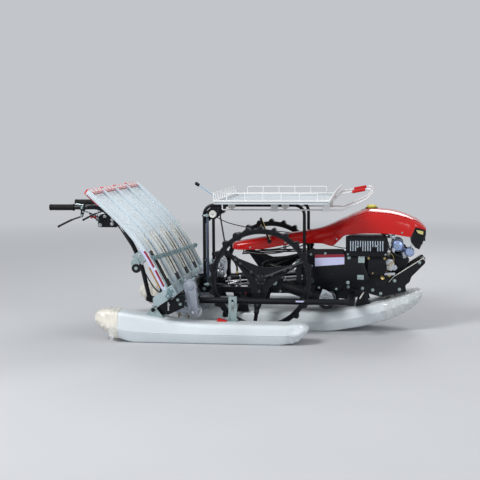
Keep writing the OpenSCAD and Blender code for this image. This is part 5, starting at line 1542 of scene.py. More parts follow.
@dataclass
class SeedlingTray:
    """Sliding tray with its lanes, caps, label strips, feed belts and press rods."""

    foot: tuple[float, float] = (-0.376, 0.312)
    low_slope: float = math.radians(62.5)
    up_slope: float = math.radians(42.5)
    low_length: float = 0.15
    bend: float = 1.1
    up_length: float = 0.22
    steps: int = 32
    half: float = 0.612
    ridge: float = 0.02
    press: float = 0.038
    pitch: float = 0.3

    def line(self) -> list[tuple[float, float, float]]:
        """Points of the tray floor's line from the foot up, each with its slope."""
        low = (
            self.foot[0] - self.low_length * math.cos(self.low_slope),
            self.foot[1] + self.low_length * math.sin(self.low_slope)
        )
        out = [
            (
                self.foot[0] + (low[0] - self.foot[0]) * k / 6, self.foot[1] + (low[1] - self.foot[1]) * k / 6,
                self.low_slope
            )
            for k in range(6)
        ]
        for k in range(self.steps + 1):
            a = self.low_slope + (self.up_slope - self.low_slope) * k / self.steps
            out.append((
                low[0] - self.bend * (math.sin(self.low_slope) - math.sin(a)),
                low[1] + self.bend * (math.cos(a) - math.cos(self.low_slope)),
                a,
            ))
        x, z, a = out[-1]
        out += [
            (x - self.up_length * math.cos(a) * k / 8, z + self.up_length * math.sin(a) * k / 8, a) for k in range(1, 9)
        ]
        return out

    def at(self, share: float, height: float) -> tuple[float, float]:
        """Place at a share of the tray's length and a height above its floor."""
        line = self.line()
        lengths = [0.0]
        for p, q in zip(line, line[1:]):
            lengths.append(lengths[-1] + math.hypot(q[0] - p[0], q[1] - p[1]))
        want = share * lengths[-1]
        i = max(0, min(len(line) - 2, bisect.bisect_right(lengths, want) - 1))
        t = (want - lengths[i]) / (lengths[i + 1] - lengths[i])
        (x, z, a), (u, w, b) = line[i], line[i + 1]
        angle = a + (b - a) * t
        return x + (u - x) * t + height * math.sin(angle), z + (w - z) * t + height * math.cos(angle)

    def strip(
        self, kit: MeshKit, y: float, width: float, low: float, high: float, start: float = 0.0, end: float = 1.0,
        steps: int = 48, crown: float = 0.0
    ) -> None:
        """Adds a bar that follows the tray's line.

        Args:
            kit: Where it is added.
            y: Its middle across the machine.
            width: Its width.
            low: Height of its underside above the floor.
            high: Height of its top.
            start: Share of the length where it starts.
            end: Share where it ends.
            steps: Number of stretches.
            crown: How far its top corners are cut back.
        """
        rings = []
        for k in range(steps + 1):
            s = start + (end - start) * k / steps
            section = [
                (-width / 2, low), (-width / 2, high - crown), (-width / 2 + crown, high), (width / 2 - crown, high),
                (width / 2, high - crown), (width / 2, low)
            ]
            if crown <= 0:
                section = [(-width / 2, low), (-width / 2, high), (width / 2, high), (width / 2, low)]
            ring = []
            for v, h in section:
                x, z = self.at(s, h)
                ring.append((x, y + v, z))
            rings.append(ring)
        kit.rings(rings)

    def build(self) -> None:
        """Builds everything on the tray."""
        self.deck()
        self.strips()
        self.caps()
        self.rods()
        self.belts()

    def deck(self) -> None:
        """Builds the tray's floor with its ridges, lane beads and edge lips."""
        kit = MeshKit()
        self.strip(kit, 0.0, 2 * self.half, -0.006, 0.0, steps=44)
        for k in range(-2, 3):
            wide = 0.024 if abs(k) == 2 else 0.012
            self.strip(kit, k * self.pitch, wide, -0.001, self.ridge, crown=0.004)
        for k in range(-2, 2):
            for s in (0.27, 0.73):
                self.strip(kit, (k + s) * self.pitch, 0.01, -0.001, 0.003, crown=0.002)
        kit.build("tray_floor", TRAY_PLASTIC, Body.TRAY, ("tray_deck",), smooth=40)
        lines = MeshKit()
        for k in range(-2, 2):
            for s in (0.1, 0.4, 0.6, 0.9):
                self.strip(lines, (k + s) * self.pitch, 0.006, -0.0005, 0.0022, 0.02, 0.985, crown=0.0018)
        lines.build("tray_lane_beads", TRAY_PLASTIC, Body.TRAY)
        lip = MeshKit()
        for side in (-1, 1):
            self.strip(lip, side * (self.half - 0.004), 0.0072, 0.0195, 0.0245, crown=0.0024)
        lip.build("tray_edge_lips", TRAY_PLASTIC, Body.TRAY)

    def strips(self) -> None:
        """Adds the blank label strips and the brown wear strips along the tray's edges."""
        pale, red, brown = kits(3)
        for side in (-1, 1):
            y = side * (self.half + 0.0005)
            self.strip(pale, y, 0.0012, -0.004, 0.009, 0.015, 0.375, 20)
            for a, b in ((0.03, 0.175), (0.2, 0.345)):
                self.strip(red, y, 0.0014, 0.008, 0.0205, a, b, 12)
            self.strip(red, side * (self.half - 0.006), 0.01, -0.013, -0.0062, 0.86, 0.985, 12)
            self.strip(brown, side * (self.half - 0.016), 0.018, -0.019, -0.0062, 0.03, 0.215, 20)
        pale.build("tray_blank_strips", LABEL_PALE, Body.TRAY, slot="tray_plastic")
        red.build("tray_red_strips", LABEL_RED, Body.TRAY)
        brown.build("tray_wear_strips", WOOD_BROWN, Body.TRAY, bevel=0.001)

    def caps(self) -> None:
        """Adds the folded lips, the blank plates and the rivets of the caps."""
        x, z, a = self.line()[-1]
        along, up = Vector((-math.cos(a), 0, math.sin(a))), Vector((math.sin(a), 0, math.cos(a)))
        top = Vector((x, 0, z))
        plates, rims, rivets = kits(3)
        for k in range(4):
            y = (k - 1.5) * self.pitch
            a0 = top - along * 0.019 + up * 0.0143
            b0 = top + along * 0.007 + up * 0.0171
            front = top - along * 0.0242 + up * 0.0094
            plates.slab([
                front + Vector((0, y - 0.104, 0)), front + Vector((0, y + 0.104, 0)),
                front + along * 0.004 + up * 0.0048 + Vector((0, y + 0.104, 0)),
                front + along * 0.004 + up * 0.0048 + Vector((0, y - 0.104, 0))
            ], (up * 0.7 - along * 0.7) * 0.0008)
            for y0, y1 in ((-0.112, -0.046), (-0.036, 0.036), (0.046, 0.112)):
                quad = [
                    a0 + Vector((0, y + y0, 0)), a0 + Vector((0, y + y1, 0)), b0 + Vector((0, y + y1, 0)),
                    b0 + Vector((0, y + y0, 0))
                ]
                plates.slab(quad, up * 0.0006)
            edge = [a0 + Vector((0, y - 0.126, -0.0002)), a0 + Vector((0, y + 0.126, -0.0002))]
            rims.tube(edge, 0.0022, 8)
            back = top + along * 0.0145 + up * 0.006
            rims.tube([back + Vector((0, y - 0.126, 0)), back + Vector((0, y + 0.126, 0))], 0.0024, 8)
            for s in (-0.118, 0.118):
                rivets.bolt(top - along * 0.006 + up * 0.0146 + Vector((0, y + s, 0)), up, 0.006, 0.002)
        plates.build("cap_blank_plates", LABEL_ROSE, Body.TRAY)
        rims.build("cap_rims", CAP_PLASTIC, Body.TRAY)
        rivets.build("cap_rivets", ZINC, Body.TRAY)

    def rods(self) -> None:
        """Builds the flat press slats and adds their crossbar with its end fittings."""
        bars, clips = kits(2)
        spots = [(k + s) * self.pitch for k in range(-2, 2) for s in (0.017, 0.267, 0.767) if (k, s) != (-2, 0.017)]
        for y in spots:
            self.strip(bars, y, 0.018, self.press - 0.004, self.press + 0.0032, 0.075, 0.44, 20, crown=0.0016)
            rings = []
            for s, lift in ((0.438, 0.0), (0.45, 0.004), (0.46, 0.012), (0.466, 0.02)):
                (x, z), (u, w) = self.at(s, self.press - 0.0012 + lift), self.at(s, self.press + 0.0026 + lift)
                rings.append([(x, y - 0.009, z), (u, y - 0.009, w), (u, y + 0.009, w), (x, y + 0.009, z)])
            bars.rings(rings)
        bars.build("press_slats", CREAM_STEEL, Body.TRAY, ("press_rods",), smooth=40)
        ends = [(-0.606, 0.262), (0.606, 0.19)]
        rings = []
        for y, s in ends:
            rings.append([
                (x, y, z)
                for x, z in (
                    self.at(s - 0.018, self.press + 0.0034), self.at(s - 0.018, self.press + 0.007),
                    self.at(s + 0.018, self.press + 0.007), self.at(s + 0.018, self.press + 0.0034)
                )
            ])
        clips.rings(rings)
        for y in spots:
            s = 0.262 + (y + 0.606) / 1.212 * (0.19 - 0.262)
            x, z = self.at(s, self.press + 0.007)
            u, w = self.at(s, self.press + 0.008)
            clips.bolt((x, y, z), (u - x, 0, w - z), 0.01, 0.004)
        for y, s in ends:
            inside = y * (1 - 0.006)
            low, high = self.at(s, self.ridge - 0.002), self.at(s, self.press + 0.008)
            low2, high2 = self.at(s + 0.024, self.ridge - 0.002), self.at(s + 0.024, self.press + 0.008)
            clips.side_slab([
                (low[0], low[1]), (high[0], high[1]), (high2[0], high2[1]), (low2[0], low2[1])
            ], inside, 0.004 if y < 0 else -0.004)
            clips.bolt(((high[0] + high2[0]) / 2, y, (high[1] + high2[1]) / 2 - 0.006), (0, y, 0), 0.014, 0.005)
        clips.build("press_crossbar", TEAL_STEEL, Body.TRAY)

    def belts(self) -> None:
        """Builds the feed belts and adds their lugs, their rollers, and thin dark plates that paint the shade of the
        floor's slots.
        """
        belts, lugs, rolls = kits(3)
        # The floor's slots are not cut: thin dark plates laid on the floor paint the shade inside them.
        slots = MeshKit()
        for k in range(4):
            for offset in (-0.108, -0.074, 0.06, 0.128):
                self.strip(slots, (k - 1.5) * self.pitch + offset, 0.02, 0.0002, 0.0012, 0.03, 0.425, 20)
            y = (k - 1.5) * self.pitch + 0.014
            self.strip(belts, y, 0.074, 0.0002, 0.0042, 0.004, 0.33, 24, crown=0.001)
            for j in range(14):
                s = 0.012 + 0.0205 * j
                p, q = self.at(s, 0.004), self.at(s + 0.008, 0.004)
                p2, q2 = self.at(s, 0.0092), self.at(s + 0.006, 0.007)
                for y0 in (y - 0.034, y + 0.01):
                    lugs.side_slab([(p[0], p[1]), (q[0], q[1]), (q2[0], q2[1]), (p2[0], p2[1])], y0, 0.024)
            x, z = self.at(0.302, 0.0035)
            rolls.rod((x, y - 0.034, z), (x, y + 0.034, z), 0.0065)
        slots.build("tray_floor_slots", SLOT_SHADE_PAINT, Body.TRAY)
        belts.build("feed_belt_bands", RUBBER, Body.TRAY, ("feed_belts",))
        lugs.build("feed_belt_lugs", RUBBER, Body.TRAY)
        rolls.build("feed_belt_rollers", BLACK_PLASTIC, Body.TRAY)


# Frame.


@dataclass
class Frame:
    """Bolts, castings, rods, hoses and cables between the hoops, the gearbox and the handle."""

    hoop_rear: float = -0.204
    hoop_front: float = 0.429
    hoop_y: float = 0.175
    rail_y: float = 0.396
    rail_z: float = 0.225
    drive: tuple[float, float] = (-0.236, 0.33)
    cylinder_a: tuple[float, float, float] = (-0.07, 0.0, 0.312)
    cylinder_b: tuple[float, float, float] = (0.368, 0.0, 0.362)

    def build(self) -> None:
        """Builds everything on the frame."""
        self.clamps()
        self.valve()
        self.cylinder()
        self.cables()
        self.gearbox()
        self.tongue_lever()
        self.skirt()

    def clamps(self) -> None:
        """Adds the hoops' clamps, the beads of hoops and rails, and their bolts."""
        plates, bolts, beads = kits(3)
        for x in (self.hoop_rear, self.hoop_front):
            plates.collar((x, self.hoop_y, 0.28), UP, [(0, 0.01), (0.01, 0.01), (0.01, 0.0125), (0, 0.015)], 28)
            plates.band((x, self.hoop_y, 0.448), UP, (-0.01, 0.01), (0.01, 0.013), 28)
            bolts.bolt((x, self.hoop_y + 0.0128, 0.448), LEFT, 0.013)
            bolts.bolt((x, self.hoop_y + 0.01, 0.262), LEFT, 0.015)
        for x, z in ((-0.248, 0.302), (-0.205, 0.268), (-0.252, 0.352)):
            bolts.bolt((x, 0.1933, z), LEFT, 0.013)
        for x in (-0.196, 0.705):
            way = -1 if x < 0 else 1
            beads.band(
                (x - way * 0.012, self.rail_y, self.rail_z), FORWARD, (-0.005, 0.005), (0.0188, 0.0212), 32, 0.002
            )
        for x in (0.024, 0.455):
            beads.band((x, self.rail_y, self.rail_z), FORWARD, (-0.014, 0.014), (0.0188, 0.0214), 32)
        bolts.bolts([
            (-0.214, self.rail_y + 0.0052, 0.262), (-0.232, self.rail_y + 0.0052, 0.31),
            (-0.206, self.rail_y + 0.0052, 0.222)
        ], LEFT, 0.016)
        bolts.bolts([(0.024, self.rail_y + 0.021, self.rail_z + 0.002)], LEFT, 0.012)
        beads.band((self.drive[0], 0.19, self.drive[1]), LEFT, (-0.012, 0.012), (0.0205, 0.024), 32, 0.002)
        beads.band((self.drive[0], 0.3, self.drive[1]), LEFT, (-0.02, 0.02), (0.0201, 0.0228), 32)
        for x in (-0.226 + 0.06, 0.2, 0.4):
            beads.tube([(x, 0.1645, 0.2795), (x, 0.1855, 0.2795), (x, 0.1855, 0.2445)], 0.0022, 6)
        bolts.both_sides().build("frame_bolts", ZINC)
        plates.both_sides().build("hoop_clamps", BLACK_PAINT)
        beads.both_sides().build("frame_beads", BLACK_PAINT)

    def valve(self) -> None:
        """Adds the bright valve body behind the near wheel, its bracket and the shift rods beside it."""
        cast, steel, plate = kits(3)
        corners = (
            (-0.15, 0.322), (-0.164, 0.372), (-0.166, 0.43), (-0.122, 0.452), (-0.09, 0.43), (-0.088, 0.378),
            (-0.104, 0.322), (-0.15, 0.322)
        )
        cast.side_slab(rounded_outline(corners, 0.01, 3), -0.052, 0.074)
        cast.solid((-0.148, -0.052, 0.424), RIGHT, (
            (0, 0.021), (0.014, 0.02), (0.018, 0.016), (0.018, 0.008), (0.026, 0.007)
        ), 24)
        cast.solid((-0.11, -0.052, 0.412), RIGHT, ((0, 0.016), (0.018, 0.014)), 20)
        cast.solid((-0.126, -0.052, 0.352), RIGHT, (
            (0, 0.024), (0.01, 0.024), (0.014, 0.018), (0.014, 0.01), (0.02, 0.01)
        ), 24)
        cast.rod((-0.158, -0.062, 0.392), (-0.098, -0.062, 0.38), 0.009)
        cast.rod((-0.136, -0.064, 0.43), (-0.118, -0.064, 0.348), 0.007)
        lever = (
            (-0.066, 0.236), (-0.03, 0.252), (0.02, 0.25), (0.062, 0.264), (0.072, 0.244), (0.03, 0.236),
            (-0.02, 0.238), (-0.058, 0.226)
        )
        cast.side_slab(lever, -0.062, 0.016)
        cast.solid((0.052, -0.062, 0.254), RIGHT, ((0, 0.014), (0.01, 0.012)), 20)
        cast.solid((-0.052, -0.062, 0.238), RIGHT, ((0, 0.012), (0.01, 0.01)), 20)
        cast.build("valve_castings", BRIGHT_CAST, bevel=0.002)
        steel.rod((-0.09, -0.05, 0.296), (0.43, -0.05, 0.34), 0.0055)
        steel.rod((-0.09, -0.03, 0.272), (0.43, -0.03, 0.318), 0.0055)
        steel.rod((-0.063, -0.054, 0.3), (-0.057, -0.054, 0.236), 0.0042)
        steel.rod((-0.104, -0.054, 0.268), (-0.012, -0.054, 0.298), 0.0042)
        steel.rod((0.006, -0.056, 0.332), (0.01, -0.056, 0.252), 0.0042)
        for x, z in ((-0.063, 0.3), (-0.057, 0.236), (-0.012, 0.298), (0.006, 0.332), (0.01, 0.252)):
            steel.ball((x, -0.056, z), 0.0078, 14, 0.8, LEFT)
        steel.block((0.052, -0.06, 0.29), (0.082, -0.022, 0.318))
        steel.build("shift_rods", BRIGHT_STEEL)
        plate.side_slab([
            (-0.152, 0.326), (-0.104, 0.326), (-0.09, 0.28), (-0.118, 0.244), (-0.148, 0.25)
        ], -0.03, 0.006)
        plate.side_slab([(-0.146, 0.296), (-0.102, 0.284), (-0.076, 0.205), (-0.135, 0.205)], -0.09, 0.004)
        plate.side_slab([(-0.04, 0.262), (0.0, 0.262), (-0.008, 0.205), (-0.03, 0.205)], -0.092, 0.004)
        plate.rod((-0.128, -0.09, 0.262), (-0.128, 0.09, 0.262), 0.009)
        plate.rod((-0.02, -0.165, 0.252), (-0.02, 0.165, 0.252), 0.008)
        plate.build("valve_bracket", BLACK_PAINT, bevel=0.001)
        screws = MeshKit()
        screws.bolts([
            (x, -0.0525, z) for x, z in ((-0.158, 0.352), (-0.098, 0.342), (-0.16, 0.442 - 0.012), (-0.096, 0.424))
        ], RIGHT, 0.009)
        screws.build("valve_screws", ZINC)

    def cylinder(self) -> None:
        """Adds the cylinder's rings, pins, rod, hoses and fittings."""
        a, b = Vector(self.cylinder_a), Vector(self.cylinder_b)
        way = (b - a).normalized()
        kit = MeshKit()
        for s in (0.0185, 0.24):
            kit.band(a + way * s, way, (-0.004, 0.004), (0.0268, 0.0292), 36)
        kit.build("cylinder_rings", BLACK_PAINT)
        pins = MeshKit()
        for y in (-0.0262, 0.0262):
            pins.bolt((a.x, y, a.z), (0, y, 0), 0.014)
        pins.rod(a + way * 0.256, b - way * 0.01, 0.0103)
        pins.build("cylinder_rod", BRIGHT_STEEL)
        fitting, hose = kits(2)
        for s, y in ((0.05, -0.01), (0.215, 0.01)):
            p = a + way * s + Vector((0, y, 0.026))
            fitting.bolt(p, UP, 0.015, 0.012)
            end = (-0.118, y * 3.0, 0.452) if y < 0 else (0.44, 0.03, 0.44)
            mid = p + Vector((0, 0, 0.055))
            hose.pipe([
                p + Vector((0, 0, 0.008)), mid, Vector(end) + Vector((0.03 if y < 0 else -0.03, 0, 0.035)), end
            ], 0.04, 0.0065, 12)
        fitting.build("hose_fittings", YELLOW_ZINC)
        hose.build("hydraulic_hoses", CABLE)

    def cables(self) -> None:
        """Adds control cables that are fixed at both ends, their clips, and the link rods beside them."""
        kit, clips = kits(2)
        for side, y0 in ((-1, 0.1), (1, 0.088)):
            for k in range(2):
                y = side * (y0 - 0.012 * k)
                kit.pipe([
                        (-0.79, y, 0.662), (-0.726, side * 0.12, 0.59 - 0.01 * k), (-0.64, side * 0.13, 0.452),
                        (-0.6, side * 0.12, 0.34),
                        (-0.535, y, 0.226), (-0.45, y, 0.2095), (-0.372, y, 0.2095), (-0.285, y, 0.24),
                        (-0.215, y, 0.29),
                        (-0.16, y, 0.33 + 0.02 * k), (-0.13, side * 0.04, 0.345 + 0.03 * k),
                        (-0.12, side * 0.02, 0.38 + 0.03 * k),
                    ], 0.05, 0.0036, 8, steps=5)
        for side in (-1, 1):
            kit.pipe([
                    (-0.205, side * 0.15, 0.3), (-0.1, side * 0.156, 0.2905), (0.3, side * 0.157, 0.2905),
                    (0.42, side * 0.15, 0.3),
                    (0.47, side * 0.122, 0.44), (0.54, side * 0.11, 0.47),
                    (0.69, side * 0.128, 0.48 if side > 0 else 0.4985),
                ], 0.05, 0.0034, 8, steps=5)
            for x in (0.02, 0.18, 0.34):
                clips.band((x, side * 0.157, 0.2905), FORWARD, (-0.004, 0.004), (0.0034, 0.005), 16)
        kit.pipe([
            (-0.186, 0.155, 0.7), (-0.12, 0.165, 0.66), (0.0, 0.17, 0.63), (0.18, 0.165, 0.606), (0.419, 0.172, 0.585)
        ], 0.06, 0.003, 8)
        kit.pipe([
            (0.419, 0.172, 0.585), (0.52, 0.15, 0.53), (0.64, 0.13, 0.5), (0.692, 0.12, 0.498)
        ], 0.04, 0.003, 8, steps=5)
        kit.tube(sagging((0.05, -0.068, 0.49), (0.418, -0.168, 0.545), 0.03), 0.0036, 8)
        kit.tube(sagging((0.11, 0.068, 0.494), (0.418, 0.168, 0.56), 0.028), 0.0036, 8)
        kit.build("control_cables", CABLE)
        clips.build("cable_clips", ZINC)
        link = MeshKit()
        link.rod((-0.158, 0.165, 0.712), (-0.092, 0.03, 0.452), 0.0052)
        link.ball((-0.158, 0.165, 0.712), 0.009, 14)
        link.ball((-0.092, 0.03, 0.452), 0.009, 14)
        link.build("slanted_link", BLACK_PAINT)
        eyes = MeshKit()
        for z in (0.732, 0.296):
            eyes.bolt((-0.18, -0.2142, z), RIGHT, 0.012, 0.006)
            eyes.rod((-0.204, -0.207, z), (-0.18, -0.207, z), 0.0085, sides=16)
            eyes.band((-0.18, -0.207, z), LEFT, (-0.005, 0.005), (0.009, 0.0108), 24, 0.001)
        eyes.build("link_rod_eyes", ZINC)
        sleeve = MeshKit()
        sleeve.lathe((-0.178, -0.207, 0.312), UP, (
            (0, 0.0052), (0, 0.007), (0.008, 0.0088), (0.396, 0.0088), (0.404, 0.007), (0.404, 0.0052)
        ), 28)
        sleeve.build("link_rod_sleeve", SLATE_STEEL)
        plate = MeshKit()
        plate.side_slab([(0.395, 0.2245), (0.447, 0.2245), (0.447, 0.2335), (0.395, 0.2335)], -0.4143, -0.0022)
        plate.build("rail_blank_plate", LABEL_PALE)

    def gearbox(self) -> None:
        """Adds covers, ribs, bolts and plugs to the gearbox and the axle housings."""
        ribs, bolts, bright = kits(3)
        for x0, x1 in ((0.47, 0.505), (0.52, 0.545), (0.575, 0.59), (0.615, 0.622)):
            ribs.side_slab([(x0, 0.4), (x0 + 0.006, 0.4), (x1 + 0.006, 0.29), (x1, 0.29)], 0.1115, 0.01)
        ribs.solid((0.52, 0.112, 0.395), LEFT, ((0, 0.046), (0.01, 0.044), (0.014, 0.036)), 36)
        ribs.solid((0.612, 0.112, 0.35), LEFT, ((0, 0.034), (0.01, 0.032), (0.013, 0.024)), 32)
        ribs.build("gearbox_covers", BLACK_CAST, bevel=0.0015)
        bolts.bolts(circle((0.52, 0.1245, 0.395), 0.04, turns(6)), LEFT, 0.009)
        bolts.bolts(circle((0.612, 0.1235, 0.35), 0.028, turns(4)), LEFT, 0.008)
        for y in (-0.06, 0.0, 0.06):
            bolts.bolt((0.4523, y, 0.39), BACKWARD, 0.012)
            bolts.bolt((0.4523, y, 0.3), BACKWARD, 0.012)
        bolts.bolt((0.56, 0.0, 0.448), UP, 0.024, 0.014)
        bolts.build("gearbox_bolts", ZINC)
        for side in (-1, 1):
            bright.collar((0.571, side * 0.1225, 0.208), (0, side, 0), [
                (0, 0.0418), (0.006, 0.0418), (0.006, 0.05), (0, 0.052)
            ], 40)
            places = circle((0.571, side * 0.1285, 0.208), 0.046, [t + 0.3 for t in turns(6)])
            bright.bolts(places, (0, side, 0), 0.008)
        bright.build("axle_flanges", GREY_CAST)
        shaft = MeshKit()
        for side in (-1, 1):
            shaft.band((0.394, side * 0.175, 0.44), LEFT, (-0.01, 0.01), (0.0102, 0.0165), 28)
            shaft.bolt((0.394, side * 0.2312, 0.44), (0, side, 0), 0.015, 0.006)
            shaft.bolt((0.4535, side * 0.2312, 0.414), (0, side, 0), 0.011, 0.005)
        shaft.build("lift_shaft_collars", ZINC)

    def tongue_lever(self) -> None:
        """Adds the hand lever that stands beside the bonnet's tongue and its gate."""
        blade, edge = kits(2)
        root, tip = Vector((0.199, -0.078, 0.56)), Vector((0.146, -0.078, 0.7))
        way = (tip - root).normalized()
        side = Vector((way.z, 0, -way.x))
        blade.slab([root + side * 0.008, tip + side * 0.005, tip - side * 0.005, root - side * 0.008], (0, 0.004, 0))
        blade.slab([
            tip + side * 0.007 - way * 0.03, tip + side * 0.006 + way * 0.012, tip - side * 0.008 + way * 0.01,
            tip - side * 0.008 - way * 0.03
        ], (0, 0.008, 0))
        blade.rod((0.199, -0.082, 0.56), (0.199, -0.068, 0.56), 0.012)
        blade.build("tongue_lever", BLACK_PAINT, bevel=0.001)
        edge.tube([root + side * 0.008, root.lerp(tip, 0.5) + side * 0.0065, tip + side * 0.006], 0.0022, 8)
        edge.tube([
            root.lerp(tip, 0.35) - side * 0.01, root.lerp(tip, 0.62) - side * 0.024, root.lerp(tip, 0.8) - side * 0.012
        ], 0.0022, 8)
        edge.build("tongue_lever_spring", YELLOW_ZINC)

    def skirt(self) -> None:
        """Builds the side plates below the engine and adds their bolts and lips, a slanted rod, and pale bars that
        paint the highlight on their upper edges.
        """
        bolts, lips, gold = kits(3)
        y = 0.1192
        skirt = MeshKit()
        outline = (
            (0.662, 0.292), (0.859, 0.298), (0.945, 0.306), (0.982, 0.346), (1.164, 0.463), (1.174, 0.452),
            (1.175, 0.434), (1.092, 0.348),
            (1.08, 0.314), (1.054, 0.294), (1.061, 0.255), (0.911, 0.219), (0.859, 0.232), (0.793, 0.251),
            (0.681, 0.27),
        )
        skirt.side_slab(outline, 0.1142, 0.005)
        gusset = (
            (0.56, 0.29), (0.58, 0.214), (0.64, 0.206), (0.7, 0.2), (0.752, 0.214), (0.79, 0.238), (0.8, 0.284),
            (0.662, 0.29)
        )
        skirt.side_slab(gusset, 0.113, 0.004)
        skirt.both_sides().build("skirt_plates", BLACK_PAINT, bevel=0.0008)
        bolts.bolts([
            (x, y, z)
            for x, z in (
                (0.7, 0.28), (0.789, 0.272), (0.853, 0.262), (0.902, 0.24), (0.988, 0.322), (1.018, 0.268),
                (1.14, 0.438)
            )
        ], LEFT, 0.012)
        path = rounded([
            (0.684, y, 0.271), (0.793, y, 0.252), (0.859, y, 0.233), (0.911, y, 0.22), (1.058, y, 0.256)
        ], 0.02)
        lips.tube(path, 0.003, 8)
        lips.both_sides().build("skirt_lips", BLACK_PAINT)
        bolts.both_sides().build("skirt_bolts", ZINC)
        # Painted highlight: a pale bar along each plate's upper edge stands for the light that edge catches.
        for s in (-1, 1):
            gold.rod((0.8, s * 0.104, 0.25), (0.772, s * 0.15, 0.15 + 0.06), 0.0045)
            gold.pipe([
                (0.952, s * 0.1175, 0.314), (0.984, s * 0.1175, 0.349), (1.162, s * 0.1175, 0.4645),
                (1.172, s * 0.1175, 0.453)
            ], 0.01, 0.0026, 8)
        gold.build("skirt_edges", CREAM_STEEL)


# Wheels and swing cases.


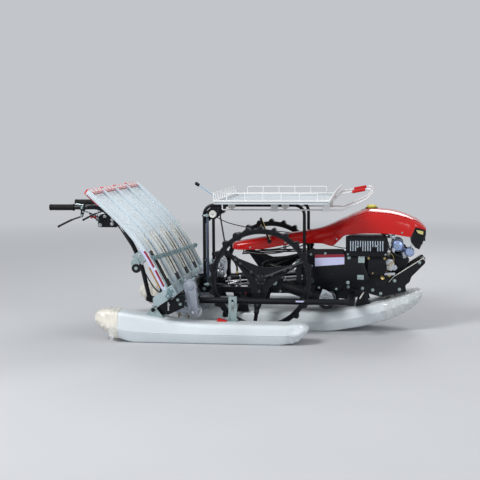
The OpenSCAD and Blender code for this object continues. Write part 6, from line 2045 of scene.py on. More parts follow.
@dataclass
class Wheels:
    """Trim of the lugged wheels and of the swing cases that carry them."""

    hub: tuple[float, float] = (0.1701, 0.34604)
    pivot: tuple[float, float] = (0.571, 0.208)
    wheel_y: float = 0.3
    swing_y: float = 0.227
    rise: float = math.radians(19)
    out_r: float = 0.309
    in_r: float = 0.285
    lugs: int = 24

    def build(self) -> None:
        """Builds the trim of both sides."""
        for side, wheel, swing, word in (
            (-1, Body.WHEEL_RIGHT, Body.SWING_RIGHT, "right"), (1, Body.WHEEL_LEFT, Body.SWING_LEFT, "left")
        ):
            self.wheel(side, wheel, word)
            self.swing(side, swing, word)

    def around(self, radius: float, angle: float, y: float) -> Vector:
        """A point at a radius and angle from the hub's axis."""
        return Vector((self.hub[0] + radius * math.cos(angle), y, self.hub[1] + radius * math.sin(angle)))

    def wheel(self, side: int, body: Body, word: str) -> None:
        """Adds ring beads, lug ribs, spoke collars and bolts to one wheel.

        Args:
            side: -1 on the right and 1 on the left.
            body: Its body.
            word: Its side in words.
        """
        y = side * self.wheel_y
        rings, steel = kits(2)
        for s in (-1, 1):
            edge = y + s * 0.0165
            rings.band(
                (self.hub[0], edge, self.hub[1]), LEFT, (-0.002, 0.002), (self.in_r + 0.001, self.in_r - 0.0035), 96
            )
            rings.band(
                (self.hub[0], edge, self.hub[1]), LEFT, (-0.0012, 0.0012), (self.out_r - 0.001, self.out_r + 0.0018),
                96, 0.0004
            )
        for k in range(self.lugs):
            a = -2 * math.pi * k / self.lugs
            for s in (-1, 1):
                p, q = self.around(
                    self.out_r + 0.004, a - 0.045, y + s * 0.0312
                ), self.around(self.out_r + 0.019, a, y + s * 0.0312)
                r = self.around(self.out_r + 0.004, a + 0.04, y + s * 0.0312)
                rings.tube([p, q, r], 0.0016, 6)
            rings.tube([
                self.around(self.out_r + 0.0195, a, y - 0.03), self.around(self.out_r + 0.0195, a, y + 0.03)
            ], 0.0015, 6)
        for k in range(3):
            a = math.radians(22 + 120 * k)
            way = Vector((math.cos(a), 0, math.sin(a)))
            center = Vector((self.hub[0], y, self.hub[1]))
            for r, wide in ((0.2115, 0.0175), (0.034, 0.019), (self.in_r - 0.004, 0.015)):
                rings.band(center + way * r, way, (-0.004, 0.004), (wide - 0.003, wide), 24, 0.001)
            for r in (0.075, 0.16, 0.198):
                steel.bolt(center + way * r + Vector((0, side * 0.0158, 0)), (0, side, 0), 0.011, 0.006)
        for place in circle((self.hub[0], y + side * 0.0262, self.hub[1]), 0.0235, turns(6)):
            steel.bolt(place, (0, side, 0), 0.0075, 0.004)
        rings.collar(
            (self.hub[0], y + side * 0.02, self.hub[1]), (0, side, 0),
            [(0, 0.0305), (0.005, 0.0305), (0.005, 0.033), (0, 0.034)], 40
        )
        rings.build("wheel_trim_" + word, BLACK_PAINT, body)
        steel.build("wheel_bolts_" + word, DARK_STEEL, body)

    def swing(self, side: int, body: Body, word: str) -> None:
        """Adds bolts, ribs, plugs and the pivot's arch to one swing case.

        Args:
            side: -1 on the right and 1 on the left.
            body: Its body.
            word: Its side in words.
        """
        c, s = math.cos(self.rise), math.sin(self.rise)

        def at(along: float, up: float, y: float) -> Vector:
            """A place along the arm, above it and across the machine."""
            return Vector((self.pivot[0] - along * c + up * s, side * y, self.pivot[1] + along * s + up * c))

        way = (at(1, 0, 0) - at(0, 0, 0)).normalized()
        bolts, ribs, arch = kits(3)
        for up in (-0.038, 0.038):
            for y in (self.swing_y - 0.026, self.swing_y + 0.026):
                bolts.bolt(at(0.2918, up, y), -way, 0.012)
        for t in turns(5):
            bolts.bolt(at(
                0.424 + 0.022 * math.cos(t), 0.022 * math.sin(t), self.swing_y + 0.0378
            ), (0, side, 0), 0.007, 0.004)
        bolts.bolt(at(0.34, 0.0, self.swing_y + 0.027), (0, side, 0), 0.018, 0.008)
        bolts.bolt(at(0.365, 0.0285, self.swing_y), at(0, 1, 0) - at(0, 0, 0), 0.016, 0.009)
        ribs.bolt((self.hub[0], side * 0.3345, self.hub[1]), (0, side, 0), 0.022, 0.01)
        for along in (0.065, 0.15, 0.235):
            ribs.band(at(along, 0, self.swing_y), way, (-0.005, 0.005), (0.0345, 0.0372), 40, 0.001)
        y = self.swing_y + 0.0265
        rib = ((0.306, 0.018), (0.306, 0.024), (0.398, 0.016), (0.398, 0.01))
        for flip in (1, -1):
            ribs.slab([at(along, flip * up, y) for along, up in rib], (0, side * 0.005, 0))
        ribs.band((self.pivot[0], side * self.swing_y, self.pivot[1]), LEFT, (-0.026, -0.02), (0.0495, 0.052), 48)
        ribs.band((self.pivot[0], side * self.swing_y, self.pivot[1]), LEFT, (0.02, 0.026), (0.0495, 0.052), 48)
        ribs.build("swing_ribs_" + word, BLACK_CAST, body)
        outer = [
            (0.047, -0.004), (0.047, 0.02), (0.032, 0.052), (-0.002, 0.072), (-0.022, 0.078), (-0.046, 0.018),
            (-0.051, -0.004)
        ]
        inner = [
            (math.cos(t) * 0.029, math.sin(t) * 0.029) for t in [math.pi * (1.04 - 1.08 * k / 20) for k in range(21)]
        ]
        arch.slab([
            (self.pivot[0] + x, side * 0.269, self.pivot[1] + z) for x, z in outer + inner
        ], (0, side * 0.005, 0))
        arch.build("pivot_arch_" + word, BRIGHT_CAST, body, bevel=0.001, slot="zinc")
        for x, z in ((0.036, 0.02), (-0.036, 0.018), (-0.006, 0.052)):
            bolts.bolt((self.pivot[0] + x, side * 0.274, self.pivot[1] + z), (0, side, 0), 0.01)
        bolts.build("swing_bolts_" + word, ZINC, body)


# Planting unit.


@dataclass
class PlantingUnit:
    """Trim of the chain cases, the planting arms, the gate rail, the beam and the float brackets."""

    rows: tuple[float, ...] = (-0.45, -0.15, 0.15, 0.45)
    cases: tuple[float, ...] = (-0.499, 0.0, 0.499)
    drive: tuple[float, float] = (-0.236, 0.33)
    crank: tuple[float, float] = (-0.214, 0.172)
    crank_r: float = 0.028
    foot: tuple[float, float] = (-0.376, 0.312)
    rail_half: float = 0.7355
    slope: float = math.radians(62.5)

    def build(self) -> None:
        """Builds everything on the planting unit."""
        self.case_trim()
        self.arms()
        self.gates()
        self.brackets()
        self.guides()

    def case_trim(self) -> None:
        """Adds bosses, flange lugs, ribs and bolts to the chain cases."""
        cast, bolts = kits(2)
        (dx, dz), (cx, cz) = self.drive, self.crank
        for y in self.cases:
            for side in ((-1, 1) if y == 0 else (math.copysign(1, y),)):
                face = y + side * (0.0222 if y == 0 else 0.0272)
                for x, z, r in ((dx, dz, 0.0215), (cx, cz, 0.0185)):
                    cast.collar((x, face, z), (0, side, 0), [
                        (-0.002, r - 0.005), (0.0035, r - 0.005), (0.0025, r), (-0.002, r + 0.002)
                    ], 36)
                    cast.solid((x, face, z), (0, side, 0), (
                        (-0.001, r - 0.008), (0.0015, r - 0.009), (0.0028, 0.004)
                    ), 28)
                flat = y + side * 0.022
                cast.side_slab([
                    (dx - 0.016, dz - 0.03), (dx + 0.016, dz - 0.03), (cx + 0.011, cz + 0.026), (cx - 0.013, cz + 0.026)
                ], flat, side * 0.0022)
                for x, z in (
                    (-0.214, 0.371), (-0.262, 0.364), (-0.1985, 0.271), (-0.2565, 0.256), (-0.186, 0.19),
                    (-0.243, 0.176), (-0.272, 0.322), (-0.2015, 0.322)
                ):
                    cast.rod((x, y - 0.02, z), (x, y + 0.02, z), 0.0085, sides=18)
                    bolts.bolt((x, y + side * 0.02, z), (0, side, 0), 0.009, 0.006)
        cast.build("case_bosses", LAVENDER_CAST, bevel=0.0012)
        bolts.build("case_bolts", ZINC)

    def arms(self) -> None:
        """Adds covers, screws, push rods and guide blocks to the planting arms, and caps to the cranks."""
        table = ((0, -1, 90, "a"), (1, 1, 270, "b"), (2, -1, 90, "a"), (3, 1, 270, "b"))
        parts = {word: (MeshKit(), MeshKit(), MeshKit()) for word in "ab"}
        crank = MeshKit()
        for row, side, angle, word in table:
            y = self.rows[row]
            px = self.crank[0] + self.crank_r * math.cos(math.radians(angle))
            pz = self.crank[1] + self.crank_r * math.sin(math.radians(angle))
            cover, screws, gold = parts[word]
            for s in (-1, 1):
                face = y + s * 0.0128
                cover.side_slab([
                    (px - 0.02, pz - 0.01), (px - 0.022, pz + 0.012), (px - 0.082, pz + 0.013),
                    (px - 0.092, pz + 0.006), (px - 0.08, pz - 0.008)
                ], face, s * 0.0022)
                for x, z in ((-0.026, -0.006), (-0.028, 0.008), (-0.078, 0.009), (-0.076, -0.004)):
                    screws.bolt((px + x, y + s * 0.015, pz + z), (0, s, 0), 0.0055, 0.0026)
            screws.bolt((px - 0.058, y, pz + 0.0172), UP, 0.011, 0.006)
            gold.rod((px - 0.094, y, pz - 0.012), (px - 0.098, y, pz - 0.06), 0.0038, sides=12)
            gold.block((px - 0.104, y - 0.0085, pz - 0.068), (px - 0.095, y + 0.0085, pz - 0.058))
            gold.tube([
                (px - 0.098, y - 0.01, pz - 0.004), (px - 0.112, y - 0.01, pz - 0.03),
                (px - 0.11, y - 0.008, pz - 0.052)
            ], 0.0018, 8)
            crank.bolt((px, y - side * 0.0262, pz), (0, -side, 0), 0.011, 0.004)
            crank.collar(
                (self.crank[0], y + side * 0.0226, self.crank[1]), (0, side, 0),
                [(-0.002, 0.01), (0.0008, 0.01), (0.0006, 0.017), (-0.002, 0.019)], 32
            )
        for word, body in (("a", Body.ARMS_A), ("b", Body.ARMS_B)):
            cover, screws, gold = parts[word]
            cover.build("arm_covers_" + word, LAVENDER_CAST, body, bevel=0.0008)
            screws.build("arm_screws_" + word, ZINC, body)
            gold.build("arm_push_rods_" + word, YELLOW_ZINC, body)
        crank.build("crank_caps", ZINC, Body.CRANKS)

    def rail_point(self, along: float, out: float) -> tuple[float, float]:
        """Place at a distance along the tray's slope from its foot and at a height square to it."""
        return (
            self.foot[0] - along * math.cos(self.slope) + out * math.sin(self.slope),
            self.foot[1] + along * math.sin(self.slope) + out * math.cos(self.slope),
        )

    def rail_points(self, *places: tuple[float, float]) -> list[tuple[float, float]]:
        """Several places given by their distances along the slope and square to it."""
        return [self.rail_point(along, out) for along, out in places]

    def gates(self) -> None:
        """Builds the gate rail and adds its wear plates, end caps and bolts."""
        self.rail()
        plates, dark, bolts = kits(3)
        for y in self.rows:
            for s in (-1, 1):
                corners = [
                    self.rail_point(a, o)
                    for a, o in ((0.0105, 0.068), (0.0105, 0.0905), (-0.05, 0.0905), (-0.05, 0.068))
                ]
                plates.slab([(x, y + s * 0.0212, z) for x, z in corners], (0, s * 0.001, 0))
            a, b = self.rail_point(0.0112, 0.06), self.rail_point(0.0112, 0.09)
            for s in (-1, 1):
                plates.slab(
                    [
                        (a[0], y + s * 0.024, a[1]), (b[0], y + s * 0.024, b[1]), (b[0], y + s * 0.04, b[1]),
                        (a[0], y + s * 0.04, a[1])
                    ],
                    Vector((-math.cos(self.slope), 0, math.sin(self.slope))) * 0.0016
                )
                p = self.rail_point(0.0128, 0.075)
                bolts.bolt((p[0], y + s * 0.033, p[1]), (-math.cos(self.slope), 0, math.sin(self.slope)), 0.0075, 0.003)
        plates.build("gate_wear_plates", ZINC)
        for side in (-1, 1):
            end = side * self.rail_half
            outline = [
                self.rail_point(a, o)
                for a, o in (
                    (0.006, 0.06), (0.006, 0.086), (-0.046, 0.086), (-0.048, 0.03), (-0.03, 0.024), (-0.018, 0.04)
                )
            ]
            dark.slab([(x, end, z) for x, z in outline], (0, side * 0.0012, 0))
            for a, o in ((-0.006, 0.078), (-0.04, 0.078), (-0.036, 0.04)):
                p = self.rail_point(a, o)
                bolts.bolt((p[0], end + side * 0.0004, p[1]), (0, side, 0), 0.009, 0.0024)
            for k in range(4):
                p, q = self.rail_point(-0.012 - 0.009 * k, 0.0925), self.rail_point(-0.016 - 0.009 * k, 0.0925)
                y0, y1 = side * (self.rail_half - 0.033), side * (self.rail_half - 0.069)
                dark.slab(
                    [(p[0], y0, p[1]), (q[0], y0, q[1]), (q[0], y1, q[1]), (p[0], y1, p[1])],
                    Vector((math.sin(self.slope), 0, math.cos(self.slope))) * 0.0012
                )
        dark.build("gate_end_caps", TEAL_STEEL, bevel=0.0006)
        bolts.build("gate_bolts", ZINC)

    def rail(self) -> None:
        """Builds the rail square to the tray's slope, with its gates and the gaps round the chain cases."""
        kit = MeshKit()
        back = [(-0.414, 0.24), (-0.414, 0.286), self.rail_point(-0.0005, -0.03)]
        front = self.rail_points((-0.0005, 0.054), (0.011, 0.058), (0.011, 0.092))
        front += self.rail_points((-0.052, 0.092), (-0.056, 0.062), (-0.042, 0.056))
        low = [self.rail_point(-0.042, 0.032), self.rail_point(-0.056, 0.026), (-0.38, 0.24)]
        gate = self.rail_points((-0.0005, 0.054), (0.009, 0.0575), (0.009, 0.064), (-0.042, 0.064), (-0.042, 0.056))
        case = [self.rail_point(-0.0005, 0.02), self.rail_point(-0.036, 0.024)]
        marks = [(y, 0.022, gate) for y in self.rows] + [(y, 0.029, case) for y in self.cases]
        at = -self.rail_half
        for y, half, cut in sorted(marks, key=lambda mark: mark[0]):
            kit.slab([(x, at, z) for x, z in back + front + low], (0, y - half - at, 0))
            kit.slab([(x, y - half, z) for x, z in back + cut + (low if cut is gate else low[1:])], (0, 2 * half, 0))
            at = y + half
        kit.slab([(x, at, z) for x, z in back + front + low], (0, self.rail_half - at, 0))
        kit.build("gate_channel", GATE_SILVER, replaces=("gate_rail",), bevel=0.0012)

    def brackets(self) -> None:
        """Adds the plates and clips at the beam's ends, and the bolts and wedge of the float brackets."""
        plate, bolts, pins, red = kits(4)
        outline = (
            (-0.462, 0.186), (-0.455, 0.216), (-0.42, 0.236), (-0.392, 0.238), (-0.33, 0.252), (-0.268, 0.282),
            (-0.254, 0.262), (-0.262, 0.206), (-0.36, 0.16), (-0.432, 0.166)
        )
        plate.side_slab(outline, 0.564, 0.004)
        plate.band((-0.442, 0.566, 0.196), LEFT, (-0.01, 0.01), (0.0101, 0.016), 28)
        plate.rod((-0.442, 0.6115, 0.196), (-0.442, 0.6135, 0.196), 0.0125)
        plate.side_slab([(-0.458, 0.144), (-0.402, 0.144), (-0.402, 0.2), (-0.458, 0.2)], 0.4715, 0.0025)
        plate.both_sides().build("beam_plates", BLACK_PAINT, bevel=0.0008)
        pins.rod((-0.352, 0.5685, 0.222), (-0.352, 0.578, 0.222), 0.005)
        pins.block((-0.362, 0.5682, 0.186), (-0.354, 0.5704, 0.236))
        pins.pipe([
            (-0.442, 0.608, 0.212), (-0.43, 0.61, 0.226), (-0.414, 0.61, 0.214), (-0.442, 0.609, 0.196)
        ], 0.006, 0.0016, 8)
        pins.both_sides().build("hinge_clips", BRIGHT_STEEL)
        for x, z in ((-0.424, 0.215), (-0.3, 0.252), (-0.285, 0.226)):
            bolts.bolt((x, 0.568, z), LEFT, 0.011)
        for y in (0.5375, 0.6025):
            way = 1 if y > 0.57 else -1
            bolts.bolt((-0.442, y + way * 0.0002, 0.2105), (0, way, 0), 0.008, 0.004)
        for x, y in ((-0.47, 0.57), (-0.4, 0.57)):
            bolts.bolt((x, y, self.deck_z(x)), UP, 0.013, 0.006)
        bolts.bolt((0.024, 0.5165 + 0.008, 0.225), LEFT, 0.016)
        for x in (-0.004, 0.052):
            bolts.bolt((x, 0.538, self.deck_z(x) + 0.0052), UP, 0.011, 0.005)
        bolts.both_sides().build("float_bracket_bolts", ZINC)
        z = self.deck_z(-0.03) - 0.001
        red.side_slab([(-0.062, z), (-0.008, z - 0.004), (-0.002, z + 0.006), (-0.056, z + 0.014)], 0.628, 0.012)
        red.build("float_wedge", CAP_PLASTIC, bevel=0.002)

    def deck_z(self, x: float) -> float:
        """Height of the side float's deck at a place, taken from its bracket feet."""
        return 0.1355 if x < -0.2 else 0.127

    def guides(self) -> None:
        """Adds bolts, hubs and tyres to the rollers that guide the tray."""
        bolts, ears, tyres = kits(3)
        for side in (-1, 1):
            y = side * 0.5662
            bolts.bolts([
                (x, y, z) for x, z in ((-0.531, 0.5155), (-0.497, 0.497), (-0.515, 0.47), (-0.556, 0.489))
            ], (0, side, 0), 0.01)
            tyres.solid((-0.5485, side * 0.5664, 0.442), (0, side, 0), (
                (0, 0.0272), (0.003, 0.0284), (0.0165, 0.0284), (0.0195, 0.0262), (0.02, 0.012)
            ), 40)
            ears.rod((-0.5485, side * 0.586, 0.442), (-0.5485, side * 0.589, 0.442), 0.01)
        bolts.build("guide_bolts", BRIGHT_STEEL)
        ears.build("guide_hubs", ZINC)
        tyres.build("guide_roller_tyres", RUBBER)


# Handle.


@dataclass
class Handle:
    """Grips, levers, cables and controls at the rear."""

    end_x: float = -1.18
    grip_y: float = 0.27
    grip_z: float = 0.786
    box_low: float = 0.656

    def build(self) -> None:
        """Builds everything on the handle."""
        self.grips()
        self.levers()
        self.box()
        self.cables()

    def grips(self) -> None:
        """Adds the grips' rings and end knobs."""
        kit = MeshKit()
        for k in range(18):
            x = self.end_x + 0.012 + 0.0078 * k
            kit.band((x, self.grip_y, self.grip_z), FORWARD, (-0.0022, 0.0022), (0.0178, 0.0194), 28, 0.001)
        kit.solid(
            (self.end_x + 0.004, self.grip_y, self.grip_z), BACKWARD,
            ((-0.003, 0.0202), (0.0, 0.0202), (0.003, 0.018), (0.004, 0.008)), 28
        )
        kit.both_sides().build("grip_rings", RUBBER)

    def levers(self) -> None:
        """Adds pivot bolts, adjusters, springs and ball ends to the hand levers."""
        steel, dark = kits(2)
        x = self.end_x + 0.204
        steel.bolt((x + 0.012, self.grip_y + 0.0208, self.grip_z), LEFT, 0.012)
        steel.bolt((x + 0.002, self.grip_y + 0.0052, self.grip_z - 0.052), LEFT, 0.01)
        steel.bolt((x + 0.014, self.grip_y + 0.0052, self.grip_z - 0.028), LEFT, 0.008)
        steel.rod(
            (x + 0.024, self.grip_y, self.grip_z - 0.026), (x + 0.052, self.grip_y - 0.004, self.grip_z - 0.034),
            0.0042, sides=12
        )
        steel.bolt((x + 0.034, self.grip_y - 0.001, self.grip_z - 0.029), (1, -0.1, -0.28), 0.011, 0.008, washer=False)
        steel.tube([
            (x + 0.02, self.grip_y + 0.014, self.grip_z + 0.015), (x - 0.02, self.grip_y + 0.012, self.grip_z + 0.0225),
            (x - 0.034, self.grip_y + 0.012, self.grip_z + 0.021)
        ], 0.0028, 8)
        steel.both_sides().build("lever_fittings", ZINC)
        tip = (x - 0.149, self.grip_y, self.grip_z - 0.1215)
        dark.ball(tip, 0.0082, 16)
        dark.tube([
            (x - 0.06, self.grip_y, self.grip_z - 0.078), (x - 0.105, self.grip_y, self.grip_z - 0.099),
            (x - 0.148, self.grip_y, self.grip_z - 0.1205)
        ], 0.0066, 12, 0.75)
        dark.band((x + 0.012, self.grip_y, self.grip_z), FORWARD, (-0.013, 0.013), (0.0205, 0.0226), 28, 0.001)
        dark.block(
            (x + 0.002, self.grip_y - 0.008, self.grip_z + 0.019), (x + 0.022, self.grip_y + 0.008, self.grip_z + 0.026)
        )
        dark.both_sides().build("lever_covers", BLACK_PLASTIC, bevel=0.001)

    def box(self) -> None:
        """Builds the control housing and adds its cheeks, rims, bolts, knobs and levers."""
        rims, bolts, levers, red = kits(4)
        z = self.box_low
        housing, cheeks = kits(2)
        side = ((-0.872, 0.0), (-0.872, 0.05), (-0.862, 0.056), (-0.785, 0.056), (-0.7713, 0.042), (-0.7713, 0.0))
        housing.slab([(x, -0.1665, z + up) for x, up in side], (0, 0.333, 0))
        housing.build("control_housing", BLACK_PLASTIC, replaces=("control_box",), bevel=0.003)
        outline = rounded_outline([
            (x, z + up)
            for x, up in (
                (-0.771, -0.004), (-0.892, -0.004), (-0.894, 0.062), (-0.876, 0.082), (-0.846, 0.09), (-0.818, 0.084),
                (-0.796, 0.068), (-0.771, 0.04), (-0.771, -0.004)
            )
        ], 0.012, 4)
        cheeks.side_slab(outline, 0.1665, 0.01)
        cheeks.both_sides().build("housing_cheeks", BLACK_PLASTIC, bevel=0.0015)
        path = [
            (-0.894, 0.1775, z + 0.058), (-0.876, 0.1775, z + 0.08), (-0.846, 0.1775, z + 0.088),
            (-0.818, 0.1775, z + 0.082), (-0.797, 0.1775, z + 0.067), (-0.775, 0.1775, z + 0.041)
        ]
        rims.pipe([(-0.893, 0.1775, z - 0.002), *path], 0.012, 0.0028, 8)
        rims.both_sides().build("control_box_rims", ZINC)
        for x, up in ((-0.801, 0.044), (-0.803, 0.018), (-0.88, 0.01), (-0.85, 0.066)):
            bolts.bolt((x, 0.177, z + up), LEFT, 0.013)
        bolts.both_sides()
        for y in (-0.11, 0.0, 0.11):
            bolts.bolt((-0.872, y, z + 0.028), BACKWARD, 0.009)
        bolts.build("control_box_bolts", BRIGHT_STEEL)
        knobs = MeshKit()
        for y, lean in ((-0.1, -0.03), (0.005, -0.012), (0.095, -0.04)):
            a, b = Vector((-0.836, y, z + 0.05)), Vector((-0.836 + lean, y, z + 0.118))
            levers.rod(a, b, 0.0045, sides=12)
            knobs.lathe(b - (b - a).normalized() * 0.004, b - a, (
                (0, 0.0), (0, 0.007), (0.01, 0.01), (0.022, 0.0105), (0.028, 0.007), (0.029, 0.0)
            ), 20)
            levers.block((-0.868, y - 0.006, z + 0.0555), (-0.8, y + 0.006, z + 0.0575))
        knobs.build("control_knobs", BLACK_PLASTIC)
        levers.rod((-0.902, -0.19, z + 0.04), (-0.886, -0.19, z + 0.104), 0.004, sides=10)
        levers.rod((-0.8855, -0.18, z + 0.048), (-0.903, -0.1905, z + 0.04), 0.005, sides=10)
        levers.build("control_levers", BRIGHT_STEEL)
        red.pipe([
            (-0.895, -0.186, z + 0.056), (-0.915, -0.188, z + 0.066), (-0.938, -0.188, z + 0.058)
        ], 0.008, 0.0058, 12)
        red.build("control_red_lever", CAP_PLASTIC)

    def cables(self) -> None:
        """Adds the cables between the hand levers and the control box."""
        kit = MeshKit()
        x = self.end_x + 0.204
        for k in range(2):
            kit.pipe([
                    (x + 0.05, self.grip_y - 0.004, self.grip_z - 0.033 - 0.004 * k),
                    (x + 0.085, self.grip_y - 0.02, self.grip_z - 0.052 - 0.022 * k),
                    (x + 0.105, 0.215, self.grip_z - 0.07 - 0.02 * k),
                    (x + 0.125, 0.192, self.grip_z - 0.075 - 0.01 * k),
                    (x + 0.13, 0.179, self.grip_z - 0.078 - 0.01 * k),
                ], 0.03, 0.0034, 8)
        kit.both_sides().build("lever_cables", CABLE)


# Rack.


@dataclass
class Rack:
    """Deck pressings, weld beads, roller hubs, hanger bolts and the latch lever's knob."""

    rear: float = -0.092
    length: float = 0.69
    half: float = 0.465
    deck_top: float = 0.8223
    wire_z: float = 0.8381
    fence: float = 0.046
    wire_start: float = 0.079
    wire_pitch: float = 0.109

    def build(self) -> None:
        """Builds everything on the rack and its rollers."""
        self.deck()
        self.wires()
        self.rollers()
        self.fittings()

    def deck(self) -> None:
        """Adds the pressed ribs of the sheet deck."""
        kit = MeshKit()
        for k in range(5):
            y = -0.34 + 0.17 * k
            kit.tube([
                (self.rear + 0.03, y, self.deck_top - 0.0002),
                (self.rear + self.length - 0.03, y, self.deck_top - 0.0002)
            ], 0.007, 10, 0.32, UP)
        for k in range(2):
            x = self.rear + 0.03 + 0.63 * k
            kit.tube([(x, -0.43, self.deck_top - 0.0002), (x, 0.43, self.deck_top - 0.0002)], 0.007, 10, 0.32, UP)
        # The ribs carry the deck's white with painted shade.
        kit.build("deck_ribs", DECK_WHITE_PAINTED_SHADE, Body.RACK)

    def wires(self) -> None:
        """Builds the rack's wires with their weld beads, and the board behind the front comb."""
        kit = MeshKit()
        z = self.wire_z
        for side in (-1, 1):
            y = side * (self.half + 0.004)
            kit.rod((self.rear + 0.001, y, z), (self.rear + self.length - 0.001, y, z), 0.0052)
            x0 = self.rear + self.wire_start
            x1 = x0 + 5 * self.wire_pitch
            kit.pipe([(x0, y, z), (x0, y, z + self.fence), (x1, y, z + self.fence), (x1, y, z)], 0.014, 0.0036, 12)
            for k in range(1, 5):
                kit.rod((x0 + self.wire_pitch * k, y, z), (x0 + self.wire_pitch * k, y, z + self.fence), 0.0034)
            for k in range(6):
                kit.ball((x0 + self.wire_pitch * k, y, z + 0.004), 0.0056, 10)
        for foot, top, high in (
            (self.rear, self.rear - 0.006, self.fence),
            (self.rear + self.length, self.rear + self.length + 0.036, self.fence + 0.012)
        ):
            kit.rod((foot, -self.half - 0.009, z), (foot, self.half + 0.009, z), 0.0055)
            kit.rod((top, -0.459, z + high), (top, 0.459, z + high), 0.0042)
            for k in range(12):
                y = 0.455 * (2 * k / 11 - 1)
                kit.rod((foot, y, z), (top, y, z + high), 0.004)
                kit.ball((foot, y, z + 0.003), 0.0058, 10)
        kit.build("rack_wires", WHITE_PAINT, Body.RACK, ("rack_fences",))
        board = MeshKit()
        a, b = Vector((self.rear + self.length + 0.003, 0, z + 0.006)), Vector((
            self.rear + self.length + 0.034, 0, z + self.fence + 0.008
        ))
        wide = Vector((0, 0.448, 0))
        board.slab([a - wide, b - wide, b + wide, a + wide], (0.0022, 0, -0.0012))
        # The board carries the deck's white with painted shade.
        board.build("rack_front_boards", DECK_WHITE_PAINTED_SHADE, Body.RACK, bevel=0.0006)

    def rollers(self) -> None:
        """Adds hubs and bolts to the nylon rollers."""
        hubs, bolts = kits(2)
        for x, z in ((-0.024, 0.796), (0.312, 0.796), (-0.145, 0.7404)):
            hubs.collar((x, 0.204, z), LEFT, [
                (-0.002, 0.013), (0.0012, 0.013), (0.0024, 0.016), (0.0024, 0.02), (-0.002, 0.0215)
            ], 40)
            bolts.bolt((x, 0.2042, z), LEFT, 0.007, 0.004)
        hubs.both_sides().build("roller_rims", NYLON)
        bolts.both_sides().build("roller_bolts", ZINC)

    def fittings(self) -> None:
        """Adds the hangers' bolts, and builds the latch lever and its knob."""
        bolts, knob = kits(2)
        for x in (0.246, 0.566):
            for side in (-1, 1):
                bolts.bolts([
                    (x + d, side * 0.2152, z) for d, z in ((-0.013, 0.806), (0.013, 0.806))
                ], (0, side, 0), 0.008)
        bolts.build("hanger_bolts", ZINC, Body.RACK)
        lever = MeshKit()
        lever.pipe([(-0.032, 0, 0.8103), (-0.112, 0, 0.8103), (-0.281, 0, 0.9222)], 0.022, 0.0048, 14, steps=8)
        lever.block((-0.072, -0.014, 0.8138), (-0.032, 0.014, 0.819))
        lever.build("latch_lever", BLUE_PAINT, Body.RACK, ("rack_lever",))
        knob.solid((-0.2655, 0.0, 0.912), (-0.834, 0.0, 0.552), (
            (0, 0.0085), (0.006, 0.0112), (0.02, 0.0118), (0.029, 0.0096), (0.0315, 0.005)
        ), 28)
        knob.build("latch_knob", BLACK_PLASTIC, Body.RACK)


# Dressing and stage.


NODE_FINISH: dict[Finish, tuple[str, ...]] = {
    FLOAT_PLASTIC: ("center_float", "side_float_right", "side_float_left"),
    ZINC: ("float_front_brackets", "float_hinges", "press_rods", "tray_guides"),
    BLACK_PAINT: (
        "center_float_links", "main_frame", "side_rails", "rack_hoops", "hydraulic_cylinder", "lift_linkage",
        "engine_bed",
        "front_guard", "bonnet_stays", "control_rods", "drive_tube", "planting_beam", "handle_frame", "clutch_levers",
        "wheel_right",
        "wheel_left",
    ),
    BLACK_CAST: ("gearbox", "engine_block", "swing_case_right", "swing_case_left"),
    GREY_CAST: ("axle_housings", "engine_fins", "carburettor"),
    GATE_SILVER: ("gate_rail",),
    LAVENDER_CAST: ("planting_cases", "planting_arms_a", "planting_arms_b"),
    BLACK_PLASTIC: ("belt_cover", "engine_guard", "nose_grille", "control_box"),
    BLUE_PAINT: ("air_cleaner",),
    RED_PLASTIC: ("bonnet", "rack_grips"),
    CAP_PLASTIC: ("tray_caps",),
    LAMP_GLASS: ("headlamps",),
    CAP_YELLOW: ("fuel_cap",),
    RUBBER: ("handle_grips", "feed_belts"),
    BRIGHT_STEEL: ("planting_cranks", "rack_lever"),
    TRAY_PLASTIC: ("tray_deck",),
    # The rack's deck gets the white with painted shade.
    WHITE_PAINT: ("rack_fences", "rack_runners"),
    DECK_WHITE_PAINTED_SHADE: ("rack_deck",),
    NYLON: ("rack_rollers",),
}


def dress_nodes() -> None:
    """Gives each carried-over CAD node its finish."""
    for finish, names in NODE_FINISH.items():
        for name in names:
            node = FRAME["nodes"][name]
            for child in [node, *node.children_recursive]:
                if child.type != "MESH":
                    continue
                child.data.materials.clear()
                child.data.materials.append(finish.material())
            LOG.info("%s: %s", name, finish.name)


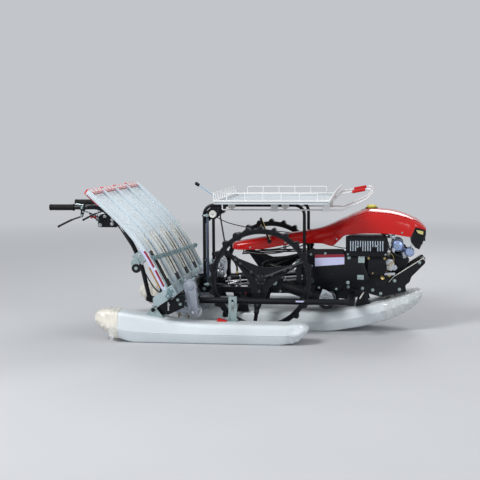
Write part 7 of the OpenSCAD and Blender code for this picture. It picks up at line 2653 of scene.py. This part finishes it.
@dataclass
class Studio:
    """Camera, floor and light."""

    eye: tuple[float, float, float] = (0.925, -6.53, 1.2025)
    yaw: float = 0.140961
    pitch: float = 0.097249
    roll: float = -0.006806
    focal_px: float = 1024.675
    frame_px: int = 480
    floor_color: tuple[float, float, float] = (0.52, 0.53, 0.55)
    sky_color: tuple[float, float, float] = (0.54, 0.56, 0.59)
    fade: tuple[float, float] = (2.5, 9.0)
    sky_light: float = 0.5
    aim: tuple[float, float, float] = (0.15, 0.0, 0.4)
    lamps: tuple[tuple[str, Point, float, float], ...] = (
        ("key", (-3.2, -4.6, 4.8), 2.2, 330.0),
        ("fill", (4.6, -4.2, 2.4), 3.0, 90.0),
        ("rim", (1.6, 4.4, 4.2), 2.4, 130.0),
    )

    def camera(self) -> None:
        """Places the camera where the photograph was taken from."""
        data = bpy.data.cameras.new("camera")
        data.sensor_width = 36.0
        data.lens = self.focal_px * 36.0 / self.frame_px
        data.clip_end = 200.0
        camera = bpy.data.objects.new("camera", data)
        bpy.context.scene.collection.objects.link(camera)
        look = Vector((
            -math.sin(self.yaw) * math.cos(self.pitch), math.cos(self.yaw) * math.cos(self.pitch), -math.sin(self.pitch)
        ))
        side = Vector((math.cos(self.yaw), math.sin(self.yaw), 0.0))
        up = side.cross(look)
        right = side * math.cos(self.roll) + up * math.sin(self.roll)
        above = up * math.cos(self.roll) - side * math.sin(self.roll)
        turn = Matrix((right, above, -look)).transposed()
        camera.matrix_world = Matrix.Translation(self.eye) @ turn.to_4x4()
        bpy.context.scene.camera = camera

    def floor(self) -> None:
        """Lays a wide matt floor that fades into the background far from the machine."""
        kit = MeshKit()
        kit.grid([[(x, y, 0.0) for y in (-60.0, -20.0, 0.0, 20.0, 60.0)] for x in (-60.0, -20.0, 0.0, 20.0, 60.0)])
        mesh = bpy.data.meshes.new("floor")
        kit.bm.to_mesh(mesh)
        kit.bm.free()
        floor = bpy.data.objects.new("floor", mesh)
        bpy.context.scene.collection.objects.link(floor)
        for face in mesh.polygons:
            face.use_smooth = True
        material = bpy.data.materials.new("studio floor")
        material.use_nodes = True
        book = NodeBook(material.node_tree)
        speckle = book.spread(book.noise(1.2, 4.0, 0.5), 0.2, 0.8)
        base = book.mix(speckle, (*[c * 0.96 for c in self.floor_color], 1.0), (*self.floor_color, 1.0))
        shader = book.add("BsdfPrincipled", {"Base Color": base, "Roughness": 0.85})
        where = book.add("TexCoord").outputs["Object"]
        reach = book.add("VectorMath", {0: where}, operation="LENGTH").outputs["Value"]
        seen = book.seen()
        share = book.math("MULTIPLY", book.spread(reach, *self.fade), seen)
        far = book.add("Emission", {"Color": (*self.sky_color, 1.0), "Strength": 1.0})
        both = book.add("MixShader", {0: share, 1: shader.outputs[0], 2: far.outputs[0]})
        book.add("OutputMaterial", {"Surface": both.outputs[0]})
        mesh.materials.append(material)

    def lamp(self, name: str, place: Point, size: float, power: float) -> None:
        """Adds a square soft light that faces the machine.

        Args:
            name: Its name.
            place: Its place.
            size: Its side.
            power: Its power in watts.
        """
        data = bpy.data.lights.new(name, "AREA")
        data.shape = "SQUARE"
        data.size = size
        data.energy = power
        lamp = bpy.data.objects.new(name, data)
        bpy.context.scene.collection.objects.link(lamp)
        lamp.location = place
        lamp.rotation_euler = (Vector(self.aim) - Vector(place)).to_track_quat("-Z", "Y").to_euler()

    def light(self) -> None:
        """Lights the machine softly from above and in front."""
        scene = bpy.context.scene
        world = scene.world or bpy.data.worlds.new("world")
        scene.world = world
        world.use_nodes = True
        book = NodeBook(world.node_tree)
        seen = book.seen()
        lit = book.add("Background", {"Color": (0.93, 0.96, 1.0, 1.0), "Strength": self.sky_light})
        shown = book.add("Background", {"Color": (*self.sky_color, 1.0), "Strength": 1.0})
        both = book.add("MixShader", {0: seen, 1: lit.outputs[0], 2: shown.outputs[0]})
        book.add("OutputWorld", {"Surface": both.outputs[0]})
        for lamp in self.lamps:
            self.lamp(*lamp)
        scene.view_settings.view_transform = "Standard"


def main() -> None:
    """Builds the stage, dresses the CAD nodes and adds the pieces."""
    logging.basicConfig(level=logging.INFO, format="%(name)s: %(message)s")
    studio = Studio()
    studio.camera()
    studio.floor()
    studio.light()
    dress_nodes()
    for assembly in (Floats(), Bonnet(), Engine(), SeedlingTray(), Frame(), Wheels(), PlantingUnit(), Handle(), Rack()):
        LOG.info("building %s", type(assembly).__name__)
        assembly.build()


if __name__ == "__main__":
    main()
